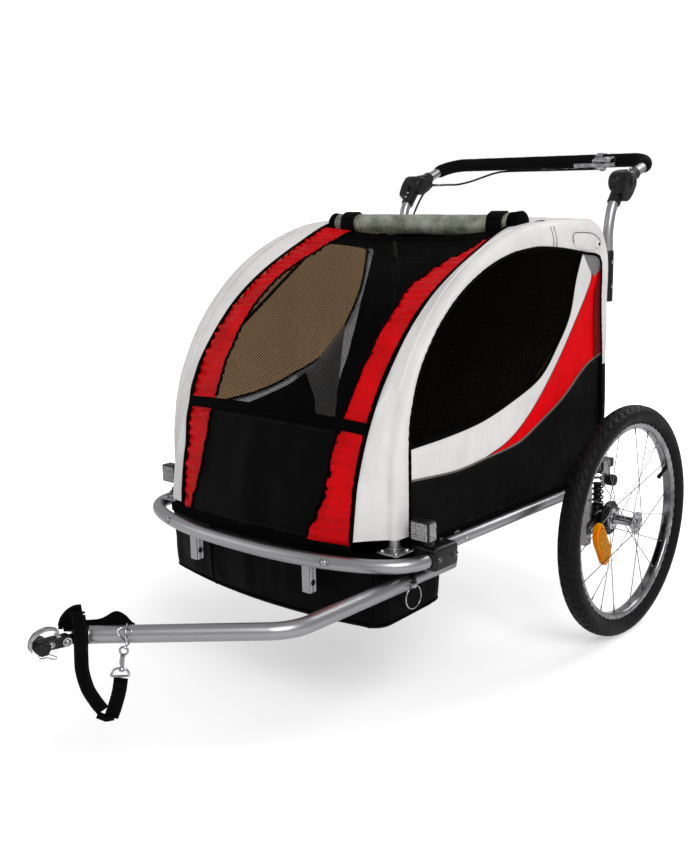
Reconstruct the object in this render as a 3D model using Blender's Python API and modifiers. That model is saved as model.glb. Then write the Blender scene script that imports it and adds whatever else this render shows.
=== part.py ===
"""Child bike trailer: two seats, fabric cabin, spoked wheels, tow bar and push handle.

Metres. +Z is up, -Y is forward (the way it is towed), +X is the trailer's left side.
The origin is on the ground under the middle of the whole trailer. Every measure below is taken
from the point under the axle, and the finished trailer is moved forward of it by CENTRE_SHIFT.
"""
import math

import bmesh
import bpy
from mathutils import Matrix, Vector

# Clearances
GAP = 0.0003
SEAM = 0.0007
SLIDE_GAP = 0.0005

# Distance from the point under the axle to the middle of the whole trailer
CENTRE_SHIFT = 0.4916

# Wheels
WHEEL_X = 0.360
WHEEL_R = 0.248
TYRE_WIDTH = 0.045
RIM_R = 0.210
RIM_DEPTH = 0.0125
RIM_WIDTH = 0.025
WHEEL_FACETS = 40
HUB_R = 0.011
HUB_FLANGE_R = 0.024
HUB_FLANGE_X = 0.0275
HUB_FLANGE_T = 0.003
SPOKE_R = 0.0011
SPOKE_PAIRS = 5
SPOKE_LEAN = 72.0
SPOKE_ROOT_R = 0.0195
SPOKE_STEP = 0.0017
REFLECTOR_OUT = 0.0030
LENS_LEN = 0.100
LENS_W = 0.042
LENS_T = 0.015
AXLE_R = 0.006
AXLE_CAP_R = 0.009
AXLE_CAP_T = 0.006

# Cabin outline, as ellipses in the side view
SIDE_X = 0.290
BAND_X = 0.2314
CLOTH = 0.0022
OUTER_CY, OUTER_CZ, OUTER_A, OUTER_B = -0.185, 0.441, 0.496, 0.439
EDGE_CY, EDGE_CZ, EDGE_R = -0.135, 0.264, 0.620
FRONT_Y = OUTER_CY - OUTER_A
BAND_DEPTH = 0.039
PIPING_CZ, PIPING_A, PIPING_B = 0.519, 0.390, 0.312
PIPING_CY = FRONT_Y + BAND_DEPTH + PIPING_A
BAND_LOW_Z = 0.360
ROOF_FRONT_Y = -0.222
REAR_CY, REAR_CZ, REAR_A, REAR_B = -0.050, 0.790, 0.086, 0.090
REAR_Y = REAR_CY + REAR_A
REAR_LOW_Z = 0.386
SIDE_LOW_Z = 0.343
PANEL_T = 0.0020

# Floor frame
RAIL_X = 0.3015
RAIL_R = 0.011
FRAME_Z = 0.3265
CLAMP_FRONT_Y = FRONT_Y + 0.036
CLAMP_LEN = 0.068
RAIL_IN_CLAMP = 0.063
RAIL_FRONT_Y = CLAMP_FRONT_Y + CLAMP_LEN - RAIL_IN_CLAMP
FRONT_CROSS_Y = CLAMP_FRONT_Y + 0.140
REAR_CROSS_Y = -0.105
CROSS_R = 0.009

# Front bumper and its two sockets for a stroller wheel
BUMPER_R = 0.0127
BUMPER_BOW = 0.1365
BUMPER_FRONT_Y = CLAMP_FRONT_Y - BUMPER_BOW
BUMPER_END_X = 0.332
SOCKET_X = 0.148
SOCKET_W = 0.022
SOCKET_D = 0.024
SOCKET_WALL = 0.002
SOCKET_LOW_Z = 0.250

# Corner clamps
CLAMP_REAR_Y = CLAMP_FRONT_Y + CLAMP_LEN
CLAMP_HALF_H = 0.0215
CLAMP_WALL = 0.0027
CLAMP_ROUND = 0.007
BUMPER_REACH = 0.040

# Front cover
STRIPE_IN_X = 0.171
BAND_LINE_Z = 0.548
COVER_LOW_Z = 0.345
BOW_LOW = 0.033
BOW_HIGH = -0.0255
EDGE_TUCK = 0.0024

# Arch tubes inside the cloth
ARCH_X = 0.274
ARCH_R = 0.0105
ARCH_CLEAR = 0.0017
FOOT_PLATE_T = 0.003
CROSSBAR_R = 0.010
CROSSBAR_Y = -0.200

# Footwell bag
BAG_HALF_X = 0.280
BAG_SETBACK = 0.0395
BAG_FRONT_Y = BUMPER_FRONT_Y + BAG_SETBACK
BAG_REAR_Y = FRONT_CROSS_Y - CROSS_R - GAP
BAG_TOP_Z = FRAME_Z + BUMPER_R
BAG_LOW_Z = 0.203
BAG_WALL = 0.0025

# Seat
SEAT_HALF_X = 0.238
SEAT_T = 0.028
SEAT_FRONT_Y = FRONT_CROSS_Y - CROSS_R
SEAT_BACK_Y = -0.112
SEAT_Z = FRAME_Z + CROSS_R + GAP + SEAT_T
SEAT_TOP_Z = 0.790
SEAT_TOP_Y = -0.030

# Wheel bracket and swing arm
POST_Y = -0.064
POST_SIDE = 0.021
POST_LOW_Z = 0.199
ARM_PIVOT_Z = 0.235
SHELF_LOW_Z = 0.352
SHELF_TOP_Z = 0.372
SHELF_IN_X = 0.262
CHEEK_T = 0.004
ARM_LOW_Z = 0.226
ARM_TOP_Z = 0.266
ARM_REAR_Y = 0.022
ARM_FRONT_Y = -0.043
DUST_DISC_R = 0.037
DUST_DISC_X = 0.3185
DUST_DISC_T = 0.0090
SPRING_X = 0.2960
SPRING_Y = -0.005
SPRING_R = 0.0120
SPRING_WIRE = 0.0021
SPRING_CURLS = 6
SPRING_STEPS = 8
SPRING_SEAT_H = 0.008
KNOB_R = 0.0125
KNOB_Z = 0.331

# Tow bar
TOW_X = 0.2975
TOW_Z = 0.285
TOW_R = 0.014
TOW_STRAIGHT = 0.2905
TOW_REAR_Y = CLAMP_FRONT_Y - 0.007
TOW_CORNER_Y = TOW_REAR_Y - TOW_STRAIGHT
TOW_BEND = 48.9
TOW_BEND_R = 0.085
TOW_REACH = 0.3125
TONGUE_R = 0.0112
PIN_Y = CLAMP_FRONT_Y - 0.023
TONGUE_REAR_Y = FRONT_CROSS_Y - 0.025
TONGUE_FRONT_Y = PIN_Y - 0.052
PIN_R = 0.0040
PIN_HEAD = 0.010
RING_R = 0.0205
RING_WIRE = 0.0013

# Hitch
COUPLER_TURN = -31.5
COUPLER_H = 0.026
COUPLER_W = 0.019
BOLT_AT = 0.038
KNUCKLE_R = 0.0110
HEAD_LEN = 0.039
HEAD_H = 0.017
HEAD_GAP = 0.0008
BARREL_R = 0.0125
BARREL_HALF = 0.013
JAW_T = 0.0025
JAW_W = 0.014
JAW_REACH = 0.0275
JAW_RISE = 0.0245
JAW_BACK = 0.011
HITCH_KNOB_R = 0.0125
HITCH_KNOB_T = 0.009
CLIP_WIRE = 0.0009

# Safety strap
STRAP_W = 0.022
STRAP_T = 0.0024
STRAP_OUT = 0.0275
STRAP_BACK = -0.01555

# Push handle
HANDLE_X = 0.2755
HANDLE_R = 0.0107
PIVOT_Y = 0.103
PIVOT_Z = 0.9495
HANDLE_RISE = 18.75
HANDLE_LEN = 0.1447
HANDLE_BEND_R = 0.050
GRIP_R = 0.0150
GRIP_START = 0.093
PIVOT_DISC_R = 0.0225
PIVOT_HALF_T = 0.0235
SLEEVE_R = 0.0145
SOCKET_START = 0.0242
TUBE_START = 0.030
SLEEVE_END = 0.056
LOWER_ARM_TURN = 231.5
BUTTON_R = 0.0085
BUTTON_OUT = 0.0045
BUTTON_DEEP = 0.0035
BUTTON_TRAVEL = 0.003
UPRIGHT_LOW_Z = 0.703
UPRIGHT_SLEEVE_R = 0.0130
UPRIGHT_SLEEVE_TOP = 0.810

# Hand brake
LEVER_X = 0.150
LEVER_PIVOT_X = 0.178
LEVER_TIP_X = 0.094
CABLE_R = 0.0024
CABLE_MEET_X = -0.214

# Reflectors
REFLECTOR_W = 0.040
REFLECTOR_D = 0.025
REFLECTOR_H = 0.037
REFLECTOR_Z = 0.362

# Rolled rain cover
ROLL_Y = -0.2453
ROLL_Z = 0.8735
ROLL_R = 0.0225
ROLL_HALF_X = 0.2285

# Finishes: base colour, roughness, metallic
FINISHES = {
    "silver_tube": ((0.62, 0.62, 0.63), 0.32, 1.0),
    "chrome": ((0.80, 0.80, 0.82), 0.12, 1.0),
    "black_plastic": ((0.020, 0.020, 0.021), 0.45, 0.0),
    "black_steel": ((0.030, 0.030, 0.032), 0.40, 0.6),
    "foam": ((0.016, 0.016, 0.017), 0.90, 0.0),
    "rubber": ((0.022, 0.022, 0.023), 0.80, 0.0),
    "white_cloth": ((0.72, 0.70, 0.69), 0.85, 0.0),
    "red_cloth": ((0.70, 0.006, 0.010), 0.75, 0.0),
    "black_cloth": ((0.012, 0.012, 0.012), 0.85, 0.0),
    "black_mesh": ((0.020, 0.018, 0.016), 0.90, 0.0),
    "tinted_window": ((0.030, 0.025, 0.020), 0.15, 0.0),
    "webbing": ((0.010, 0.010, 0.010), 0.80, 0.0),
    "clear_vinyl": ((0.45, 0.45, 0.40), 0.20, 0.0),
    "clear_lens": ((0.50, 0.50, 0.50), 0.18, 0.0),
    "amber_lens": ((0.90, 0.20, 0.01), 0.25, 0.0),
}

WHEEL_Z = WHEEL_R * math.cos(math.pi / WHEEL_FACETS)
POST_REAR_Y = POST_Y + POST_SIDE / 2
POST_FRONT_Y = POST_Y - POST_SIDE / 2
PARTS = None
CUTTERS = None


def clear_scene():
    """Remove whatever the scene holds and make the two collections."""
    global PARTS, CUTTERS
    for obj in list(bpy.data.objects):
        bpy.data.objects.remove(obj, do_unlink=True)
    PARTS = bpy.data.collections.new("child_bike_trailer")
    CUTTERS = bpy.data.collections.new("cutters")
    bpy.context.scene.collection.children.link(PARTS)
    bpy.context.scene.collection.children.link(CUTTERS)


def finish(name):
    """The material of one finish, made the first time it is asked for."""
    material = bpy.data.materials.get(name)
    if material is None:
        colour, roughness, metallic = FINISHES[name]
        material = bpy.data.materials.new(name)
        material.use_nodes = True
        shader = material.node_tree.nodes["Principled BSDF"]
        shader.inputs["Base Color"].default_value = (*colour, 1.0)
        shader.inputs["Roughness"].default_value = roughness
        shader.inputs["Metallic"].default_value = metallic
        material.diffuse_color = (*colour, 1.0)
    return material


def add_part(name, data, look):
    """Put a mesh or curve in the parts collection under its node's name."""
    obj = bpy.data.objects.new(name, data)
    obj.data.materials.append(finish(look))
    PARTS.objects.link(obj)
    return obj


def as_helper(obj):
    """Turn an object into a cutter or a piece to be joined: not a part of its own."""
    PARTS.objects.unlink(obj)
    CUTTERS.objects.link(obj)
    obj.hide_render = True
    obj.display_type = "WIRE"
    return obj


def combine(target, operation, others):
    """Cut, join or intersect a part with helper shapes."""
    for other in others:
        as_helper(other)
        step = target.modifiers.new(operation.title() + other.name, "BOOLEAN")
        step.operation = operation
        step.object = other
    return target


def joined(target, *others):
    """Weld other shapes onto a part."""
    return combine(target, "UNION", others)


def cut(target, *others):
    """Cut other shapes out of a part."""
    return combine(target, "DIFFERENCE", others)


def pivot(name, place, children, parent=None):
    """An empty on a joint's axis that carries the pieces that move about it."""
    empty = bpy.data.objects.new(name, None)
    empty.empty_display_size = 0.02
    PARTS.objects.link(empty)
    empty.location = place
    if parent is not None:
        empty.parent = parent
        empty.matrix_parent_inverse = Matrix.Translation(-Vector(parent["place"]))
    empty["place"] = tuple(place)
    for child in children:
        child.parent = empty
        child.matrix_parent_inverse = Matrix.Translation(-Vector(place))
    return empty


def mesh_from(name, bm, look):
    """Store a bmesh as a part."""
    data = bpy.data.meshes.new(name)
    bm.to_mesh(data)
    bm.free()
    return add_part(name, data, look)


def smooth(obj, angle=35.0):
    """Shade the rounds smooth and keep the edges."""
    obj.data.shade_smooth()
    obj.data.set_sharp_from_angle(angle=math.radians(angle))
    return obj


def box(name, low, high, look="black_plastic", round_edges=0.0, segments=2):
    """A block between two corners, with rounded edges if asked for."""
    bm = bmesh.new()
    size = Vector(high) - Vector(low)
    middle = (Vector(high) + Vector(low)) / 2
    bmesh.ops.create_cube(bm, size=1.0, matrix=Matrix.Translation(middle) @ Matrix.Diagonal((*size, 1.0)))
    obj = mesh_from(name, bm, look)
    if round_edges > 0:
        bevel = obj.modifiers.new("Rounded", "BEVEL")
        bevel.width = round_edges
        bevel.segments = segments
        bevel.limit_method = "ANGLE"
    return obj


def along(direction):
    """The rotation that turns +Z to a direction."""
    return Vector(direction).to_track_quat("Z", "Y").to_matrix().to_4x4()


def rod(name, start, end, radius, look="silver_tube", sides=16, end_radius=None):
    """A round bar, or a cone, between two points."""
    start, end = Vector(start), Vector(end)
    bm = bmesh.new()
    bmesh.ops.create_cone(
        bm, cap_ends=True, segments=sides, radius1=radius,
        radius2=radius if end_radius is None else end_radius, depth=(end - start).length,
        matrix=Matrix.Translation((start + end) / 2) @ along(end - start))
    return smooth(mesh_from(name, bm, look))


def turned(name, profile, centre, look, ring, steps=WHEEL_FACETS):
    """A shape turned about an axis along X: the profile is (along the axis, radius) points."""
    points = [(radius, x) for x, radius in profile]
    if ring:
        area = sum(a[0] * b[1] - b[0] * a[1] for a, b in zip(points, points[1:] + points[:1]))
        if area > 0:
            points.reverse()
    elif points[0][1] < points[-1][1]:
        points.reverse()
    data = bpy.data.meshes.new(name)
    edges = [(i, i + 1) for i in range(len(points) - 1)]
    if ring:
        edges.append((len(points) - 1, 0))
    data.from_pydata([(r, 0.0, z) for r, z in points], edges, [])
    obj = add_part(name, data, look)
    obj.matrix_world = (Matrix.Translation(centre) @ Matrix.Rotation(math.pi / 2, 4, "Y")
                        @ Matrix.Rotation(math.pi / steps, 4, "Z"))
    screw = obj.modifiers.new("Turned", "SCREW")
    screw.axis = "Z"
    screw.steps = steps
    screw.render_steps = steps
    screw.use_merge_vertices = True
    screw.merge_threshold = 0.00001
    screw.use_smooth_shade = True
    return obj


def tube(name, points, radius, look, sides=10):
    """A bent round tube or wire along a list of points."""
    data = bpy.data.curves.new(name, "CURVE")
    data.dimensions = "3D"
    spline = data.splines.new("POLY")
    spline.points.add(len(points) - 1)
    for knot, point in zip(spline.points, points):
        knot.co = (*point, 1.0)
    spline.use_smooth = True
    data.bevel_depth = radius
    data.bevel_resolution = (sides - 4) // 2
    data.use_fill_caps = True
    return add_part(name, data, look)


def flat_plate(name, outline, middle, half, across, up, look):
    """A flat outline extruded to a plate; across and up are its plane's two directions."""
    data = bpy.data.curves.new(name, "CURVE")
    data.dimensions = "2D"
    data.fill_mode = "BOTH"
    data.extrude = half
    spline = data.splines.new("POLY")
    spline.points.add(len(outline) - 1)
    for knot, point in zip(spline.points, outline):
        knot.co = (point[0], point[1], 0.0, 1.0)
    spline.use_cyclic_u = True
    obj = add_part(name, data, look)
    across, up = Vector(across).normalized(), Vector(up).normalized()
    normal = across.cross(up)
    turn = Matrix((across, up, normal)).transposed().to_4x4()
    obj.matrix_world = Matrix.Translation(middle) @ turn
    return obj


def as_mesh(obj):
    """The same part as a mesh with its caps welded on, ready to be cut or joined."""
    graph = bpy.context.evaluated_depsgraph_get()
    data = bpy.data.meshes.new_from_object(obj.evaluated_get(graph))
    bm = bmesh.new()
    bm.from_mesh(data)
    bmesh.ops.remove_doubles(bm, verts=bm.verts, dist=0.000001)
    bm.to_mesh(data)
    bm.free()
    solid = bpy.data.objects.new(obj.name + "_solid", data)
    solid.matrix_world = obj.matrix_world.copy()
    name = obj.name
    PARTS.objects.link(solid)
    bpy.data.objects.remove(obj, do_unlink=True)
    solid.name = name
    return solid


def smooth_route(points, per_span):
    """A smooth curve through a route's own points."""
    points = [Vector(p) for p in points]
    padded = [2 * points[0] - points[1]] + points + [2 * points[-1] - points[-2]]
    route = []
    for a, b, c, d in zip(padded, padded[1:], padded[2:], padded[3:]):
        for k in range(per_span):
            t = k / per_span
            route.append(0.5 * (2 * b + (c - a) * t + (2 * a - 5 * b + 4 * c - d) * t * t
                                + (3 * b - a - 3 * c + d) * t ** 3))
    return route + [points[-1]]


def cloth_sheet(name, rows, thickness, inside, look):
    """A cloth panel: a grid of points, made solid towards the inside of the cabin.

    A grid place may be None, which leaves the cloth open there.
    """
    bm = bmesh.new()
    grid = [[None if p is None else bm.verts.new(p) for p in row] for row in rows]
    for row, after in zip(grid, grid[1:]):
        for k in range(len(row) - 1):
            corners = (row[k], row[k + 1], after[k + 1], after[k])
            if None not in corners:
                bm.faces.new(corners)
    bm.normal_update()
    facing = sum(face.normal.dot(face.calc_center_median() - Vector(inside)) for face in bm.faces)
    if facing < 0:
        bmesh.ops.reverse_faces(bm, faces=bm.faces)
    obj = smooth(mesh_from(name, bm, look))
    solid = obj.modifiers.new("Cloth", "SOLIDIFY")
    solid.thickness = thickness
    solid.offset = -1.0
    solid.use_even_offset = True
    return obj


# Side-view curves of the cabin


def outer_point(angle):
    """Crown of the white band at an angle up its arch, in degrees from the front leg."""
    t = math.radians(angle)
    return OUTER_CY - OUTER_A * math.cos(t), OUTER_CZ + OUTER_B * math.sin(t)


def edge_angle_at(z):
    """Angle on the front cover's circle where it reaches a height."""
    return math.degrees(math.asin((z - EDGE_CZ) / EDGE_R))


EDGE_START = edge_angle_at(OUTER_CZ)
ROOF_ANGLE = math.degrees(math.acos((EDGE_CY - ROOF_FRONT_Y) / EDGE_R))
ROOF_STATION = (ROOF_ANGLE - EDGE_START) / (90.0 - EDGE_START) * 90.0


def edge_point(angle, bow=0.0):
    """Inner edge of the white band, on the circle that the front cover follows."""
    t = math.radians(angle)
    radius = EDGE_R + bow
    return EDGE_CY - radius * math.cos(t), EDGE_CZ + radius * math.sin(t)


def piping_point(angle):
    """Piping round the side window at an angle up its arch."""
    t = math.radians(angle)
    return PIPING_CY - PIPING_A * math.cos(t), PIPING_CZ + PIPING_B * math.sin(t)


def piping_rear():
    """Piping from the top of the window back and down the rear edge of the side."""
    top = piping_point(90.0)
    corner = (REAR_CY + 0.038, REAR_CZ + 0.010)
    line = [(top[0] + (corner[0] - top[0]) * k / 4, top[1] + (corner[1] - top[1]) * (k / 4) ** 1.6)
            for k in range(1, 4)]
    return line + [corner, (corner[0] + 0.009, REAR_CZ - 0.035), (corner[0] + 0.017, 0.600),
                   (corner[0] + 0.026, REAR_LOW_Z)]


def band_stations():
    """Crown, inner edge and piping of the white band from front leg to rear leg."""
    stations = [((OUTER_CY - OUTER_A, BAND_LOW_Z), edge_point(edge_angle_at(BAND_LOW_Z)),
                 (PIPING_CY - PIPING_A, BAND_LOW_Z), False)]
    angles = [ROOF_STATION * k / 12 for k in range(13)] + [90.0]
    for angle in angles:
        on_circle = EDGE_START + (90.0 - EDGE_START) * angle / 90.0
        stations.append((outer_point(angle), edge_point(on_circle), piping_point(angle),
                         angle >= ROOF_STATION))
    roof_z = OUTER_CZ + OUTER_B
    rear = piping_rear()
    stations.append(((-0.120, roof_z), (-0.110, roof_z + 0.003), rear[0], True))
    for k in range(6):
        t = math.radians(90.0 - 18.0 * k)
        place = (REAR_CY + REAR_A * math.cos(t), REAR_CZ + REAR_B * math.sin(t))
        stations.append((place, place, rear[min(k + 1, 4)], True))
    stations.append(((REAR_Y, 0.600), (REAR_Y, 0.600), rear[5], False))
    stations.append(((REAR_Y, REAR_LOW_Z), (REAR_Y, REAR_LOW_Z), rear[6], False))
    return stations


def make_canopy():
    """White cloth: both arched bands, the roof between them and the rear top."""
    rows = []
    for outer, edge, piping, roof in band_stations():
        low, high = Vector(piping), Vector(outer)
        half = [(SIDE_X, *low), (SIDE_X, *low.lerp(high, 0.72)),
                (SIDE_X - 0.005, *low.lerp(high, 0.93)), (ARCH_X, *high), (BAND_X, *edge)]
        middle = [(x, *edge) if roof else None for x in (0.12, 0.0, -0.12)]
        other = [(-x, y, z) for x, y, z in reversed(half)]
        rows.append(half + middle + other)
    return cloth_sheet("canopy", rows, CLOTH, (0.0, -0.2, 0.5), "white_cloth")


def cover_point(x, angle):
    """A point of the front cover: bowed out at its foot, drawn in under the roll."""
    low = edge_angle_at(COVER_LOW_Z)
    share = (angle - low) / (ROOF_ANGLE - low)
    bow = (BOW_LOW + (BOW_HIGH - BOW_LOW) * share ** 1.5) * (1.0 - (x / BAND_X) ** 2)
    return (x, *edge_point(angle, bow))


def cover_end(x):
    """Angle at which the front cover's cloth meets the rolled rain cover above it."""
    angle = ROOF_ANGLE - 12.0
    while angle < ROOF_ANGLE:
        _, y, z = cover_point(x, angle)
        if math.hypot(y - ROLL_Y, z - ROLL_Z) < ROLL_R + 2 * GAP or y > ROLL_Y:
            break
        angle += 0.05
    return angle - 0.05


def cover_panel(name, x_low, x_high, columns, z_low, angle_high, rows, look):
    """One panel of the front cover between two heights and two sides."""
    low = edge_angle_at(z_low)
    grid = []
    for i in range(rows + 1):
        row = []
        for k in range(columns + 1):
            x = x_low + (x_high - x_low) * k / columns
            reach = BAND_X - SEAM - EDGE_TUCK * max(0.0, 1.0 - i / (0.55 * rows))
            x = max(-reach, min(reach, x))
            top = min(angle_high, cover_end(x))
            row.append(cover_point(x, low + (top - low) * i / rows))
        grid.append(row)
    return cloth_sheet(name, grid, CLOTH, (0.0, EDGE_CY, EDGE_CZ), look)


def make_front_cover():
    """Mesh window, lower panel and the two red stripes of the front cover."""
    top = ROOF_ANGLE
    seam_z = SEAM
    inner = STRIPE_IN_X - SEAM
    line = edge_angle_at(BAND_LINE_Z)
    cover_panel("front_mesh", -inner, inner, 6, BAND_LINE_Z + seam_z, top, 10, "black_mesh")
    cover_panel("front_lower_panel", -inner, inner, 6, COVER_LOW_Z, line, 4, "black_cloth")
    for side, sign in (("left", 1), ("right", -1)):
        edges = sorted((sign * STRIPE_IN_X, sign * (BAND_X - SEAM)))
        cover_panel("red_stripe_" + side, edges[0], edges[1], 2, COVER_LOW_Z, top, 14, "red_cloth")


def side_outlines():
    """Outlines of the side window and of the side panel under it, as (y, z) points."""
    inset = 0.0012
    shrink = [(PIPING_CY - (PIPING_A - inset) * math.cos(math.radians(a)),
               PIPING_CZ + (PIPING_B - inset) * math.sin(math.radians(a))) for a in range(0, 91, 9)]
    rear = [(y - inset, z - inset) for y, z in piping_rear()]
    swoop = smooth_2d([(-0.629, 0.518), (-0.530, 0.520), (-0.427, 0.529), (-0.332, 0.550),
                       (-0.231, 0.583), (-0.170, 0.637), (-0.126, 0.692), (-0.112, 0.760),
                       (rear[0][0] + 0.064, rear[0][1] - 0.011)], 2)
    front_y = PIPING_CY - PIPING_A + inset
    window = shrink + [rear[0]] + [(y, z) for y, z in reversed(swoop)]
    window = [(y, z) for y, z in window if y > front_y - 0.0001]
    lowered = [(y + 0.0010, z - 0.0010) for y, z in swoop[:-1]]
    step_y = POST_FRONT_Y - 0.010
    panel = [(front_y, swoop[0][1] - 0.0010)] + lowered + [(swoop[-1][0] + 0.0012, swoop[-1][1])]
    over_clamp = FRAME_Z + CLAMP_HALF_H + GAP
    clamp_y = CLAMP_REAR_Y + 0.0025
    panel += rear[2:] + [(step_y, REAR_LOW_Z), (step_y, SIDE_LOW_Z), (clamp_y, SIDE_LOW_Z),
                         (clamp_y, over_clamp), (front_y, over_clamp)]
    return window, panel


def smooth_2d(points, per_span):
    """A smooth flat curve through points."""
    return [(p.x, p.y) for p in smooth_route([(y, z, 0.0) for y, z in points], per_span)]


def make_sides():
    """Tinted side windows and the panels under them."""
    window, panel = side_outlines()
    for side, sign in (("left", 1), ("right", -1)):
        middle = (sign * (SIDE_X - CLOTH / 2), 0.0, 0.0)
        for name, outline, look in (("side_window_", window, "tinted_window"),
                                    ("side_panel_", panel, "black_cloth")):
            flat_plate(name + side, outline, middle, PANEL_T / 2, (0, 1, 0), (0, 0, 1), look)


def make_rear_panel():
    """Flat cloth across the back, sewn between the two rear strips of the canopy."""
    half = BAND_X - SEAM
    box("rear_panel", (-half, REAR_Y - CLOTH, SIDE_LOW_Z), (half, REAR_Y - GAP, REAR_CZ - SEAM),
        "black_cloth")


def make_bag():
    """Footwell bag hung in the frame in front of the seat, open at the top."""
    def ring(z, inset):
        half = BAG_HALF_X - inset
        corner = 0.030
        front = BAG_FRONT_Y + inset
        rear = BAG_REAR_Y - inset
        bend = [(half - corner * (1 - math.cos(t)), front + 0.060 - (corner + 0.006) * math.sin(t))
                for t in (math.radians(20), math.radians(50), math.radians(80))]
        bow = [(half * k / 4, front + 0.026 * (k / 4) ** 2) for k in (3, 2, 1, 0)]
        left = [(half, rear), (half, front + 0.075)] + bend + bow[:3]
        points = left + [(0.0, front)] + [(-x, y) for x, y in reversed(left)]
        return [(x, y, z) for x, y in points]

    levels = [(BAG_TOP_Z, 0.0), (0.270, 0.001), (0.225, 0.003), (BAG_LOW_Z + 0.006, 0.008),
              (BAG_LOW_Z, 0.020)]
    bm = bmesh.new()
    rings = [[bm.verts.new(p) for p in ring(z, inset)] for z, inset in levels]
    for ring_a, ring_b in zip(rings, rings[1:]):
        count = len(ring_a)
        for k in range(count):
            bm.faces.new((ring_a[k], ring_b[k], ring_b[(k + 1) % count], ring_a[(k + 1) % count]))
    bm.faces.new(list(reversed(rings[-1])))
    bm.normal_update()
    middle = Vector((0.0, (BAG_FRONT_Y + BAG_REAR_Y) / 2, BAG_TOP_Z))
    if sum(f.normal.dot(f.calc_center_median() - middle) for f in bm.faces) < 0:
        bmesh.ops.reverse_faces(bm, faces=bm.faces)
    obj = mesh_from("footwell_bag", bm, "black_cloth")
    solid = obj.modifiers.new("Cloth", "SOLIDIFY")
    solid.thickness = BAG_WALL
    solid.offset = -1.0
    solid.use_even_offset = True


def make_seat():
    """Sling seat: padded bench and back in one piece, with a crown across each place."""
    line = [(SEAT_FRONT_Y, SEAT_Z), (SEAT_FRONT_Y + 0.090, SEAT_Z), (SEAT_FRONT_Y + 0.230, SEAT_Z),
            (SEAT_BACK_Y - 0.055, SEAT_Z), (SEAT_BACK_Y, SEAT_Z + 0.001),
            (SEAT_BACK_Y + 0.016, SEAT_Z + 0.030), (SEAT_BACK_Y + 0.026, SEAT_Z + 0.100),
            (SEAT_BACK_Y + 0.042, SEAT_Z + 0.220), (SEAT_TOP_Y - 0.018, SEAT_Z + 0.335),
            (SEAT_TOP_Y, SEAT_TOP_Z)]
    columns = 12
    rows = []
    for y, z in line:
        row = []
        for k in range(columns + 1):
            x = SEAT_HALF_X * (2 * k / columns - 1)
            crown = 0.0 if y == SEAT_FRONT_Y else 0.010 * abs(math.sin(2 * math.pi * k / columns))
            lift = Vector((-0.75, 0.66)) * crown
            row.append((x, y + lift.x, z + lift.y))
        rows.append(row)
    cloth_sheet("seat", rows, SEAT_T, (0.0, 0.2, 0.1), "black_cloth")


# Frame


def arch_route():
    """Centre line of an arch tube, held just inside the band's crown, as (y, z) points."""
    inset = CLOTH + ARCH_CLEAR + ARCH_R
    foot_z = FRAME_Z + BUMPER_R + GAP + FOOT_PLATE_T / 2
    route = [(OUTER_CY - OUTER_A + inset, foot_z)]
    for k in range(13):
        t = math.radians(90.0 * k / 12)
        route.append((OUTER_CY - (OUTER_A - inset) * math.cos(t),
                      OUTER_CZ + (OUTER_B - inset) * math.sin(t)))
    for k in range(6):
        t = math.radians(90.0 - 18.0 * k)
        route.append((REAR_CY + (REAR_A - inset) * math.cos(t),
                      REAR_CZ + (REAR_B - inset) * math.sin(t)))
    route.append((REAR_Y - inset, SHELF_TOP_Z + GAP))
    return route


def make_arches():
    """Arch tubes with their foot plates, and the bars that hold them apart."""
    route = arch_route()
    plate_z = FRAME_Z + BUMPER_R + GAP
    for side, sign in (("left", 1), ("right", -1)):
        arch = as_mesh(tube("side_frame_" + side, [(sign * ARCH_X, y, z) for y, z in route],
                            ARCH_R, "silver_tube", 8))
        edges = sorted((sign * 0.2585, sign * 0.3240))
        plate = box("foot_plate_" + side, (edges[0], CLAMP_FRONT_Y - 0.070, plate_z),
                    (edges[1], CLAMP_FRONT_Y - 0.005, plate_z + FOOT_PLATE_T))
        joined(arch, plate)
    reach = ARCH_X - ARCH_R - GAP
    inset = CLOTH + ARCH_CLEAR + ARCH_R
    front_z = OUTER_CZ + OUTER_B - inset
    rod("roof_crossbar", (-reach, CROSSBAR_Y, front_z), (reach, CROSSBAR_Y, front_z), CROSSBAR_R,
        "silver_tube", 12)


def make_floor_frame():
    """Side rails, two cross tubes and the tongue that the tow bar slides onto, welded."""
    rail_end = POST_FRONT_Y - GAP
    frame = rod("floor_frame", (RAIL_X, RAIL_FRONT_Y, FRAME_Z), (RAIL_X, rail_end, FRAME_Z), RAIL_R,
                "silver_tube", 12)
    other = rod("right_rail", (-RAIL_X, RAIL_FRONT_Y, FRAME_Z), (-RAIL_X, rail_end, FRAME_Z), RAIL_R,
                sides=12)
    front = rod("front_cross", (-RAIL_X, FRONT_CROSS_Y, FRAME_Z), (RAIL_X, FRONT_CROSS_Y, FRAME_Z),
                CROSS_R, sides=12)
    rear = rod("rear_cross", (-RAIL_X, REAR_CROSS_Y, FRAME_Z), (RAIL_X, REAR_CROSS_Y, FRAME_Z),
               CROSS_R, sides=12)
    tongue = rod("tongue", (TOW_X, TONGUE_REAR_Y, TOW_Z), (TOW_X, TONGUE_FRONT_Y, TOW_Z), TONGUE_R,
                 sides=16)
    web = box("tongue_web", (TOW_X - 0.003, TONGUE_REAR_Y - 0.040, TOW_Z),
              (TOW_X + 0.003, TONGUE_REAR_Y - 0.004, FRAME_Z))
    joined(frame, other, front, rear, tongue, web)
    cut(frame, rod("tongue_hole", (TOW_X - 0.03, PIN_Y, TOW_Z), (TOW_X + 0.03, PIN_Y, TOW_Z),
                   PIN_R + SLIDE_GAP, sides=12))


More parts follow.
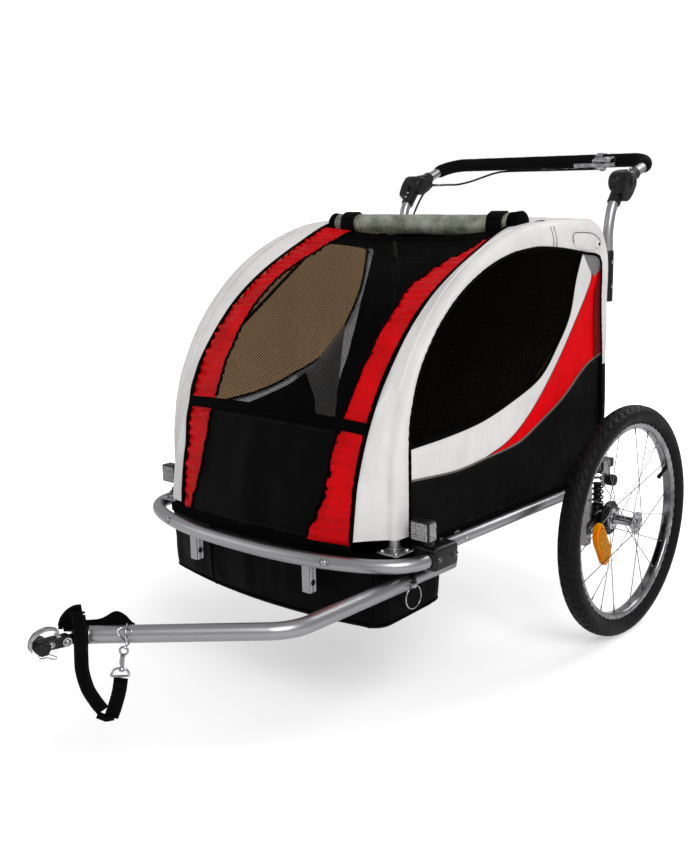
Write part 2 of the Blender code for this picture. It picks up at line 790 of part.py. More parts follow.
def make_bumper():
    """Bowed front tube that plugs into the corner clamps, with two wheel sockets under it."""
    half = [(0.0, BUMPER_FRONT_Y), (0.100, BUMPER_FRONT_Y + 0.004), (0.190, BUMPER_FRONT_Y + 0.0195),
            (0.260, BUMPER_FRONT_Y + 0.0435), (0.305, BUMPER_FRONT_Y + 0.072),
            (BUMPER_END_X - 0.005, BUMPER_FRONT_Y + 0.104), (BUMPER_END_X, CLAMP_FRONT_Y),
            (BUMPER_END_X, CLAMP_FRONT_Y + BUMPER_REACH - GAP)]
    points = [(-x, y, FRAME_Z) for x, y in reversed(half[1:])] + [(x, y, FRAME_Z) for x, y in half]
    route = smooth_route(points, 2)
    bumper = as_mesh(tube("front_bumper", route, BUMPER_R, "silver_tube", 10))
    low = SOCKET_LOW_Z
    front_y = BUMPER_FRONT_Y + 0.0195
    for sign in (1, -1):
        x = sign * SOCKET_X
        body = box("socket", (x - SOCKET_W / 2, front_y, low),
                   (x + SOCKET_W / 2, front_y + SOCKET_D, FRAME_Z - 0.007))
        bore = box("socket_bore",
                   (x - SOCKET_W / 2 + SOCKET_WALL, front_y + SOCKET_WALL, low - 0.01),
                   (x + SOCKET_W / 2 - SOCKET_WALL, front_y + SOCKET_D - SOCKET_WALL, FRAME_Z - 0.018))
        hole = rod("socket_hole", (x - 0.02, front_y + SOCKET_D / 2, low + 0.018),
                   (x + 0.02, front_y + SOCKET_D / 2, low + 0.018), 0.0035, sides=12)
        joined(bumper, body)
        cut(bumper, bore, hole)


def make_clamps():
    """Moulded corner clamps that tie the rails, the bumper and the tow tongue together."""
    for side, sign in (("left", 1), ("right", -1)):
        inner = RAIL_X - RAIL_R - CLAMP_WALL
        outer = BUMPER_END_X + BUMPER_R + CLAMP_WALL
        edges = sorted((sign * inner, sign * outer))
        clamp = box("corner_clamp_" + side, (edges[0], CLAMP_FRONT_Y, FRAME_Z - CLAMP_HALF_H),
                    (edges[1], CLAMP_REAR_Y, FRAME_Z + CLAMP_HALF_H), "black_plastic",
                    CLAMP_ROUND, 3)
        rail_bore = rod("rail_bore", (sign * RAIL_X, RAIL_FRONT_Y - GAP, FRAME_Z),
                        (sign * RAIL_X, CLAMP_REAR_Y + 0.01, FRAME_Z), RAIL_R + 2 * GAP, sides=12)
        bumper_bore = rod("bumper_bore", (sign * BUMPER_END_X, CLAMP_FRONT_Y - 0.01, FRAME_Z),
                          (sign * BUMPER_END_X, CLAMP_FRONT_Y + BUMPER_REACH, FRAME_Z),
                          BUMPER_R + 3 * GAP, sides=16)
        cut(clamp, rail_bore, bumper_bore)


def make_front_reflectors():
    """Corner reflectors, bent round the cabin's front corner on a foot on each clamp."""
    for side, sign in (("left", 1), ("right", -1)):
        top = FRAME_Z + CLAMP_HALF_H + GAP
        front = CLAMP_FRONT_Y - 0.020
        outer = BUMPER_END_X + 0.015
        edges = sorted((sign * (outer - REFLECTOR_W), sign * outer))
        lens = box("front_reflector_" + side, (edges[0], front, REFLECTOR_Z),
                   (edges[1], front + REFLECTOR_D, REFLECTOR_Z + REFLECTOR_H), "clear_lens", 0.002, 1)
        foot_x = sorted((sign * (outer - 0.028), sign * (outer - 0.010)))
        foot = box("reflector_foot", (foot_x[0], CLAMP_FRONT_Y + 0.001, top),
                   (foot_x[1], CLAMP_FRONT_Y + 0.012, REFLECTOR_Z + 0.020))
        foot_back = box("reflector_foot_back", (foot_x[0], CLAMP_FRONT_Y - 0.001, REFLECTOR_Z + 0.006),
                        (foot_x[1], CLAMP_FRONT_Y + 0.006, REFLECTOR_Z + 0.020))
        joined(lens, foot, foot_back)


# Wheels and their suspension


def make_wheel(side, sign):
    """Tyre, rim, hub laced with spokes and the amber reflector of one wheel."""
    centre = Vector((sign * WHEEL_X, 0.0, WHEEL_Z))
    half = TYRE_WIDTH / 2
    bead = RIM_R + GAP
    tyre = turned("tyre_" + side, [
        (-0.011, bead), (-0.019, bead + 0.009), (-half, bead + 0.020), (-half + 0.006, bead + 0.031),
        (-0.008, WHEEL_R), (0.008, WHEEL_R),
        (half - 0.006, bead + 0.031), (half, bead + 0.020), (0.019, bead + 0.009), (0.011, bead)],
        centre, "rubber", ring=True)
    well = RIM_R - RIM_DEPTH
    rim = turned("rim_" + side, [
        (-RIM_WIDTH / 2 + 0.0005, RIM_R), (-RIM_WIDTH / 2, RIM_R - 0.007), (-0.007, well),
        (0.007, well), (RIM_WIDTH / 2, RIM_R - 0.007), (RIM_WIDTH / 2 - 0.0005, RIM_R)],
        centre, "chrome", ring=True)
    bore = AXLE_R + 1.5 * GAP
    out, flange = HUB_FLANGE_X, HUB_FLANGE_T / 2
    hub = turned("hub_and_spokes_" + side, [
        (-out - 0.0045, bore), (-out - 0.0045, HUB_R), (-out - flange, HUB_R),
        (-out - flange, HUB_FLANGE_R), (-out + flange, HUB_FLANGE_R), (-out + flange, HUB_R),
        (out - flange, HUB_R), (out - flange, HUB_FLANGE_R), (out + flange, HUB_FLANGE_R),
        (out + flange, HUB_R), (out + 0.0045, HUB_R), (out + 0.0045, bore)],
        centre, "chrome", ring=True, steps=16)
    spokes = []
    runs = []
    tip_r = well * math.cos(math.pi / WHEEL_FACETS) - GAP
    for k in range(SPOKE_PAIRS):
        for flange_sign in (1, -1):
            for lean in (1, -1):
                turn = math.tau * (k + (0.5 if flange_sign < 0 else 0.0)) / SPOKE_PAIRS
                tip_turn = turn + lean * math.tau / SPOKE_PAIRS / 8
                root_turn = tip_turn - lean * math.radians(SPOKE_LEAN)
                root = (flange_sign * HUB_FLANGE_X + lean * SPOKE_STEP,
                        SPOKE_ROOT_R * math.cos(root_turn), SPOKE_ROOT_R * math.sin(root_turn))
                tip = (flange_sign * 0.002, tip_r * math.cos(tip_turn), tip_r * math.sin(tip_turn))
                runs.append((centre + Vector(root), centre + Vector(tip)))
                spokes.append(rod("spoke", *runs[-1], SPOKE_R, sides=4))
    joined(hub, *spokes)
    spot = centre + Vector((sign * REFLECTOR_OUT, -sign * 0.1026, -0.0252))
    outline = [(0.5 * LENS_LEN * math.cos(math.tau * k / 20), 0.5 * LENS_W * math.sin(math.tau * k / 20))
               for k in range(20)]
    lens = flat_plate("spoke_reflector_" + side, outline, spot, LENS_T / 2, (0.0, sign * 0.193, -0.981),
                      (0.0, sign * 0.981, 0.193), "amber_lens")
    reflector = as_mesh(lens)
    notches = [rod("notch", start, end, SPOKE_R + 1.5 * GAP, sides=4) for start, end in runs
               if abs((start + (end - start) * 0.55 - spot).y) < 0.09 and (end - spot).length < 0.16]
    cut(reflector, *notches)
    return tyre, rim, hub, reflector


def make_bracket(side, sign):
    """Silver post at the rail's end with a shelf over the spring and a release knob."""
    low_x, high_x = RAIL_X - POST_SIDE / 2, RAIL_X + POST_SIDE / 2

    def block(name, x0, x1, y0, y1, z0, z1, look="silver_tube"):
        edges = sorted((sign * x0, sign * x1))
        return box(name, (edges[0], y0, z0), (edges[1], y1, z1), look)

    bracket = block("wheel_bracket_" + side, low_x, high_x, POST_FRONT_Y, POST_REAR_Y, POST_LOW_Z,
                    SHELF_TOP_Z)
    shelf = block("shelf", SHELF_IN_X, high_x, POST_FRONT_Y + 0.001, REAR_Y, SHELF_LOW_Z,
                  SHELF_TOP_Z - GAP)
    ear = block("ear", high_x - 0.0005, high_x + 0.003, -0.014, 0.014, KNOB_Z - 0.013, SHELF_TOP_Z - 0.002)
    knob = rod("knob", (sign * (high_x + 0.001), 0.0, KNOB_Z), (sign * (high_x + 0.024), 0.0, KNOB_Z),
               KNOB_R, sides=14)
    joined(bracket, shelf, ear, knob)
    hole = rod("pivot_hole", (sign * (low_x - 0.01), POST_Y, ARM_PIVOT_Z),
               (sign * (high_x + 0.01), POST_Y, ARM_PIVOT_Z), 0.004 + SLIDE_GAP, sides=12)
    cut(bracket, hole)
    return bracket


def make_swing_arm(side, sign):
    """Swing arm: two cheeks on the post, a spring seat, the dust disc and the axle."""
    post_in, post_out = RAIL_X - POST_SIDE / 2, RAIL_X + POST_SIDE / 2
    in_x, out_x = post_in - CHEEK_T - SLIDE_GAP, post_out + CHEEK_T + SLIDE_GAP

    def block(name, x0, x1, y0, y1, z0, z1, edge=0.0):
        edges = sorted((sign * x0, sign * x1))
        return box(name, (edges[0], y0, z0), (edges[1], y1, z1), "black_steel", edge, 1)

    arm = block("suspension_arm_" + side, in_x, out_x, ARM_FRONT_Y, ARM_REAR_Y, ARM_LOW_Z, ARM_TOP_Z)
    cheek_y = POST_FRONT_Y - 0.003
    low_z, high_z = ARM_PIVOT_Z - 0.012, ARM_PIVOT_Z + 0.014
    cheek_in = block("cheek_in", in_x, in_x + CHEEK_T, cheek_y, ARM_FRONT_Y + 0.004, low_z, high_z, 0.004)
    cheek_out = block("cheek_out", out_x - CHEEK_T, out_x, cheek_y, ARM_FRONT_Y + 0.004, low_z, high_z,
                      0.004)
    pin = rod("arm_pin", (sign * (in_x + 0.001), POST_Y, ARM_PIVOT_Z),
              (sign * (out_x + 0.002), POST_Y, ARM_PIVOT_Z), 0.004, sides=12)
    seat_z = ARM_TOP_Z + SPRING_SEAT_H
    seat = rod("spring_seat", (sign * SPRING_X, SPRING_Y, ARM_TOP_Z - 0.004),
               (sign * SPRING_X, SPRING_Y, seat_z), SPRING_R + 0.0022, sides=16)
    stem = rod("dust_stem", (sign * (out_x - 0.002), 0.0, WHEEL_Z),
               (sign * (DUST_DISC_X + 0.001), 0.0, WHEEL_Z), 0.016, sides=16)
    disc = rod("dust_disc", (sign * DUST_DISC_X, 0.0, WHEEL_Z),
               (sign * (DUST_DISC_X + DUST_DISC_T), 0.0, WHEEL_Z), DUST_DISC_R, sides=24)
    hub_out = WHEEL_X + HUB_FLANGE_X + 0.0045
    axle = rod("axle", (sign * (out_x - 0.004), 0.0, WHEEL_Z), (sign * (hub_out + 0.003), 0.0, WHEEL_Z),
               AXLE_R, sides=16)
    cap = rod("axle_cap", (sign * (hub_out + GAP), 0.0, WHEEL_Z),
              (sign * (hub_out + AXLE_CAP_T), 0.0, WHEEL_Z), AXLE_CAP_R, sides=16, end_radius=0.006)
    joined(arm, cheek_in, cheek_out, pin, seat, stem, disc, axle, cap)
    return arm


def make_spring(side, sign):
    """Coil spring between the arm's seat and the shelf, as one helix."""
    low = ARM_TOP_Z + SPRING_SEAT_H + GAP + SPRING_WIRE
    high = SHELF_LOW_Z - GAP - SPRING_WIRE
    count = SPRING_CURLS * SPRING_STEPS
    points = []
    for k in range(count + 1):
        turn = math.tau * k / SPRING_STEPS
        points.append((sign * SPRING_X + SPRING_R * math.cos(turn), SPRING_Y + SPRING_R * math.sin(turn),
                       low + (high - low) * k / count))
    pitch = (high - low) / SPRING_CURLS
    print("spring_%s: least gap between curls %.2f mm" % (side, (pitch - 2 * SPRING_WIRE) * 1000))
    return tube("suspension_spring_" + side, points, SPRING_WIRE, "black_steel", 6)


# Tow bar and hitch


def bar_direction():
    """Heading of the tow bar's front leg and the direction off its near side."""
    turn = math.radians(TOW_BEND)
    ahead = Vector((-math.sin(turn), -math.cos(turn), 0.0))
    return ahead, Vector((-ahead.y, ahead.x, 0.0))


def bar_end():
    """Front end of the tow bar's centre line."""
    ahead, _ = bar_direction()
    return Vector((TOW_X, TOW_CORNER_Y, TOW_Z)) + ahead * TOW_REACH


def bar_place(s, off, z):
    """A point s ahead of the bar's end, off to its near side, at a height."""
    ahead, aside = bar_direction()
    place = bar_end() + ahead * s + aside * off
    return Vector((place.x, place.y, z))


def make_tow_bar():
    """Tow bar: a tube bent towards the bicycle, bored at its rear to slide on the tongue."""
    ahead, _ = bar_direction()
    corner = Vector((TOW_X, TOW_CORNER_Y, TOW_Z))
    setback = TOW_BEND_R * math.tan(math.radians(TOW_BEND / 2))
    centre = corner + Vector((-TOW_BEND_R, setback, 0.0))
    points = [Vector((TOW_X, TOW_REAR_Y, TOW_Z)), Vector((TOW_X, TOW_REAR_Y - 0.08, TOW_Z))]
    steps = 5
    for k in range(steps + 1):
        t = math.radians(TOW_BEND * k / steps)
        points.append(centre + Vector((TOW_BEND_R * math.cos(t), -TOW_BEND_R * math.sin(t), 0.0)))
    points.append(bar_end())
    bar = as_mesh(tube("tow_bar", points, TOW_R, "silver_tube", 16))
    cut(bar, rod("tongue_bore", (TOW_X, TOW_REAR_Y + 0.01, TOW_Z), (TOW_X, TONGUE_FRONT_Y - 0.002, TOW_Z),
                 TONGUE_R + 2 * GAP, sides=16),
        rod("pin_bore", (TOW_X - 0.03, PIN_Y, TOW_Z), (TOW_X + 0.03, PIN_Y, TOW_Z), PIN_R + SLIDE_GAP,
            sides=12))
    return bar


def make_receiver_pin():
    """Cross pin that locks the tow bar on its tongue, and the pull ring in its head."""
    head_x = TOW_X + TOW_R + GAP
    pin = rod("receiver_pin", (TOW_X - TOW_R + 0.001, PIN_Y, TOW_Z), (head_x + 0.003, PIN_Y, TOW_Z), PIN_R,
              "chrome", 12)
    head = box("pin_head", (head_x, PIN_Y - PIN_HEAD / 2, TOW_Z - PIN_HEAD / 2),
               (head_x + PIN_HEAD, PIN_Y + PIN_HEAD / 2, TOW_Z + PIN_HEAD / 2))
    joined(pin, head)
    eye_x = head_x + PIN_HEAD / 2
    cut(pin, rod("eye", (eye_x, PIN_Y - 0.02, TOW_Z), (eye_x, PIN_Y + 0.02, TOW_Z),
                 RING_WIRE + 0.0016, sides=12))
    bpy.ops.mesh.primitive_torus_add(
        major_segments=20, minor_segments=5, major_radius=RING_R, minor_radius=RING_WIRE,
        location=(eye_x, PIN_Y, TOW_Z - RING_R - 0.0008), rotation=(0.0, math.pi / 2, 0.0))
    ring = bpy.context.object
    ring.name = "receiver_pin_ring"
    ring.data.name = "receiver_pin_ring"
    for collection in list(ring.users_collection):
        collection.objects.unlink(ring)
    PARTS.objects.link(ring)
    ring.data.materials.append(finish("chrome"))
    return pin, ring, Vector((eye_x, PIN_Y, TOW_Z))


def hitch_frame():
    """The hitch's own axes: ahead along it, aside across it, and its hinge bolt's place."""
    ahead, _ = bar_direction()
    turn = Matrix.Rotation(math.radians(-COUPLER_TURN), 3, "Z")
    ahead = turn @ ahead
    aside = Vector((-ahead.y, ahead.x, 0.0))
    root = bar_end() + bar_direction()[0] * 0.002
    bolt = root + ahead * BOLT_AT
    return ahead, aside, root, bolt


def oriented_block(name, centre, ahead, size, look, edge=0.0, segments=2):
    """A block whose first side runs along a level heading."""
    bm = bmesh.new()
    bmesh.ops.create_cube(bm, size=1.0, matrix=Matrix.Diagonal((*size, 1.0)))
    obj = mesh_from(name, bm, look)
    turn = math.atan2(ahead.y, ahead.x)
    obj.matrix_world = Matrix.Translation(centre) @ Matrix.Rotation(turn, 4, "Z")
    if edge > 0:
        bevel = obj.modifiers.new("Rounded", "BEVEL")
        bevel.width = edge
        bevel.segments = segments
        bevel.limit_method = "ANGLE"
    return obj


def make_hitch():
    """Coupler on the bar's end, hinged head, clamp jaw, clamp knob and spring clip."""
    ahead, aside, root, bolt = hitch_frame()
    level = Vector((0.0, 0.0, 1.0))
    plug = rod("hitch_coupler", bar_end() + bar_direction()[0] * GAP, root + bar_direction()[0] * 0.010,
               TOW_R * 0.93, "black_plastic", 16)
    body_end = BOLT_AT - KNUCKLE_R - 0.0003
    body = oriented_block("coupler_body", root + ahead * (0.004 + body_end) / 2, ahead,
                          (body_end - 0.004, COUPLER_W, COUPLER_H), "black_plastic", 0.004)
    tongue = oriented_block("coupler_tongue", bolt - ahead * 0.0025, ahead,
                            (0.0200, 0.0075, 0.0150), "black_plastic")
    screw = rod("coupler_bolt", bolt - aside * 0.0118, bolt + aside * 0.0118, 0.0045, sides=12)
    joined(plug, body, tongue, screw)

    back = 0.0060
    head = oriented_block("hitch_head", bolt + ahead * (HEAD_LEN - back) / 2, ahead,
                          (HEAD_LEN + back, COUPLER_W - 0.001, HEAD_H), "black_plastic", 0.003)
    slot_end = KNUCKLE_R + 0.0004
    slot = oriented_block("head_slot", bolt + ahead * (slot_end - 0.02) / 2, ahead,
                          (slot_end + 0.02, 0.0075 + 2 * HEAD_GAP, 0.03), "black_plastic")
    bolt_hole = rod("bolt_hole", bolt - aside * 0.02, bolt + aside * 0.02, 0.0045 + SLIDE_GAP, sides=12)
    barrel_at = bolt + ahead * HEAD_LEN
    barrel = rod("barrel", barrel_at - aside * BARREL_HALF, barrel_at + aside * BARREL_HALF, BARREL_R,
                 sides=20)
    joined(head, barrel)

    jaw_mid = barrel_at - ahead * JAW_BACK
    outline = []
    for trim, turns in ((0.0, range(0, 9)), (JAW_T, range(8, -1, -1))):
        for k in turns:
            t = math.radians(195.0 - 18.0 * k)
            outline.append(((JAW_REACH - trim) * math.cos(t), (JAW_RISE - trim) * math.sin(t)))
    jaw = as_mesh(flat_plate("hitch_jaw", outline, jaw_mid, JAW_W / 2, -ahead, level, "chrome"))
    t = math.radians(51.0)
    jaw_pin = (jaw_mid - ahead * (JAW_REACH - JAW_T / 2) * math.cos(t)
               + level * ((JAW_RISE - JAW_T / 2) * math.sin(t) - 0.0085))
    eye = rod("jaw_eye", jaw_pin - aside * JAW_W / 2, jaw_pin + aside * JAW_W / 2, 0.0034, sides=12)
    strut = oriented_block("jaw_strut", jaw_pin + level * 0.0045, ahead, (0.0026, JAW_W, 0.0085), "chrome")
    joined(jaw, eye, strut)
    groove = rod("jaw_groove", jaw_pin - aside * 0.02, jaw_pin + aside * 0.02, 0.0034 + SLIDE_GAP, sides=16)
    cut(head, slot, bolt_hole, groove)

    knob = rod("hitch_knob", barrel_at + aside * (BARREL_HALF + GAP),
               barrel_at + aside * (BARREL_HALF + HITCH_KNOB_T), HITCH_KNOB_R, "black_plastic", 16)

    clip_at = barrel_at - ahead * 0.004 + aside * 0.006 - level * (BARREL_R + CLIP_WIRE + 0.0004)
    back = -ahead
    loop = [clip_at - back * 0.010, clip_at + back * 0.004, clip_at + back * 0.012 - level * 0.004,
            clip_at + back * 0.017 - level * 0.0075, clip_at + back * 0.015 - level * 0.0105,
            clip_at + back * 0.010 - level * 0.0090, clip_at - back * 0.006 - level * 0.0035]
    clip = tube("hitch_clip", loop, CLIP_WIRE, "chrome", 6)
    return plug, head, jaw, knob, clip, bolt, barrel_at, jaw_pin, ahead, aside


def strap_outline(points, width):
    """Outline of a flat strap of one width along a line of (s, z) points."""
    left, right = [], []
    for k, point in enumerate(points):
        before = Vector(points[max(k - 1, 0)])
        after = Vector(points[min(k + 1, len(points) - 1)])
        step = (after - before).normalized()
        side = Vector((-step.y, step.x)) * width / 2
        left.append(tuple(Vector(point) + side))
        right.append(tuple(Vector(point) - side))
    return left + list(reversed(right))


def make_strap():
    """Safety strap: looped over the coupler, hanging in a fold, and snapped on the bar."""
    ahead, aside = bar_direction()
    level = Vector((0.0, 0.0, 1.0))
    half = STRAP_T / 2
    down = smooth_2d([(0.0105, 0.338), (0.0090, 0.300), (0.0100, 0.262), (0.0100, 0.236),
                      (0.0030, 0.204), (-0.0130, 0.172)], 2)
    front = flat_plate("safety_strap", strap_outline(down, STRAP_W), bar_place(0, STRAP_OUT, 0), half,
                       ahead, level, "webbing")
    up = [(-0.0060, 0.1640), (-0.0330, 0.2000), (-0.0410, 0.2215)]
    rise = flat_plate("strap_rise", strap_outline(up, STRAP_W), bar_place(0, STRAP_OUT - half * 1.6, 0),
                      half, ahead, level, "webbing")
    over = [(0.0105, 0.3380), (0.0230, 0.3330), (0.0340, 0.3160), (0.0380, 0.3020)]
    back = flat_plate("strap_back", strap_outline(over, STRAP_W), bar_place(0, 0.010, 0), half,
                      ahead, level, "webbing")
    strap = as_mesh(front)
    bridge = oriented_block("strap_bridge", bar_place(0.0135, (STRAP_OUT + 0.010) / 2, 0.3375), ahead,
                            (0.016, STRAP_OUT - 0.010 + STRAP_T, 0.010), "webbing")
    behind = flat_plate("strap_behind", [(0.0470, 0.3110), (0.0470, 0.2850), (-0.0670, 0.2850),
                                         (-0.0670, 0.3050), (-0.0500, 0.3110)],
                        bar_place(0, STRAP_BACK, 0), half, ahead, level, "webbing")
    wrap = oriented_block("strap_wrap", bar_place(0.0430, (STRAP_BACK + 0.010) / 2, 0.3020), ahead,
                          (0.0070, 0.010 - STRAP_BACK + STRAP_T * 0.9, 0.0160), "webbing")
    joined(strap, as_mesh(rise), as_mesh(back), bridge, as_mesh(behind), wrap)

    at = (-0.047, STRAP_OUT - half * 1.6)
    bail = flat_plate("snap_hook", [(-0.0125, 0.0), (0.0125, 0.0), (0.0125, 0.006), (0.005, 0.0125),
                                    (-0.005, 0.0125), (-0.0125, 0.006)],
                      bar_place(at[0] + 0.0035, at[1], 0.2265), 0.0016, ahead, level, "chrome")
    body = rod("snap_body", bar_place(at[0], at[1], 0.236), bar_place(-0.0500, at[1], 0.2650), 0.0038,
               sides=10)
    hook = as_mesh(bail)
    loop_points = []
    radius = TOW_R + 0.0018 + 1.5 * GAP
    for k in range(15):
        t = math.radians(-160.0 + 255.0 * k / 14)
        loop_points.append(bar_place(-0.0530, radius * math.cos(t), TOW_Z + radius * math.sin(t)))
    ring = as_mesh(tube("snap_loop", loop_points, 0.0018, "chrome", 6))
    neck = rod("snap_neck", bar_place(-0.0505, at[1], 0.2640), bar_place(-0.0530, 0.0118, 0.2735), 0.0024,
               sides=8)
    joined(hook, body, ring, neck)
    return strap, hook


# Push handle and hand brake


def handle_place(x, reach, lift=0.0):
    """A point of the handle's plane: reach back from the pivot axis, lift square to it."""
    rise = math.radians(HANDLE_RISE)
    return Vector((x, PIVOT_Y + reach * math.cos(rise) - lift * math.sin(rise),
                   PIVOT_Z + reach * math.sin(rise) + lift * math.cos(rise)))


def handle_route(start, steps=4):
    """Centre line of the handle tube from one arm round to the other."""
    points = [handle_place(HANDLE_X, start)]
    near = HANDLE_LEN - HANDLE_BEND_R
    side = []
    for k in range(steps + 1):
        t = math.radians(90.0 * k / steps)
        side.append((HANDLE_X - HANDLE_BEND_R * (1 - math.cos(t)), near + HANDLE_BEND_R * math.sin(t)))
    points += [handle_place(x, reach) for x, reach in side]
    points += [handle_place(-x, reach) for x, reach in reversed(side)]
    points.append(handle_place(-HANDLE_X, start))
    return points


def make_handle():
    """Handle tube with its foam grip."""
    bar = tube("handlebar_tube", handle_route(TUBE_START), HANDLE_R, "silver_tube", 12)
    grip = as_mesh(tube("handlebar_grip", handle_route(GRIP_START), GRIP_R, "foam", 12))
    hollow = as_mesh(tube("grip_bore", handle_route(TUBE_START), HANDLE_R + 2 * GAP, "foam", 12))
    cut(grip, hollow)
    return bar, grip


def make_pivot(side, sign):
    """One handle joint: the fixed half, the turning half and its push button."""
    middle = PIVOT_Z
    inner = HANDLE_X + 0.0010
    rise = Vector((0.0, math.cos(math.radians(HANDLE_RISE)), math.sin(math.radians(HANDLE_RISE))))
    fall_turn = math.radians(LOWER_ARM_TURN)
    fall = Vector((0.0, math.cos(fall_turn), math.sin(fall_turn)))
    axis_at = Vector((0.0, PIVOT_Y, middle))

    def shell(name, x0, x1, heading, look):
        x0, x1 = sign * x0, sign * x1
        disc = rod(name, axis_at + Vector((x0, 0, 0)), axis_at + Vector((x1, 0, 0)), PIVOT_DISC_R, look, 24)
        root = axis_at + Vector((sign * HANDLE_X, 0, 0))
        socket = rod("sleeve", root + heading * SOCKET_START, root + heading * SLEEVE_END, SLEEVE_R,
                     sides=16, end_radius=SLEEVE_R - 0.0012)
        mid_x = (x0 + x1) / 2
        block = bmesh.new()
        bmesh.ops.create_cube(block, size=1.0, matrix=Matrix.Diagonal(
            (abs(x1 - x0) - 0.0006, 0.026, 0.0335, 1.0)))
        link = mesh_from("link", block, look)
        turn = Matrix.Rotation(math.atan2(heading.z, heading.y) - math.pi / 2, 4, "X")
        link.matrix_world = Matrix.Translation(axis_at + Vector((mid_x, 0, 0)) + heading * 0.0180) @ turn
        joined(disc, link, socket)
        bore = rod("sleeve_bore", root + heading * (TUBE_START - GAP), root + heading * (SLEEVE_END + 0.01),
                   HANDLE_R + 2 * GAP, sides=16)
        cut(disc, bore)
        return disc

    base = shell("pivot_base_" + side, inner, inner + PIVOT_HALF_T, fall, "black_plastic")
    face = inner + PIVOT_HALF_T
    cut(base, rod("button_bore", (sign * (face - BUTTON_DEEP - BUTTON_TRAVEL - GAP), PIVOT_Y, middle),
                  (sign * (face + 0.01), PIVOT_Y, middle), BUTTON_R + SLIDE_GAP, sides=20))
    arm = shell("pivot_arm_" + side, inner - GAP - PIVOT_HALF_T, inner - GAP, rise, "black_plastic")
    button = rod("pivot_button_" + side, (sign * (face - BUTTON_DEEP), PIVOT_Y, middle),
                 (sign * (face + BUTTON_OUT), PIVOT_Y, middle), BUTTON_R, "black_plastic", 20,
                 BUTTON_R - 0.0012)
    return base, arm, button


def make_upright(side, sign):
    """Upright from its black sleeve on the cabin's back up into the handle joint."""
    fall_turn = math.radians(LOWER_ARM_TURN)
    line_y = REAR_Y + GAP + UPRIGHT_SLEEVE_R
    ends = [(PIVOT_Y + r * math.cos(fall_turn), PIVOT_Z + r * math.sin(fall_turn))
            for r in (SLEEVE_END + 0.004, TUBE_START)]
    path = [(line_y, UPRIGHT_LOW_Z + 0.004), (line_y, UPRIGHT_SLEEVE_TOP + 0.002),
            (line_y - 0.0006, 0.8450), (line_y + 0.0060, 0.8780)] + ends
    route = smooth_route([(sign * HANDLE_X, y, z) for y, z in path[:-1]], 3)
    route.append(Vector((sign * HANDLE_X, *path[-1])))
    upright = as_mesh(tube("handlebar_upright_" + side, route, HANDLE_R, "silver_tube", 12))
    sleeve = rod("upright_sleeve", (sign * HANDLE_X, line_y, UPRIGHT_LOW_Z),
                 (sign * HANDLE_X, line_y, UPRIGHT_SLEEVE_TOP), UPRIGHT_SLEEVE_R, sides=16)
    joined(upright, sleeve)
    return upright


def make_hand_brake():
    """Brake perch clamped round the grip, and its lever under the bar."""
    reach = HANDLE_LEN
    rise = math.radians(HANDLE_RISE)
    forward = Vector((0.0, -math.cos(rise), -math.sin(rise)))
    band_out = GRIP_R + 0.003
    centre = handle_place(LEVER_X, reach)
    perch = rod("brake_perch", centre - Vector((0.009, 0, 0)), centre + Vector((0.009, 0, 0)), band_out,
                "chrome", 20)
    block = bmesh.new()
    bmesh.ops.create_cube(block, size=1.0, matrix=Matrix.Diagonal((0.046, 0.022, 0.008, 1.0)))
    plate = mesh_from("perch_plate", block, "chrome")
    tilt = Matrix.Rotation(rise, 4, "X")
    plate.matrix_world = (Matrix.Translation(handle_place(LEVER_X + 0.016, reach - band_out - 0.003, 0.0095))
                          @ tilt)
    joined(perch, plate)
    cut(perch, rod("perch_bore", centre - Vector((0.04, 0, 0)), centre + Vector((0.04, 0, 0)),
                   GRIP_R + 2 * GAP, sides=16))
    up = Vector((0.0, -math.sin(rise), math.cos(rise)))
    hinge = handle_place(LEVER_PIVOT_X, reach - band_out - 0.0085)
    post = rod("perch_pin", hinge - up * 0.0062, hinge + up * 0.020, 0.0022, sides=10)
    joined(perch, post)

    outline = [(-0.018, -0.0050), (0.006, -0.0055), (LEVER_PIVOT_X - LEVER_TIP_X - 0.010, -0.0045),
               (LEVER_PIVOT_X - LEVER_TIP_X, -0.0015), (LEVER_PIVOT_X - LEVER_TIP_X, 0.0040),
               (LEVER_PIVOT_X - LEVER_TIP_X - 0.012, 0.0042), (0.030, 0.0035), (0.010, 0.0065),
               (-0.018, 0.0045)]
    lever = flat_plate("brake_lever", outline, hinge, 0.0050, (-1, 0, 0), forward, "chrome")
    lever = as_mesh(lever)
    cut(lever, rod("lever_hole", hinge - up * 0.02, hinge + up * 0.02, 0.0022 + GAP * 2, sides=12))
    return perch, lever, hinge, up


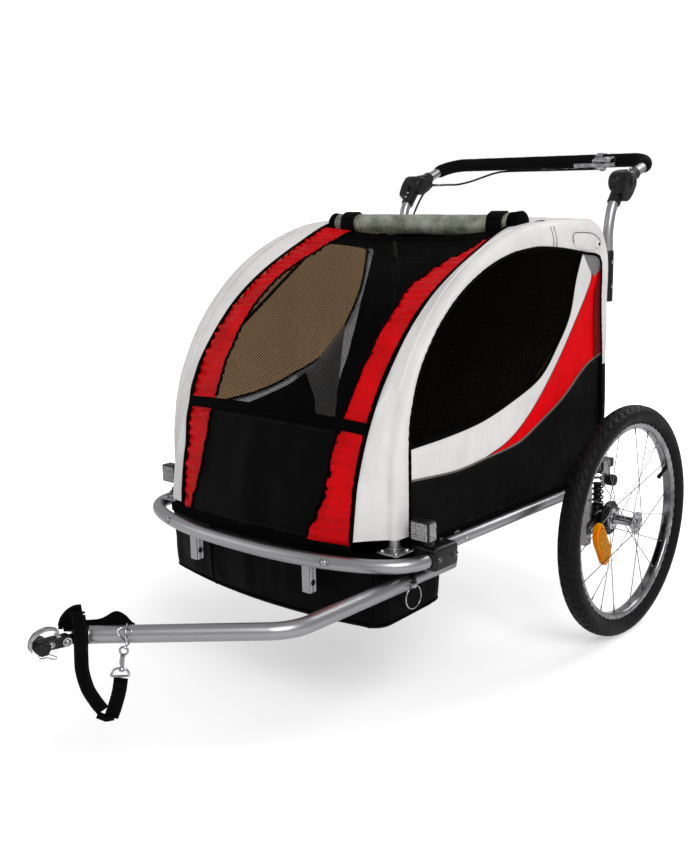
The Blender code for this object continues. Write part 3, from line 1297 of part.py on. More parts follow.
def make_cables():
    """Brake cable: one run on the handle, one down the far upright to the wheel bracket."""
    under = -(GRIP_R + 3 * GAP + CABLE_R)
    side = LEVER_X - 0.009 - GAP
    upper = [handle_place(side, HANDLE_LEN, under), handle_place(0.020, HANDLE_LEN, under),
             handle_place(-0.090, HANDLE_LEN, under), handle_place(-0.150, HANDLE_LEN - 0.003, under),
             handle_place(-0.177, HANDLE_LEN - 0.022, under), handle_place(-0.193, 0.0984, -0.0150),
             handle_place(-0.201, 0.0560, -0.0120), handle_place(-0.203, 0.0180, -0.0040),
             Vector((-0.2075, PIVOT_Y + 0.0008, PIVOT_Z)),
             Vector((CABLE_MEET_X + GAP / 2, PIVOT_Y, PIVOT_Z))]
    run = smooth_route(upper, 3)
    run[-2] = Vector((CABLE_MEET_X + 0.003, PIVOT_Y, PIVOT_Z))
    cable_up = tube("brake_cable_upper", run, CABLE_R, "black_plastic", 5)
    foot = Vector((-0.2985, REAR_Y - 0.0105, SHELF_TOP_Z))
    back = REAR_Y + 0.0060
    lower = [Vector((CABLE_MEET_X - GAP / 2, PIVOT_Y, PIVOT_Z)),
             Vector((CABLE_MEET_X - 0.0065, PIVOT_Y - 0.0008, PIVOT_Z)),
             Vector((-0.2290, PIVOT_Y - 0.0150, PIVOT_Z - 0.0080)),
             Vector((-0.2400, PIVOT_Y - 0.0330, PIVOT_Z - 0.0380)),
             Vector((-0.2520, PIVOT_Y - 0.0480, PIVOT_Z - 0.0850)),
             Vector((-0.2540, back, 0.810)), Vector((-0.2530, back, 0.740)),
             Vector((-0.2560, back, 0.660)), Vector((-0.2660, back, 0.580)),
             Vector((-0.2750, back, 0.500)), Vector((-0.2860, back, 0.440)),
             Vector((foot.x, back - 0.0040, 0.402)), Vector((foot.x, foot.y + 0.0020, 0.384)),
             Vector((foot.x, foot.y, foot.z + GAP))]
    run = smooth_route(lower, 3)
    run[1] = Vector((CABLE_MEET_X - 0.003, PIVOT_Y, PIVOT_Z))
    cable_down = tube("brake_cable_lower", run, CABLE_R, "black_plastic", 5)
    return cable_up, cable_down


def make_roll():
    """Rain cover rolled up along the front of the roof, with its two ties."""
    roll = rod("rain_cover_roll", (-ROLL_HALF_X, ROLL_Y, ROLL_Z), (ROLL_HALF_X, ROLL_Y, ROLL_Z),
               ROLL_R - 0.0010, "clear_vinyl", 16)
    for x in (-0.165, 0.190):
        tie = rod("roll_tie", (x - 0.012, ROLL_Y, ROLL_Z), (x + 0.012, ROLL_Y, ROLL_Z), ROLL_R, sides=16)
        joined(roll, tie)
    return roll


def main():
    """Build the trailer from the ground up."""
    clear_scene()
    make_floor_frame()
    make_bumper()
    make_clamps()
    make_arches()
    make_front_reflectors()
    for side, sign in (("left", 1), ("right", -1)):
        tyre, rim, hub, reflector = make_wheel(side, sign)
        bracket = make_bracket(side, sign)
        arm = make_swing_arm(side, sign)
        make_spring(side, sign)
        at_pivot = pivot("arm_pivot_" + side, (sign * RAIL_X, POST_Y, ARM_PIVOT_Z), [arm])
        pivot("wheel_axis_" + side, (sign * WHEEL_X, 0.0, WHEEL_Z), [tyre, rim, hub, reflector], at_pivot)
    make_tow_bar()
    pin, ring, eye = make_receiver_pin()
    slide = pivot("pin_slide", (TOW_X, PIN_Y, TOW_Z), [pin])
    pivot("ring_hinge", eye, [ring], slide)
    coupler, head, jaw, knob, clip, bolt, barrel, jaw_pin, ahead, aside = make_hitch()
    at_bolt = pivot("hitch_bolt", bolt, [head, clip])
    pivot("jaw_hinge", jaw_pin, [jaw], at_bolt)
    pivot("knob_axis", barrel, [knob], at_bolt)
    make_strap()
    bar, grip = make_handle()
    moving = [bar, grip]
    buttons = []
    for side, sign in (("left", 1), ("right", -1)):
        base, arm, button = make_pivot(side, sign)
        moving.append(arm)
        buttons.append((side, sign, button))
        make_upright(side, sign)
    perch, lever, hinge, up = make_hand_brake()
    cable_up, cable_down = make_cables()
    handle_axis = pivot("handle_axis", (0.0, PIVOT_Y, PIVOT_Z), moving + [perch, cable_up])
    pivot("lever_hinge", hinge, [lever], handle_axis)
    for side, sign, button in buttons:
        pivot("button_slide_" + side, (sign * HANDLE_X, PIVOT_Y, PIVOT_Z), [button])
    make_canopy()
    make_front_cover()
    make_sides()
    make_rear_panel()
    make_bag()
    make_seat()
    make_roll()
    for obj in bpy.data.objects:
        if obj.parent is None:
            obj.location.y += CENTRE_SHIFT
    print("lever hinge", [round(v, 4) for v in hinge], "axis", [round(v, 4) for v in up])
    print("hitch bolt", [round(v, 4) for v in bolt], "barrel", [round(v, 4) for v in barrel],
          "jaw", [round(v, 4) for v in jaw_pin], "aside", [round(v, 4) for v in aside], "ahead", [round(v, 4) for v in ahead])
    print("ring eye", [round(v, 4) for v in eye])


main()
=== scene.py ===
"""Child bike trailer, dressed: cloth, tubes, wheels, hitch and handle built round its solids.

Metres, +Z up, -Y the way it is towed, +X the trailer's left. Every size below is taken from the
point on the ground under the axle; SHIFT moves it to the middle of the whole trailer.
"""
import logging
import math
from dataclasses import dataclass
from enum import Enum
from functools import lru_cache
from typing import Callable, Iterable, Optional, Sequence

import bmesh
import bpy
from mathutils import Matrix, Vector, kdtree, noise


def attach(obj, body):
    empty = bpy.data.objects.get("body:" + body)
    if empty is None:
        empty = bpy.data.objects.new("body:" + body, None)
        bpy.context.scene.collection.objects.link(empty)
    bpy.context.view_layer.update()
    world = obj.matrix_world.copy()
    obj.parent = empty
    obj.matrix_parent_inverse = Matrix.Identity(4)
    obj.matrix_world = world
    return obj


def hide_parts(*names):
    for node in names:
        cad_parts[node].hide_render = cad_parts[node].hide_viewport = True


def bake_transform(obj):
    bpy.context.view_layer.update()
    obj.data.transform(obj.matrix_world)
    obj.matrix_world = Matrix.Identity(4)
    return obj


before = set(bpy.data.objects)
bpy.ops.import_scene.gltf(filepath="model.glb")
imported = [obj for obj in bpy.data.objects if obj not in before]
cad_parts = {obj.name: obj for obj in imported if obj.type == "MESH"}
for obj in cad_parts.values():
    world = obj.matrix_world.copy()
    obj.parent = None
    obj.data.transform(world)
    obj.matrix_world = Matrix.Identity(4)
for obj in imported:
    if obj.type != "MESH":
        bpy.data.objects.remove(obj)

LOG = logging.getLogger("trailer")
SHIFT = Vector((0.0, 0.4916, 0.0))
UP = Vector((0.0, 0.0, 1.0))
BACK = Vector((0.0, 1.0, 0.0))
LEFT = Vector((1.0, 0.0, 0.0))
SIDES = (("left", 1), ("right", -1))
AXLE_Z = 0.2472
Flat = tuple[float, float]
Outline = Sequence[Flat]
Route = Sequence[Vector]


# Curves and small maths


def smooth_route(points: Iterable[Sequence[float]], per_span: int) -> list[Vector]:
    """Run a smooth curve through a route's own points.

    Args:
        points: the places it passes, two or three numbers each.
        per_span: how many steps to take between two places.

    Returns:
        The finer route, with the first and last place kept.
    """
    knots = [Vector((*p, 0.0)) if len(p) == 2 else Vector(p) for p in points]
    padded = [2 * knots[0] - knots[1]] + knots + [2 * knots[-1] - knots[-2]]
    route = []
    for a, b, c, d in zip(padded, padded[1:], padded[2:], padded[3:]):
        for k in range(per_span):
            t = k / per_span
            route.append(0.5 * (2 * b + (c - a) * t + (2 * a - 5 * b + 4 * c - d) * t * t
                                + (3 * b - a - 3 * c + d) * t ** 3))
    return route + [knots[-1]]


def evenly(route: Route, count: int) -> list[Vector]:
    """Put points at even distances along a route.

    Args:
        route: the places that it runs through.
        count: how many steps it is cut into.

    Returns:
        count + 1 places, with both ends kept.
    """
    marks = [0.0]
    for a, b in zip(route, route[1:]):
        marks.append(marks[-1] + (b - a).length)
    places, k = [], 0
    for step in range(count + 1):
        want = marks[-1] * step / count
        while k < len(marks) - 2 and marks[k + 1] < want:
            k += 1
        span = max(marks[k + 1] - marks[k], 1e-9)
        places.append(route[k].lerp(route[k + 1], min(1.0, (want - marks[k]) / span)))
    return places


def eased(share: float) -> float:
    """A share from 0 to 1 that starts and ends gently."""
    share = max(0.0, min(1.0, share))
    return share * share * (3.0 - 2.0 * share)


def between(knots: Sequence[Flat], place: float) -> float:
    """Read a value off a gentle curve through knots.

    Args:
        knots: (place, value) pairs with rising places.
        place: where to read it.

    Returns:
        The value there; past the last knot, the last value.
    """
    for (low, one), (high, two) in zip(knots, knots[1:]):
        if place <= high:
            return one + (two - one) * eased((place - low) / (high - low))
    return knots[-1][1]


def length_of(route: Route) -> float:
    """Length of a route."""
    return sum((b - a).length for a, b in zip(route, route[1:]))


def arc(centre: Flat, radii: Flat, start: float, end: float, steps: int) -> list[Flat]:
    """Points on an ellipse between two angles in degrees."""
    turns = [math.radians(start + (end - start) * k / steps) for k in range(steps + 1)]
    return [(centre[0] + radii[0] * math.cos(t), centre[1] + radii[1] * math.sin(t)) for t in turns]


def cloud(place: Vector, size: float, seed: float = 0.0) -> float:
    """Smooth unevenness from -1 to 1 with lumps of about one size."""
    return noise.noise(place / size + Vector((seed, seed * 0.7, -seed)))


def sideways(sign: int) -> Vector:
    """The way out of the trailer on one side."""
    return Vector((sign, 0.0, 0.0))


# Finishes


class Grain(Enum):
    """What a finish looks like close up."""

    WEAVE = "woven threads"
    CORDED = "ribbed webbing"
    MOULDED = "moulded plastic"
    DRAWN = "drawn metal"
    FOAM = "closed-cell foam"
    PRISM = "pressed prisms"
    FILM = "smooth film"


class Shader:
    """Adds and joins the nodes of one material."""

    def __init__(self, name: str) -> None:
        """Start a material.

        Args:
            name: what the material is called.
        """
        self.material = bpy.data.materials.new(name)
        self.material.use_nodes = True
        self.tree = self.material.node_tree
        self.main = self.tree.nodes["Principled BSDF"]
        self.place = self.add("TexCoord").outputs["Object"]

    def add(self, kind: str, **settings: object) -> bpy.types.Node:
        """Add a node.

        Args:
            kind: the node's type, without its first word.
            **settings: its properties, or its inputs by name or number (i0, i1 ...).

        Returns:
            The node.
        """
        node = self.tree.nodes.new("ShaderNode" + kind)
        inputs = {}
        for key, value in settings.items():
            if hasattr(node, key):
                setattr(node, key, value)
            else:
                inputs[int(key[1:]) if key[0] == "i" and key[1:].isdigit() else key] = value
        for key, value in inputs.items():
            if isinstance(value, bpy.types.NodeSocket):
                self.tree.links.new(value, node.inputs[key])
            else:
                node.inputs[key].default_value = value
        return node

    def math(self, operation: str, *values: object) -> bpy.types.NodeSocket:
        """One sum of up to three values."""
        node = self.add("Math", operation=operation, **{f"i{k}": v for k, v in enumerate(values)})
        return node.outputs[0]

    def stretched(self, scale: Sequence[float], source: object = None) -> bpy.types.NodeSocket:
        """Coordinates multiplied side by side."""
        node = self.add("VectorMath", operation="MULTIPLY", i0=source or self.place, i1=tuple(scale))
        return node.outputs[0]

    def noise(self, size: float, detail: float = 2.0, stretch: Sequence[float] = (1, 1, 1),
              warp: float = 0.0) -> bpy.types.NodeSocket:
        """Cloudy noise with lumps of one size in metres.

        Args:
            size: how far apart the lumps lie.
            detail: how many finer layers they carry.
            stretch: multiplies each direction first.
            warp: how far the lumps are pulled about.

        Returns:
            The noise, from 0 to 1.
        """
        node = self.add("TexNoise", Vector=self.stretched(stretch), Scale=1.0 / size, Detail=detail,
                        Distortion=warp)
        return node.outputs[0]

    def lattice(self, pitch: float) -> bpy.types.NodeSocket:
        """A regular up and down pattern that crosses itself on any face.

        Args:
            pitch: distance from one high place to the next.

        Returns:
            The pattern, from -1 to 1.
        """
        turned = self.stretched([math.tau / pitch] * 3)
        waves = self.add("VectorMath", operation="SINE", i0=turned).outputs[0]
        parts = self.add("SeparateXYZ", i0=waves).outputs
        xy, yz = self.math("MULTIPLY", parts[0], parts[1]), self.math("MULTIPLY", parts[1], parts[2])
        return self.math("ADD", self.math("ADD", xy, yz), self.math("MULTIPLY", parts[2], parts[0]))

    def blend(self, share: object, first: object, second: object) -> bpy.types.NodeSocket:
        """Mix two colours."""
        node = self.add("Mix", data_type="RGBA", i0=share, i6=first, i7=second)
        return node.outputs[2]

    def span(self, value: object, low: float, high: float, to_low: float, to_high: float
             ) -> bpy.types.NodeSocket:
        """Map one range to another and clamp it."""
        node = self.add("MapRange", i0=value, i1=low, i2=high, i3=to_low, i4=to_high)
        return node.outputs[0]

    def put(self, socket: str, value: object) -> None:
        """Set an input of the main shader.

        Args:
            socket: the input's name.
            value: a number, a colour or another node's output.
        """
        if isinstance(value, bpy.types.NodeSocket):
            self.tree.links.new(value, self.main.inputs[socket])
        else:
            self.main.inputs[socket].default_value = value

    def relief(self, *heights: tuple[object, float]) -> None:
        """Bump the surface by a sum of patterns.

        Args:
            *heights: each pattern with its depth in metres.
        """
        total = None
        for pattern, depth in heights:
            part = self.math("MULTIPLY", pattern, depth)
            total = part if total is None else self.math("ADD", total, part)
        self.put("Normal", self.add("Bump", Height=total, Distance=1.0).outputs[0])


def srgb(red: float, green: float, blue: float) -> tuple[float, float, float, float]:
    """A colour given as it looks on screen, 0 to 255, as the shader wants it."""
    parts = [v / 255.0 for v in (red, green, blue)]
    return tuple([v / 12.92 if v <= 0.04045 else ((v + 0.055) / 1.055) ** 2.4 for v in parts] + [1.0])


@dataclass(frozen=True)
class Finish:
    """One finish: colours, gloss and the relief that goes with its grain."""

    name: str
    colour: tuple
    shade: tuple
    roughness: float
    grain: Grain
    size: float
    depth: float
    metallic: float = 0.0
    uneven: float = 0.06
    crease: float = 0.0
    crease_size: float = 0.06
    sheen: float = 0.0
    coat: float = 0.0
    clouds: float = 0.12
    shine: float = 0.5

    def material(self) -> bpy.types.Material:
        """Make the material the first time that it is asked for.

        Returns:
            The finish as a material.
        """
        title = self.name + "_finish"
        known = bpy.data.materials.get(title)
        if known is not None:
            return known
        shader = Shader(title)
        shader.put("Metallic", self.metallic)
        shader.put("Sheen Weight", self.sheen)
        shader.put("Sheen Roughness", 0.45)
        shader.put("Specular IOR Level", self.shine)
        shader.put("Coat Weight", self.coat)
        shader.put("Coat Roughness", 0.15)
        self.dress(shader)
        return shader.material

    def dress(self, shader: Shader) -> None:
        """Add colour variation, painted shade in the weave's hollows, uneven gloss and relief.

        Args:
            shader: the material's nodes.
        """
        patches = shader.noise(self.clouds, 4.0)
        tone = shader.blend(shader.span(patches, 0.32, 0.68, 0.0, 1.0), self.colour, self.shade)
        gloss = shader.noise(self.clouds * 0.35, 5.0, warp=0.6)
        height = self.pattern(shader)
        if self.grain in (Grain.WEAVE, Grain.CORDED):
            # Painted shade: the low places between the threads are darkened, as shade would fall there.
            dark = tuple(v * 0.72 for v in self.colour[:3]) + (1.0,)
            tone = shader.blend(shader.span(height, -0.9, -0.2, 0.14, 0.0), tone, dark)
        elif self.grain is Grain.MOULDED:
            edge = shader.add("NewGeometry").outputs["Pointiness"]
            scuffs = shader.math("MULTIPLY", shader.span(edge, 0.53, 0.60, 0.0, 0.55),
                                 shader.span(shader.noise(0.012, 6.0), 0.45, 0.62, 0.0, 1.0))
            pale = tuple(min(1.0, v * 1.6 + 0.012) for v in self.colour[:3]) + (1.0,)
            tone = shader.blend(scuffs, tone, pale)
        shader.put("Base Color", tone)
        shader.put("Roughness", shader.span(gloss, 0.3, 0.7, max(0.02, self.roughness - self.uneven),
                                            self.roughness + self.uneven))
        reliefs = [(height, self.depth)]
        if self.crease:
            folds = shader.noise(self.crease_size, 2.5, (1.0, 1.0, 0.55), warp=0.8)
            sharp = shader.math("ABSOLUTE", shader.math("SUBTRACT", shader.noise(
                self.crease_size * 1.1, 1.0, (1.0, 0.7, 1.0), warp=0.6), 0.5))
            reliefs += [(folds, self.crease), (sharp, self.crease * 0.5)]
        shader.relief(*reliefs)

    def pattern(self, shader: Shader) -> bpy.types.NodeSocket:
        """Draw the grain.

        Args:
            shader: the material's nodes.

        Returns:
            The height of the grain, about -1 to 1.
        """
        if self.grain in (Grain.WEAVE, Grain.CORDED, Grain.PRISM):
            return shader.lattice(self.size)
        if self.grain is Grain.FOAM:
            cells = shader.add("TexVoronoi", Vector=shader.place, Scale=1.0 / self.size)
            return shader.math("MULTIPLY", cells.outputs["Distance"], -1.0)
        if self.grain is Grain.DRAWN:
            return shader.noise(self.size, 3.0, (1.0, 0.12, 1.0))
        return shader.noise(self.size, 3.0)


@dataclass(frozen=True)
class Film(Finish):
    """Clear or tinted plastic film that light passes."""

    passes: float = 1.0
    bends: float = 1.2

    def dress(self, shader: Shader) -> None:
        """Add tint, haze and slow waves to the film.

        Args:
            shader: the material's nodes.
        """
        super().dress(shader)
        shader.put("Transmission Weight", self.passes)
        shader.put("IOR", self.bends)


@dataclass(frozen=True)
class Sheer(Finish):
    """Pale cloth or thin plastic that lets daylight glow through."""

    through: float = 0.9

    def dress(self, shader: Shader) -> None:
        """Add light carried inside the material.

        Args:
            shader: the material's nodes.
        """
        super().dress(shader)
        shader.put("Subsurface Weight", self.through)
        shader.put("Subsurface Radius", (1.0, 1.0, 1.0))
        shader.put("Subsurface Scale", 0.012)


@dataclass(frozen=True)
class Net(Finish):
    """Knitted mesh with open holes, laid out along the cloth's own two directions."""

    pitch: float = 0.0042
    open_at: float = -0.15

    def dress(self, shader: Shader) -> None:
        """Add threads round rows of staggered holes.

        Args:
            shader: the material's nodes.
        """
        super().dress(shader)
        flat = shader.add("TexCoord").outputs["UV"]
        total = None
        for u, v in ((1.0, 0.0), (0.5, 0.8660), (0.5, -0.8660)):
            turned = shader.add("VectorMath", operation="DOT_PRODUCT", i0=flat, i1=(u, v, 0.0))
            wave = shader.math("COSINE", shader.math("MULTIPLY", turned.outputs["Value"],
                                                     math.tau / self.pitch))
            total = wave if total is None else shader.math("ADD", total, wave)
        shader.put("Alpha", shader.span(total, self.open_at - 0.25, self.open_at + 0.25, 1.0, 0.0))


class Looks:
    """Every finish of the trailer."""

    WHITE = Finish("white_cloth", srgb(239, 237, 236), srgb(224, 221, 221), 0.60, Grain.WEAVE, 0.0011,
                   0.00003, crease=0.0085, crease_size=0.070, sheen=0.05, clouds=0.11, shine=0.3)
    SHEER = Sheer("white_inside", srgb(236, 236, 244), srgb(226, 226, 236), 0.60, Grain.WEAVE, 0.0011,
                  0.00004, crease=0.0030, crease_size=0.065, shine=0.1)
    RED = Finish("red_cloth", srgb(240, 0, 14), srgb(220, 0, 10), 0.46, Grain.WEAVE, 0.0011, 0.00003,
                 crease=0.0055, crease_size=0.045, clouds=0.10, shine=0.03)
    # Painted shade: the stripes take a darker copy of the side red, standing for the shade in their gathers.
    GATHERED_SHADED_RED = Finish("gathered_red_shaded", srgb(218, 2, 12), srgb(186, 0, 8), 0.42, Grain.WEAVE, 0.0011, 0.00003,
                      crease=0.0060, crease_size=0.038, clouds=0.060, shine=0.10)
    # Painted shade: a darker red laid along the rear piping, standing for the shadow in the fold there.
    FOLD_SHADE_RED = Finish("red_fold_painted_shade", srgb(128, 0, 8), srgb(100, 0, 6), 0.5, Grain.WEAVE, 0.0011, 0.00003,
                      crease=0.0040, crease_size=0.03, shine=0.05)
    BLACK = Finish("black_cloth", srgb(6, 6, 6), srgb(3, 3, 4), 0.52, Grain.WEAVE, 0.0012, 0.00006,
                   crease=0.0060, crease_size=0.085, shine=0.05)
    LINING = Finish("dark_lining", srgb(4, 4, 4), srgb(2, 2, 2), 0.85, Grain.WEAVE, 0.0014, 0.00008,
                    crease=0.002, shine=0.02)
    BINDING = Finish("black_binding", srgb(5, 5, 5), srgb(3, 3, 3), 0.75, Grain.CORDED, 0.0016,
                     0.00012, shine=0.03)
    PIPING = Finish("grey_piping", srgb(112, 102, 98), srgb(88, 80, 78), 0.55, Grain.CORDED, 0.0015,
                    0.0001)
    THREAD = Finish("dark_thread", srgb(18, 17, 17), srgb(10, 10, 10), 0.7, Grain.CORDED, 0.0006, 0.00006)
    GREY = Finish("grey_reflective", srgb(128, 128, 130), srgb(110, 110, 112), 0.4, Grain.WEAVE, 0.0012,
                  0.00005)
    NET = Net("black_mesh", srgb(10, 10, 10), srgb(6, 6, 6), 0.7, Grain.MOULDED, 0.001, 0.00003,
              shine=0.05)
    TINT = Film("tinted_window", srgb(124, 100, 74), srgb(116, 94, 69), 0.06, Grain.FILM, 0.05, 0.0012,
                uneven=0.02, shine=0.08, bends=1.055)
    VINYL = Film("clear_vinyl", srgb(226, 228, 216), srgb(168, 174, 150), 0.13, Grain.FILM, 0.009, 0.0022,
                 uneven=0.08, passes=0.72, clouds=0.03, bends=1.42)
    FROST = Finish("vinyl_core", srgb(150, 152, 140), srgb(96, 98, 88), 0.25, Grain.FILM, 0.006, 0.0009,
                   uneven=0.1, clouds=0.02)
    SILVER = Finish("silver_tube", srgb(184, 184, 186), srgb(166, 166, 169), 0.34, Grain.DRAWN, 0.0016,
                    0.000001, metallic=1.0, uneven=0.03, clouds=0.35)
    CHROME = Finish("chrome", srgb(205, 205, 208), srgb(150, 150, 154), 0.13, Grain.DRAWN, 0.002, 0.000003,
                    metallic=1.0, uneven=0.04, clouds=0.012)
    # Painted reflection: the dark patches of the rim's shade colour stand for the contrast of reflections in
    # the polished rim.
    RIM = Finish("rim_alloy", srgb(182, 182, 184), srgb(112, 112, 115), 0.17, Grain.DRAWN, 0.002, 0.000002,
                 metallic=1.0, uneven=0.05, clouds=0.045)
    SPOKE = Finish("spoke_steel", srgb(132, 132, 134), srgb(92, 92, 94), 0.22, Grain.DRAWN, 0.001,
                   0.000002, metallic=1.0, uneven=0.04, clouds=0.03)
    PLASTIC = Finish("black_plastic", srgb(13, 13, 14), srgb(8, 8, 9), 0.34, Grain.MOULDED, 0.0008,
                     0.00003, shine=0.35)
    STEEL = Finish("black_steel", srgb(15, 15, 16), srgb(9, 9, 10), 0.30, Grain.MOULDED, 0.0015, 0.00003,
                   shine=0.4, coat=0.15)
    RUBBER = Finish("rubber", srgb(19, 19, 21), srgb(12, 12, 14), 0.52, Grain.MOULDED, 0.0009, 0.00005,
                    uneven=0.10, shine=0.15)
    FOAM = Finish("foam", srgb(12, 12, 13), srgb(7, 7, 8), 0.88, Grain.FOAM, 0.0014, 0.00025, shine=0.1)
    WEBBING = Finish("webbing", srgb(6, 6, 7), srgb(4, 4, 4), 0.66, Grain.CORDED, 0.0019, 0.00018,
                     shine=0.06)
    LENS = Finish("clear_lens", srgb(190, 190, 190), srgb(120, 120, 122), 0.16, Grain.PRISM, 0.0050,
                  0.0011, coat=0.5, clouds=0.006)
    AMBER = Sheer("amber_lens", srgb(255, 156, 0), srgb(255, 116, 0), 0.30, Grain.PRISM, 0.0050,
                  0.0002, clouds=0.02, shine=0.1, through=0.7)


# Mesh making


class Forge:
    """Gathers the faces of one piece and hands it over as a finished object."""

    def __init__(self, name: str) -> None:
        """Start an empty piece.

        Args:
            name: what the finished object is called.
        """
        self.name = name
        self.points: list[Vector] = []
        self.faces: list[tuple[int, ...]] = []
        self.looks: list[int] = []
        self.flat: list[Flat] = []
        self.finishes: list[Finish] = []

    def add(self, points: Sequence[Vector], faces: Iterable[Sequence[int]], finish: Finish,
            flat: Optional[Sequence[Flat]] = None) -> None:
        """Add points and the faces between them in one finish.

        Args:
            points: places in the maker's frame.
            faces: corner numbers into those points.
            finish: what the faces are finished in.
            flat: each point's place on the unrolled cloth, in metres.
        """
        if finish not in self.finishes:
            self.finishes.append(finish)
        look, start = self.finishes.index(finish), len(self.points)
        self.points.extend(points)
        self.flat.extend(flat or [(0.0, 0.0)] * len(points))
        for face in faces:
            self.faces.append(tuple(start + k for k in face))
            self.looks.append(look)

    def absorb(self, bm: bmesh.types.BMesh, finish: Finish) -> None:
        """Take over the faces of a scratch mesh.

        Args:
            bm: the scratch mesh, freed afterwards.
            finish: what its faces are finished in.
        """
        bm.verts.index_update()
        self.add([v.co.copy() for v in bm.verts], [[v.index for v in f.verts] for f in bm.faces], finish)
        bm.free()

    def sweep(self, route: Route, shape: object, finish: Finish, up: object = None,
              loop: bool = False, sides: int = 16, taper: Optional[Callable[[float], float]] = None
              ) -> None:
        """Carry an outline along a route.

        Args:
            route: the middle line.
            shape: a radius, or an outline of (across, up) places going anticlockwise.
            finish: what it is finished in.
            up: a way, or a function of the place, that the outline's up follows; without it
                the outline doesn't twist.
            loop: joins the end to the start.
            sides: how many sides a round outline has.
            taper: scales the outline by how far along it is, 0 to 1.
        """
        outline = arc((0.0, 0.0), (shape, shape), 0, 360, sides)[:-1] if isinstance(shape, float) else shape
        route, count, size = [Vector(p) for p in route], len(route), len(outline)
        points, side = [], None
        for k, place in enumerate(route):
            before = route[k - 1] if k or loop else route[0]
            after = route[(k + 1) % count] if k < count - 1 or loop else route[-1]
            heading = (after - before).normalized()
            if up is not None:
                side = heading.cross(up(place) if callable(up) else up).normalized()
            elif side is None:
                side = heading.orthogonal().normalized()
            else:
                side = (side - heading * side.dot(heading)).normalized()
            rise = side.cross(heading)
            grow = taper(k / (count - 1)) if taper else 1.0
            points += [place + (side * a + rise * b) * grow for a, b in outline]
        faces = []
        for k in range(count if loop else count - 1):
            here, there = k * size, (k + 1) % count * size
            faces += [(here + i, here + (i + 1) % size, there + (i + 1) % size, there + i)
                      for i in range(size)]
        if not loop:
            faces += [tuple(reversed(range(size))), tuple(range((count - 1) * size, count * size))]
        self.add(points, faces, finish)

    def turn(self, profile: Outline, origin: Vector, axis: Vector, finish: Finish, steps: int = 40,
             ring: bool = False, wave: Optional[Callable[[float, float], float]] = None) -> None:
        """Turn a profile of (along, radius) places about an axis.

        Args:
            profile: the outline; its ends are closed unless it is a ring.
            origin: where along is 0.
            axis: the way along grows.
            finish: what it is finished in.
            steps: how many steps round.
            ring: joins the profile's end to its start.
            wave: adds to the radius by angle and place along.
        """
        axis = Vector(axis).normalized()
        across = axis.orthogonal().normalized()
        other, size, points = axis.cross(across), len(profile), []
        for k in range(steps):
            t = math.tau * k / steps
            spoke = across * math.cos(t) + other * math.sin(t)
            points += [Vector(origin) + axis * a + spoke * (r + (wave(t, a) if wave else 0.0))
                       for a, r in profile]
        faces = []
        for k in range(steps):
            here, there = k * size, (k + 1) % steps * size
            faces += [(here + i, here + (i + 1) % size, there + (i + 1) % size, there + i)
                      for i in range(size if ring else size - 1)]
        if not ring:
            for end in (0, size - 1):
                if profile[end][1] > 1e-6:
                    faces.append(tuple(k * size + end for k in range(steps)))
        self.add(points, faces, finish)

    def rod(self, start: Vector, end: Vector, radius: float, finish: Finish, edge: float = 0.0,
            steps: int = 24) -> None:
        """A round bar with softened ends.

        Args:
            start: middle of one end.
            end: middle of the other end.
            radius: the bar's radius.
            finish: what it is finished in.
            edge: how far the ends are softened.
            steps: how many steps round.
        """
        span, edge = (Vector(end) - Vector(start)).length, max(edge, radius * 0.06)
        self.turn([(0.0, 0.0), (0.0, radius - edge), (edge * 0.3, radius - edge * 0.3), (edge, radius),
                   (span - edge, radius), (span - edge * 0.3, radius - edge * 0.3), (span, radius - edge),
                   (span, 0.0)], start, Vector(end) - Vector(start), finish, steps)

    def block(self, centre: Sequence[float], size: Sequence[float], finish: Finish, edge: float = 0.002,
              turn: Optional[Matrix] = None, segments: int = 3) -> None:
        """A block with rounded edges.

        Args:
            centre: its middle.
            size: its three lengths.
            finish: what it is finished in.
            edge: radius of its edges.
            turn: how it is turned about its middle.
            segments: how many steps round an edge.
        """
        bm = bmesh.new()
        bmesh.ops.create_cube(bm, size=1.0, matrix=Matrix.Diagonal((*size, 1.0)))
        bmesh.ops.bevel(bm, geom=bm.edges[:], offset=min(edge, min(size) * 0.48), segments=segments,
                        profile=0.5, affect="EDGES")
        bmesh.ops.transform(bm, matrix=Matrix.Translation(centre) @ (turn or Matrix.Identity(3)).to_4x4(),
                            verts=bm.verts)
        self.absorb(bm, finish)

    def plate(self, outline: Outline, origin: Vector, across: Vector, up: Vector, thickness: float,
              finish: Finish, edge: float = 0.0) -> None:
        """A flat outline given a thickness about its middle and rounded rims.

        Args:
            outline: (across, up) places going anticlockwise.
            origin: where both are 0.
            across: the way across grows.
            up: the way up grows.
            thickness: how thick the plate is.
            finish: what it is finished in.
            edge: how far its rims are rounded.
        """
        across, up = Vector(across).normalized(), Vector(up).normalized()
        normal = across.cross(up)
        places = [Vector(origin) + across * a + up * b for a, b in outline]
        bm = bmesh.new()
        rings = [[bm.verts.new(p + normal * thickness / 2 * s) for p in places] for s in (1, -1)]
        bm.faces.new(rings[0])
        bm.faces.new(list(reversed(rings[1])))
        for k in range(len(places)):
            n = (k + 1) % len(places)
            bm.faces.new((rings[0][n], rings[0][k], rings[1][k], rings[1][n]))
        if edge:
            rims = [e for e in bm.edges if any(len(f.verts) > 4 for f in e.link_faces)]
            bmesh.ops.bevel(bm, geom=rims, offset=edge, segments=2, profile=0.5, affect="EDGES")
        self.absorb(bm, finish)

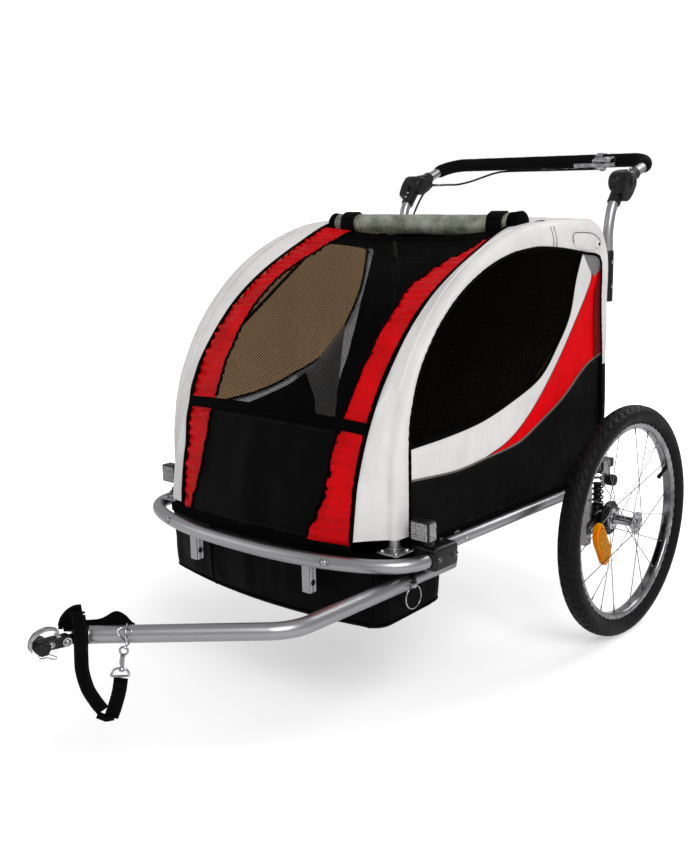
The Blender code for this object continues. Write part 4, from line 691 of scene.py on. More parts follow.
    def sheet(self, rows: Sequence[Sequence[Optional[Vector]]], finish: object, thickness: float = 0.0012,
              inside: Optional[Sequence[float]] = None, lining: Optional[Finish] = None) -> None:
        """Cloth through a grid of places, thickened towards the inside.

        Args:
            rows: the grid; None leaves the cloth open there.
            finish: one finish, or a function of a face's middle that picks one.
            thickness: how thick the cloth is; 0 keeps a single layer.
            inside: a place on the inner side.
            lining: the inner layer's finish, if it isn't the outer one's.
        """
        bm = bmesh.new()
        grid = [[None if p is None else bm.verts.new(p) for p in row] for row in rows]
        flat: dict[int, Flat] = {}
        bm.verts.index_update()
        along = 0.0
        for r, row in enumerate(grid):
            mid = len(row) // 2
            if r and row[mid] is not None and grid[r - 1][mid] is not None:
                along += (row[mid].co - grid[r - 1][mid].co).length
            elif r:
                ends = [(a.co - b.co).length for a, b in zip(row, grid[r - 1]) if a and b]
                along += ends[0] if ends else 0.0
            across, last = 0.0, None
            for vert in row:
                if vert is not None:
                    across += (vert.co - last.co).length if last is not None else 0.0
                    flat[vert.index], last = (across, along), vert
        for row, after in zip(grid, grid[1:]):
            for k in range(len(row) - 1):
                corners = (row[k], row[k + 1], after[k + 1], after[k])
                if None not in corners:
                    bm.faces.new(corners)
        bm.normal_update()
        if inside is not None:
            facing = sum(f.normal.dot(f.calc_center_median() - Vector(inside)) for f in bm.faces)
            if facing < 0:
                bmesh.ops.reverse_faces(bm, faces=bm.faces[:])
                bm.normal_update()
        bm.verts.ensure_lookup_table()
        count, outer = len(bm.verts), [[v.index for v in f.verts] for f in bm.faces]
        points, faces = [v.co.copy() for v in bm.verts], list(outer)
        marks = [flat[k] for k in range(count)]
        if thickness:
            points += [v.co - v.normal * thickness for v in bm.verts]
            faces += [[count + k for k in reversed(f)] for f in outer]
            marks += marks
            for e in bm.edges:
                if e.is_boundary:
                    loop = e.link_loops[0]
                    a, b = loop.vert.index, loop.link_loop_next.vert.index
                    faces.append([b, a, a + count, b + count])
        bm.free()
        picked: dict[Finish, list] = {}
        for number, face in enumerate(faces):
            look = finish
            if lining is not None and len(outer) <= number < 2 * len(outer):
                look = lining
            elif not isinstance(finish, Finish):
                look = finish(sum((points[k] for k in face), Vector()) / len(face))
            picked.setdefault(look, []).append(face)
        taken = 0
        for look, group in picked.items():
            self.add(points, [[k - taken for k in face] for face in group], look, marks)
            taken, points, marks = taken + len(points), [], []

    def stitches(self, route: Route, finish: Finish, pitch: float = 0.0055, radius: float = 0.00045,
                 share: float = 0.62) -> None:
        """A row of stitches along a route that already lies on the cloth.

        Args:
            route: where the row runs.
            finish: the thread.
            pitch: distance from stitch to stitch.
            radius: the thread's radius.
            share: how much of the pitch a stitch covers.
        """
        count = max(2, int(length_of(route) / pitch))
        knots = evenly(route, count)
        for a, b in zip(knots, knots[1:]):
            self.sweep([a, a.lerp(b, share)], radius, finish, sides=5)

    def bolt(self, place: Vector, out: Vector, radius: float, finish: Finish, washer: bool = True,
             dome: bool = False) -> None:
        """A hexagon or domed screw head standing on a face.

        Args:
            place: middle of the head's foot.
            out: the way it stands.
            radius: the head's radius.
            finish: what it is finished in.
            washer: puts a washer under it.
            dome: rounds the head instead of six flats.
        """
        out = Vector(out).normalized()
        if washer:
            self.turn([(0, 0), (0, radius * 1.4), (radius * 0.25, radius * 1.4), (radius * 0.3, 0)],
                      place, out, finish, 20)
        high = radius * (0.75 if dome else 0.9)
        if dome:
            self.turn([(radius * 0.2, radius * 1.05)] + [(radius * 0.2 + high * math.sin(t),
                      radius * math.cos(t)) for t in (0.3, 0.7, 1.1, 1.45)] + [(radius * 0.2 + high, 0)],
                      place, out, finish, 20)
        else:
            self.turn([(radius * 0.2, radius), (high, radius), (high * 1.12, radius * 0.82),
                       (high * 1.12, 0)], place, out, finish, 6)

    def done(self, body: str, *replaced: str, slot: str = "", angle: float = 38.0) -> bpy.types.Object:
        """Make the object, move it to the middle of the trailer and hand it to its body.

        Args:
            body: the moving body that carries it; empty for a piece that bends between two.
            replaced: the solids that it stands for.
            slot: not used.
            angle: edges sharper than this stay sharp.

        Returns:
            The finished object.
        """
        data = bpy.data.meshes.new(self.name)
        data.from_pydata([p + SHIFT for p in self.points], [], self.faces)
        for finish in self.finishes:
            data.materials.append(finish.material())
        data.polygons.foreach_set("material_index", self.looks)
        layer = data.uv_layers.new(name="cloth")
        corners = [0] * len(data.loops)
        data.loops.foreach_get("vertex_index", corners)
        layer.data.foreach_set("uv", [v for k in corners for v in self.flat[k]])
        bm = bmesh.new()
        bm.from_mesh(data)
        bmesh.ops.remove_doubles(bm, verts=bm.verts, dist=1e-7)
        bmesh.ops.recalc_face_normals(bm, faces=bm.faces)
        bm.to_mesh(data)
        bm.free()
        data.shade_smooth()
        data.set_sharp_from_angle(angle=math.radians(angle))
        obj = bpy.data.objects.new(self.name, data)
        bpy.context.scene.collection.objects.link(obj)
        if body:
            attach(obj, body)
        if replaced:
            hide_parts(*replaced)
        LOG.info("%s: %d faces on %s", self.name, len(data.polygons), body)
        return obj


# Shape of the cabin, shared by its cloth, its tubes and what is sewn on


@dataclass(frozen=True)
class Cabin:
    """Side-view curves of the cabin and the surfaces that hang between them."""

    side_x: float = 0.290
    band_x: float = 0.2314
    arch_x: float = 0.274
    outer: tuple = (-0.185, 0.441, 0.496, 0.439)
    circle: tuple = (-0.135, 0.264, 0.620)
    window: tuple = (-0.252, 0.519, 0.390, 0.312)
    rear: tuple = (-0.050, 0.790, 0.086, 0.090)
    low_z: float = 0.360
    rear_low_z: float = 0.386
    roof_front: float = -0.222
    stripe_x: float = 0.170
    dip: tuple = (46.0, 66.0, 68.0, 80.0)
    dip_depth: float = 0.0090
    foot_bow: float = 0.033
    top_draw: float = 0.0585
    line_z: float = 0.548
    cover_low_z: float = 0.345
    roll: tuple = (-0.2463, 0.8722, 0.0245)
    far_edge: tuple = ((0.340, 0.186), (0.400, 0.188), (0.465, 0.191), (0.532, 0.211), (0.585, 0.2262),
                       (0.625, 0.2314))

    @property
    def rear_y(self) -> float:
        """Where the flat back is."""
        return self.rear[0] + self.rear[2]

    @property
    def middle(self) -> Vector:
        """Centre of the front cover's circle, inside the cabin."""
        return Vector((0.0, self.circle[0], self.circle[1]))

    def angle_at(self, z: float) -> float:
        """Angle on the front cover's circle where it reaches a height."""
        return math.degrees(math.asin((z - self.circle[1]) / self.circle[2]))

    @property
    def roof_angle(self) -> float:
        """Angle on the circle where the roof cloth starts."""
        return math.degrees(math.acos((self.circle[0] - self.roof_front) / self.circle[2]))

    def on_circle(self, angle: float, bow: float = 0.0) -> Flat:
        """A place on the front cover's circle, bowed out if asked.

        Args:
            angle: angle on the cover's circle, in degrees.
            bow: how far outside the circle the place lies.

        Returns:
            Its place along the trailer and its height.
        """
        a, b, c, d = self.dip
        sink = eased((angle - a) / (b - a)) * (1.0 - eased((angle - c) / (d - c)))
        t, radius = math.radians(angle), self.circle[2] + bow - self.dip_depth * sink
        high = self.circle[1] + radius * math.sin(t)
        tuck = 0.016 * max(0.0, (0.62 - high) / 0.26) ** 1.4
        return self.circle[0] - radius * math.cos(t) + tuck, high

    def on_piping(self, angle: float) -> Flat:
        """A place on the piping round the side window.

        Args:
            angle: 0 at the front, 90 at the top, in degrees.

        Returns:
            Its place along the trailer and its height.
        """
        t = math.radians(angle)
        y, z, a, b = self.window
        return y - a * math.cos(t), z + b * math.sin(t)

    def piping_rear(self) -> list[Flat]:
        """Carry the piping from the window's top back and down the side's rear edge.

        Returns:
            Its side-view places from the top down.
        """
        top, corner = self.on_piping(90.0), (self.rear[0] + 0.038, self.rear[1] + 0.010)
        line = [(top[0] + (corner[0] - top[0]) * k / 4, top[1] + (corner[1] - top[1]) * (k / 4) ** 1.6)
                for k in range(1, 4)]
        return line + [corner, (corner[0] + 0.009, self.rear[1] - 0.035), (corner[0] + 0.017, 0.600),
                       (corner[0] + 0.026, self.rear_low_z)]

    def stations(self) -> list[tuple[Flat, Flat, Flat, bool]]:
        """Follow the white band from its foot over the roof and down the back.

        Returns:
            Crown, inner edge and piping at each station, and whether the roof spans there.
        """
        y, z, a, b = self.outer
        start = self.angle_at(z)
        roof = (self.roof_angle - start) / (90.0 - start) * 90.0
        stations = [((y - a, self.low_z), self.on_circle(self.angle_at(self.low_z)),
                     (self.window[0] - self.window[2], self.low_z), False)]
        for angle in [roof * k / 26 for k in range(27)] + [90.0]:
            t = math.radians(angle)
            stations.append(((y - a * math.cos(t), z + b * math.sin(t)),
                             self.on_circle(start + (90.0 - start) * angle / 90.0), self.on_piping(angle),
                             angle >= roof - 1e-6))
        top, rear = z + b, self.piping_rear()
        stations.append(((-0.120, top), (-0.110, top + 0.003), rear[0], True))
        for k in range(6):
            t = math.radians(90.0 - 18.0 * k)
            place = (self.rear[0] + self.rear[2] * math.cos(t), self.rear[1] + self.rear[3] * math.sin(t))
            stations.append((place, place, rear[min(k + 1, 4)], True))
        for k, height in enumerate((0.700, 0.600, 0.500, self.rear_low_z)):
            share = (0.5, 1.0, 1.5, 2.0)[k]
            low, high = rear[4 + int(min(share, 1.99))], rear[5 + int(min(share, 1.0)) - (share < 1)]
            spot = Vector(low).lerp(Vector(high), share % 1.0 if share < 2 else 1.0)
            stations.append(((self.rear_y, height), (self.rear_y, height), (spot.x, height), False))
        return stations

    def band_edge(self, sign: int, z: float) -> float:
        """How far out a white band's inner edge lies on the front cover at a height."""
        return self.band_x if sign > 0 else between(self.far_edge, z)

    def outward(self, place: Vector) -> Vector:
        """The way out of the front cover's circle at a place."""
        return Vector((0.0, place.y - self.circle[0], place.z - self.circle[1])).normalized()

    def cover(self, x: float, angle: float, proud: float = 0.0) -> Vector:
        """A place on the front cover: bowed out at its foot, drawn in under the roll.

        Args:
            x: place across the trailer.
            angle: angle on the cover's circle, in degrees.
            proud: how far off the cover the place lies.

        Returns:
            The place.
        """
        low = self.angle_at(self.cover_low_z)
        share = (angle - low) / (self.roof_angle - low)
        bow = (self.foot_bow - self.top_draw * max(0.0, share) ** 1.5) * (1.0 - (x / self.band_x) ** 2)
        return Vector((x, *self.on_circle(angle, bow + proud)))

    @lru_cache(maxsize=None)
    def cover_end(self, x: float) -> float:
        """Find where the front cover meets the rolled rain cover above it.

        Args:
            x: place across the trailer.

        Returns:
            The angle there, in degrees.
        """
        angle, step = self.roof_angle - 12.0, 0.8
        while step > 0.04:
            while angle < self.roof_angle:
                _, y, z = self.cover(x, angle)
                if math.hypot(y - self.roll[0], z - self.roll[1]) < self.roll[2] or y > self.roll[0]:
                    break
                angle += step
            angle, step = angle - step, step / 4
        return angle


CABIN = Cabin()


@dataclass
class Canopy:
    """White cloth over both arches, the roof and the rear top, in one sewn sheet."""

    thickness: float = 0.0014
    pucker: float = 0.0013
    fold: float = 0.0034
    white_to_z: float = 0.585
    steps: int = 4
    inside: tuple = (0.0, -0.2, 0.5)

    def half(self, crown: Vector, edge: Vector, piping: Vector) -> list[Vector]:
        """Lay out one side from the piping over the arch tube to the band's inner edge.

        Args:
            crown: the band's outermost place.
            edge: its inner edge.
            piping: the piping beside the window.

        Returns:
            Places across the band.
        """
        x = CABIN.side_x
        knots = []
        for share, out in ((0.0, x), (0.25, x + 0.0006), (0.5, x + 0.0006), (0.72, x), (0.86, x - 0.0020),
                           (0.95, x - 0.0062), (0.99, x - 0.0110), (1.0, CABIN.arch_x)):
            knots.append((out, *piping.lerp(crown, share)))
        for share, out in ((0.12, 0.2672), (0.32, 0.2580), (0.56, 0.2475), (0.80, 0.2385),
                           (1.0, CABIN.band_x)):
            knots.append((out, *crown.lerp(edge, share)))
        return smooth_route(knots, 2)

    def worked(self, place: Vector, column: int, run: float) -> Vector:
        """Push a place in or out for gathers, drag lines and the folds over the foot.

        Args:
            place: where the smooth cloth lies.
            column: how many places it is from the piping.
            run: length along the piping.

        Returns:
            The place moved.
        """
        gather = math.exp(-column / 4.0)
        moved = self.pucker * gather * math.sin(run * 400.0 + 2.5 * cloud(place, 0.05)) * (
            0.55 + 0.45 * cloud(place, 0.03, 6.0))
        broad = self.fold * 0.6 * cloud(place, 0.075, 3.0)
        foot = max(0.0, 1.0 - (place.z - 0.36) / 0.34) if place.y < -0.4 else 0.0
        folds = foot ** 0.8 * self.fold * (1.3 * cloud(Vector((
            abs(place.x) * 1.6 - place.z * 0.45, 0.0, place.z * 0.35)), 0.040, 9.0) + 0.9 * cloud(
                Vector((abs(place.x) * 1.2 + place.z * 0.6, 0.0, place.z * 0.5)), 0.022, 4.0))
        ridge = 0.5 if 12 <= column <= 16 else 1.0
        push = moved + (broad + folds) * ridge * (0.3 if column < 2 else 1.0)
        sign = 1.0 if place.x > 0 else -1.0
        if column < 12:
            return place + Vector((sign * min(push, 0.0024), 0.0, 0.0))
        out = CABIN.outward(place)
        fade = 0.0 if column >= 25 else min(1.0, (26 - column) / 8.0)
        return place + out * push * fade

    def build(self) -> None:
        """Make the cloth with its seams, piping, zip, flap and bindings."""
        stations = CABIN.stations()
        curves = [smooth_route([s[k] for s in stations], self.steps) for k in range(3)]
        spanned = [k * self.steps for k, (here, there) in enumerate(zip(stations, stations[1:]))
                   if here[3] and there[3]]
        rows, run = [], 0.0
        for k, (crown, edge, piping) in enumerate(zip(*curves)):
            run += (curves[2][k] - curves[2][k - 1]).length if k else 0.0
            places = self.half(crown.xy, edge.xy, piping.xy)
            near = [self.worked(p, c, run) for c, p in enumerate(places)]
            far = [self.worked(Vector((-p.x, p.y, p.z)), c, run + 0.4) for c, p in enumerate(places)]
            roof: list[Optional[Vector]] = []
            for m in range(1, 24):
                x = CABIN.band_x * (1 - m / 12)
                sag = 0.0022 * (1 - (x / CABIN.band_x) ** 2) * cloud(
                    Vector((x, edge.x, edge.y)), 0.12, 5.0)
                on = spanned[0] <= k <= spanned[-1] + self.steps
                roof.append(Vector((x, edge.x, edge.y + sag)) if on else None)
            rows.append(near + roof + far[::-1])
        cloth = Forge("canopy_cloth")

        def colour(middle: Vector) -> Finish:
            """White above the rear seam, black below it."""
            return Looks.BLACK if middle.y > 0.0 and middle.z < self.white_to_z else Looks.WHITE

        cloth.sheet(rows, colour, self.thickness, self.inside, Looks.LINING)
        facing = [[Vector((0.255 * (k / 12 - 1), y, z)) for k in range(25)]
                  for y, z in ((0.0325, 0.770), (0.0320, 0.792), (0.0293, 0.812), (0.0235, 0.830))]
        cloth.sheet(facing, Looks.LINING, 0.0010, self.inside)
        self.trim(cloth, curves)
        piece = cloth.done("trailer", "canopy", slot="white_cloth")

    def trim(self, cloth: Forge, curves: list[list[Vector]]) -> None:
        """Sew on the piping, the zip beside the window, the edge bindings and the flap.

        Args:
            cloth: the cloth that they are sewn to.
            curves: crown, inner edge and piping from foot to back.
        """
        for _, sign in SIDES:
            rope = [Vector((sign * (CABIN.side_x + 0.0006), p.x, p.y)) for p in curves[2]]
            rope = [p for p in rope if p.z > 0.352]
            cloth.sweep(evenly(rope, 220), 0.0030, Looks.BINDING, sides=8,
                        taper=lambda t: 1.0 + 0.10 * math.sin(t * 900.0))
            front = [p for p in evenly(rope, 420) if p.y < -0.46 and p.z < 0.75]
            for p in front[::2]:
                cloth.block((p.x + sign * 0.0018, p.y - 0.0016, p.z), (0.0014, 0.0042, 0.0018),
                            Looks.BINDING, 0.0004, segments=1)
            edge = []
            for p in curves[1]:
                out = CABIN.band_edge(sign, p.y)
                spot = CABIN.cover(sign * out, CABIN.angle_at(p.y), 0.0006) if out < CABIN.band_x else (
                    Vector((sign * (CABIN.band_x + 0.0008), p.x, p.y)))
                if spot.y < CABIN.roof_front + 0.004:
                    edge.append(spot)
            tape = [p + CABIN.outward(p) * 0.0011 for p in evenly(edge, 160)]
            welt = [Vector((sign * (CABIN.arch_x - 0.0075), p.x, p.y)) for p in curves[0] if p.x < -0.30]
            welt = [p + CABIN.outward(p) * 0.0002 for p in evenly(welt, 140)]
            cloth.sweep(welt, [(-0.0030, -0.0010), (0.0030, -0.0010), (0.0022, 0.0006), (0.0, 0.0011),
                               (-0.0022, 0.0006)], Looks.WHITE, up=CABIN.outward)
            cloth.sweep(tape, [(-0.0048, -0.0010), (0.0048, -0.0010), (0.0052, 0.0004), (0.0030, 0.0014),
                               (-0.0030, 0.0014), (-0.0052, 0.0004)], Looks.BINDING, up=CABIN.outward)
            self.seam(cloth, sign)
        gusset, low, high = [], CABIN.angle_at(CABIN.low_z), CABIN.angle_at(0.622)
        for k in range(60):
            angle = low + (high - low) * k / 59
            z = CABIN.on_circle(angle)[1]
            wide = CABIN.band_x - CABIN.band_edge(-1, z)
            gusset.append([CABIN.cover(-CABIN.band_x + wide * j / 8, angle, 0.0008 + 0.0022 * cloud(
                Vector((wide * j / 8, z, 2)), 0.03) * math.sin(math.pi * j / 8)) for j in range(9)])
        cloth.sheet(gusset, Looks.WHITE, self.thickness, self.inside, Looks.LINING)
        self.flap(cloth)

    def seam(self, cloth: Forge, sign: int) -> None:
        """Double seam across the band where the front cloth joins the roof cloth.

        Args:
            cloth: the cloth that it is sewn in.
            sign: 1 on the left, -1 on the right.
        """
        for shift in (0.0, 0.011):
            line = []
            for share in range(0, 13):
                t = share / 12
                y = -0.221 + 0.030 * min(1.0, t * 1.2) + shift
                crown = CABIN.outer[1] + CABIN.outer[3] * math.sqrt(
                    1.0 - ((y - CABIN.outer[0]) / CABIN.outer[2]) ** 2) + 0.0012
                if t < 0.35:
                    x, z = 0.2335 + 0.040 * t / 0.35, crown - 0.012 * (1 - t / 0.35) ** 1.5
                else:
                    x, z = 0.2742 + 0.0172 * min(1.0, (t - 0.35) / 0.16), crown - 0.052 * (t - 0.35) / 0.65
                line.append(Vector((sign * x, y, z)))
            cloth.sweep(smooth_route(line, 2), 0.0007, Looks.THREAD, sides=6)

    def flap(self, cloth: Forge) -> None:
        """Sewn corner flap near each handle upright, with its press stud.

        Args:
            cloth: the cloth that it is sewn to.
        """
        for _, sign in SIDES:
            edge = [(-0.118, 0.834), (-0.121, 0.848), (-0.108, 0.8535), (-0.052, 0.8500), (-0.022, 0.840),
                    (-0.014, 0.830), (-0.017, 0.821)]
            ring = [(p.x, p.y) for p in smooth_route(edge, 4)]
            low = [(-0.033, 0.8155), (-0.077, 0.8180), (-0.110, 0.824)]
            outline = ring + low
            x = CABIN.side_x + 0.0016
            cloth.plate(outline, Vector((sign * x, 0, 0)), BACK, UP, 0.0016, Looks.WHITE,
                        0.0004)
            line = [Vector((sign * (x + 0.0010), y, z)) for y, z in ring]
            cloth.sweep(line, 0.0007, Looks.THREAD, sides=6)
            spot = Vector((sign * (x + 0.0008), -0.024, 0.8270))
            cloth.turn([(0, 0.0085), (0.0012, 0.0085), (0.0034, 0.0060), (0.0042, 0.0)], spot,
                       sideways(sign), Looks.WHITE, 24)
            cloth.turn([(0.0036, 0.0032), (0.0052, 0.0032), (0.0058, 0.0020), (0.0060, 0.0)], spot,
                       sideways(sign), Looks.PLASTIC, 20)


@dataclass
class FrontCover:
    """Net window, lower panel, red stripes and the tapes of the front cover."""

    far_line: tuple = ((0.340, 0.160), (0.377, 0.153), (0.402, 0.140), (0.445, 0.131), (0.489, 0.131),
                       (0.537, 0.137), (0.576, 0.140), (0.638, 0.153), (0.697, 0.164), (0.741, 0.168),
                       (0.788, 0.172), (0.818, 0.170), (0.845, 0.164), (0.880, 0.160))
    near_line: tuple = ((0.340, 0.146), (0.372, 0.1525), (0.396, 0.162), (0.444, 0.177), (0.485, 0.179),
                        (0.534, 0.179), (0.559, 0.182), (0.606, 0.185), (0.654, 0.184), (0.703, 0.1815),
                        (0.740, 0.179), (0.786, 0.170), (0.813, 0.177), (0.834, 0.189), (0.848, 0.206),
                        (0.880, 0.220))

    def inner(self, sign: int, z: float) -> float:
        """How far out a stripe's inner edge lies at a height."""
        return between(self.near_line if sign > 0 else self.far_line, z)

    def scallop(self, sign: int, run: float) -> float:
        """How far the gathers push a stripe's inner edge in or out, by the distance up it."""
        return 0.0010 * math.sin(run * 330.0 + 3.4 * cloud(Vector((3.0, run, sign)), 0.045)) + (
            0.0016 * cloud(Vector((0, run, 3 + sign)), 0.028))

    def ends(self, angle: float) -> Flat:
        """Both stripes' inner edges at an angle on the cover's circle."""
        z = CABIN.circle[1] + (CABIN.circle[2] + 0.01) * math.sin(math.radians(angle))
        return -self.inner(-1, z), self.inner(1, z)

    def grid(self, ends: Callable[[float], Flat], z_low: float, top: float, columns: int, rows: int,
             push: Callable[[float, float], float]) -> list[list[Vector]]:
        """Lay out one panel of the front cover.

        Args:
            ends: the panel's two edges at an angle.
            z_low: height of its foot.
            top: angle of its top; past 70 it ends at the roll.
            columns: steps across.
            rows: steps up.
            push: how far off the cover the cloth lies at (x, angle).

        Returns:
            Rows of places from the foot up.
        """
        low, grid = CABIN.angle_at(z_low), []
        for i in range(rows + 1):
            row = []
            share = i / rows
            limit = min(top, CABIN.cover_end(CABIN.stripe_x)) if top > 70 else top
            x_low, x_high = ends(low + (limit - low) * share)
            for k in range(columns + 1):
                x = x_low + (x_high - x_low) * k / columns
                reach = CABIN.band_x - 0.0007 - 0.0024 * max(0.0, 1.0 - share / 0.55)
                x = round(max(-reach, min(reach, x)), 4)
                end = min(top, CABIN.cover_end(x)) if top > 70 else top
                angle = low + (end - low) * share
                row.append(CABIN.cover(x, angle, push(x, angle)))
            grid.append(row)
        return grid

    def build(self) -> None:
        """Make the panels and their tapes."""
        line, top = CABIN.angle_at(CABIN.line_z), CABIN.roof_angle

        def under(angle: float) -> Flat:
            """Edges of what is sewn under the stripes."""
            low, high = self.ends(angle)
            return low - 0.004, high + 0.004

        net = Forge("front_net")
        rows = self.grid(under, CABIN.line_z + 0.001, top, 34, 60,
                         lambda x, a: -0.0008 + 0.0006 * cloud(Vector((x, a * 0.01, 0)), 0.05))
        net.sheet(rows, Looks.NET, 0.0)
        net.sheet(self.grid(under, CABIN.line_z, top, 40, 60, lambda x, a: 0.0004)[-5:], Looks.BINDING,
                  0.0008, CABIN.middle)
        piece = net.done("trailer", "front_mesh", slot="black_mesh")
        lower = Forge("lower_cover")

        def soft(x: float, angle: float) -> float:
            """Hanging folds of the lower panel.

            Args:
                x: place across the trailer.
                angle: angle on the cover's circle, in degrees.

            Returns:
                How far off the cover the cloth hangs.
            """
            fade = min(1.0, (line - angle) / 5.0)
            waves = math.sin(x * 46 + 1.2 + angle * 0.05) + 0.6 * math.sin(x * 83 + angle * 0.11)
            return -0.0006 + fade * (0.0020 * waves + 0.002 * cloud(Vector((x, angle * 0.01, 1)), 0.05)
                                     ) * min(1.0, (0.150 - abs(x)) / 0.04 if abs(x) < 0.150 else 0.0)

        rows = self.grid(under, CABIN.cover_low_z, line, 60, 40, soft)
        lower.sheet(rows, Looks.BLACK, 0.0014, CABIN.middle)
        for z, proud in ((0.5325, 0.0006), (0.3600, 0.0004)):
            stitch = [CABIN.cover(x / 200, CABIN.angle_at(z), proud + 0.0006 + soft(
                x / 200, CABIN.angle_at(z))) for x in range(-27, 34)]
            lower.stitches(stitch, Looks.THREAD, 0.0065, 0.0004)
        piece = lower.done("trailer", "front_lower_panel", slot="black_cloth")
        for side, sign in SIDES:
            self.stripe(side, sign, top)
        self.tapes(line, top)

    def gathers(self, sign: int, share: float, run: float) -> float:
        """Cross folds of a gathered stripe.

        Args:
            sign: 1 on the left, -1 on the right.
            share: 0 at its inner edge, 1 at its outer one.
            run: length along the cover.

        Returns:
            How far off the cover the cloth stands.
        """
        total = 0.0
        for edge, reach, seed in ((0.0, 0.85, 3.0), (1.0, 0.60, 9.0)):
            near = max(0.0, 1.0 - abs(share - edge) / reach)
            phase = run * 330.0 + 3.4 * cloud(Vector((seed, run, sign)), 0.045) + abs(share - edge) * 2.2
            lively = 0.45 + 0.75 * abs(cloud(Vector((seed, run, 2.0 * sign)), 0.030))
            total += 0.0034 * near ** 0.7 * lively * math.sin(phase)
        ridge = cloud(Vector((share * 0.035 + run * 0.25, run, 7 + sign)), 0.026)
        return total * (0.6 if sign > 0 else 1.0) + 0.0034 * ridge - 0.0006

    def stripe(self, side: str, sign: int, top: float) -> None:
        """One red stripe, gathered along both its edges.

        Args:
            side: left or right.
            sign: 1 on the left, -1 on the right.
            top: angle of its top.
        """
        def edges(angle: float) -> Flat:
            """The stripe's two edges, the inner one scalloped.

            Args:
                angle: angle on the cover's circle, in degrees.

            Returns:
                Both edges, the lower number first.
            """
            wave = self.scallop(sign, math.radians(angle) * CABIN.circle[2])
            inner = self.ends(angle)[0 if sign < 0 else 1] + sign * wave
            outer = CABIN.band_edge(sign, CABIN.on_circle(angle)[1]) - 0.0007
            return tuple(sorted((inner, sign * max(outer, abs(inner) + 0.004))))

        def gathered(x: float, angle: float) -> float:
            """Cross folds at a place on the stripe.

            Args:
                x: place across the trailer.
                angle: angle on the cover's circle, in degrees.

            Returns:
                How far off the cover the cloth stands.
            """
            low, high = sorted(abs(v) for v in edges(angle))
            share = (abs(x) - low) / max(high - low, 1e-6)
            fade = min(1.0, max(0.0, CABIN.roof_angle - angle) / 6.0)
            return self.gathers(sign, share, math.radians(angle) * CABIN.circle[2]) * fade

        red = Forge("red_stripe_cloth_" + side)
        rows = self.grid(edges, CABIN.cover_low_z + 0.0035, top, 14, 300, gathered)
        # The stripe's darker red is painted shade.
        red.sheet(rows, Looks.GATHERED_SHADED_RED, 0.0014, CABIN.middle, Looks.LINING)
        piece = red.done("trailer", "red_stripe_" + side, slot="red_cloth")

    def tapes(self, line: float, top: float) -> None:
        """Band across the cover and the tapes along the stripes' inner edges.

        Args:
            line: angle of the band across.
            top: angle of their tops.
        """
        trim = Forge("front_tapes")
        band, far = [], -CABIN.band_edge(-1, CABIN.line_z) - 0.0030
        for k in range(61):
            x = far + (CABIN.band_x + 0.0031 - far) * k / 60
            reach = max(-CABIN.band_x, min(CABIN.band_x, x))
            column = []
            for rise, proud in ((-0.0105, 0.0016), (-0.0085, 0.0034), (0.0, 0.0038), (0.0085, 0.0034),
                                (0.0105, 0.0016)):
                place = CABIN.cover(reach, line + math.degrees(rise / CABIN.circle[2]), proud)
                column.append(Vector((x, place.y, place.z)))
            band.append(column)
        trim.sheet(band, Looks.BINDING, 0.0012, CABIN.middle)
        for _, sign in SIDES:
            for low, high, width in ((CABIN.cover_low_z + 0.004, line - 1.2, 0.0020),
                                     (CABIN.line_z + 0.012, top, 0.0032)):
                route = []
                start = CABIN.angle_at(low)
                end = min(high, CABIN.cover_end(sign * CABIN.stripe_x))
                for k in range(111):
                    angle = start + (end - start) * k / 110
                    run = math.radians(angle) * CABIN.circle[2]
                    x = self.ends(angle)[0 if sign < 0 else 1] + sign * (
                        self.scallop(sign, run) - width * 0.6)
                    route.append(CABIN.cover(x, angle, 0.0012 + 0.4 * max(0.0, self.gathers(
                        sign, 0.0, run))))
                trim.sweep(route, [(-width, -0.0008), (width, -0.0008), (width * 0.9, 0.0008), (0, 0.0014),
                                   (-width * 0.9, 0.0008)], Looks.BINDING, up=CABIN.outward)
        for _, sign in SIDES:
            hem = [CABIN.cover(sign * x / 100, CABIN.angle_at(0.3490), 0.0012) for x in range(0, 24)]
            trim.sweep(hem, [(-0.0045, -0.0012), (0.0045, -0.0012), (0.0045, 0.0012), (-0.0045, 0.0014)],
                       Looks.BINDING, up=CABIN.outward)
        trim.done("trailer", slot="webbing")


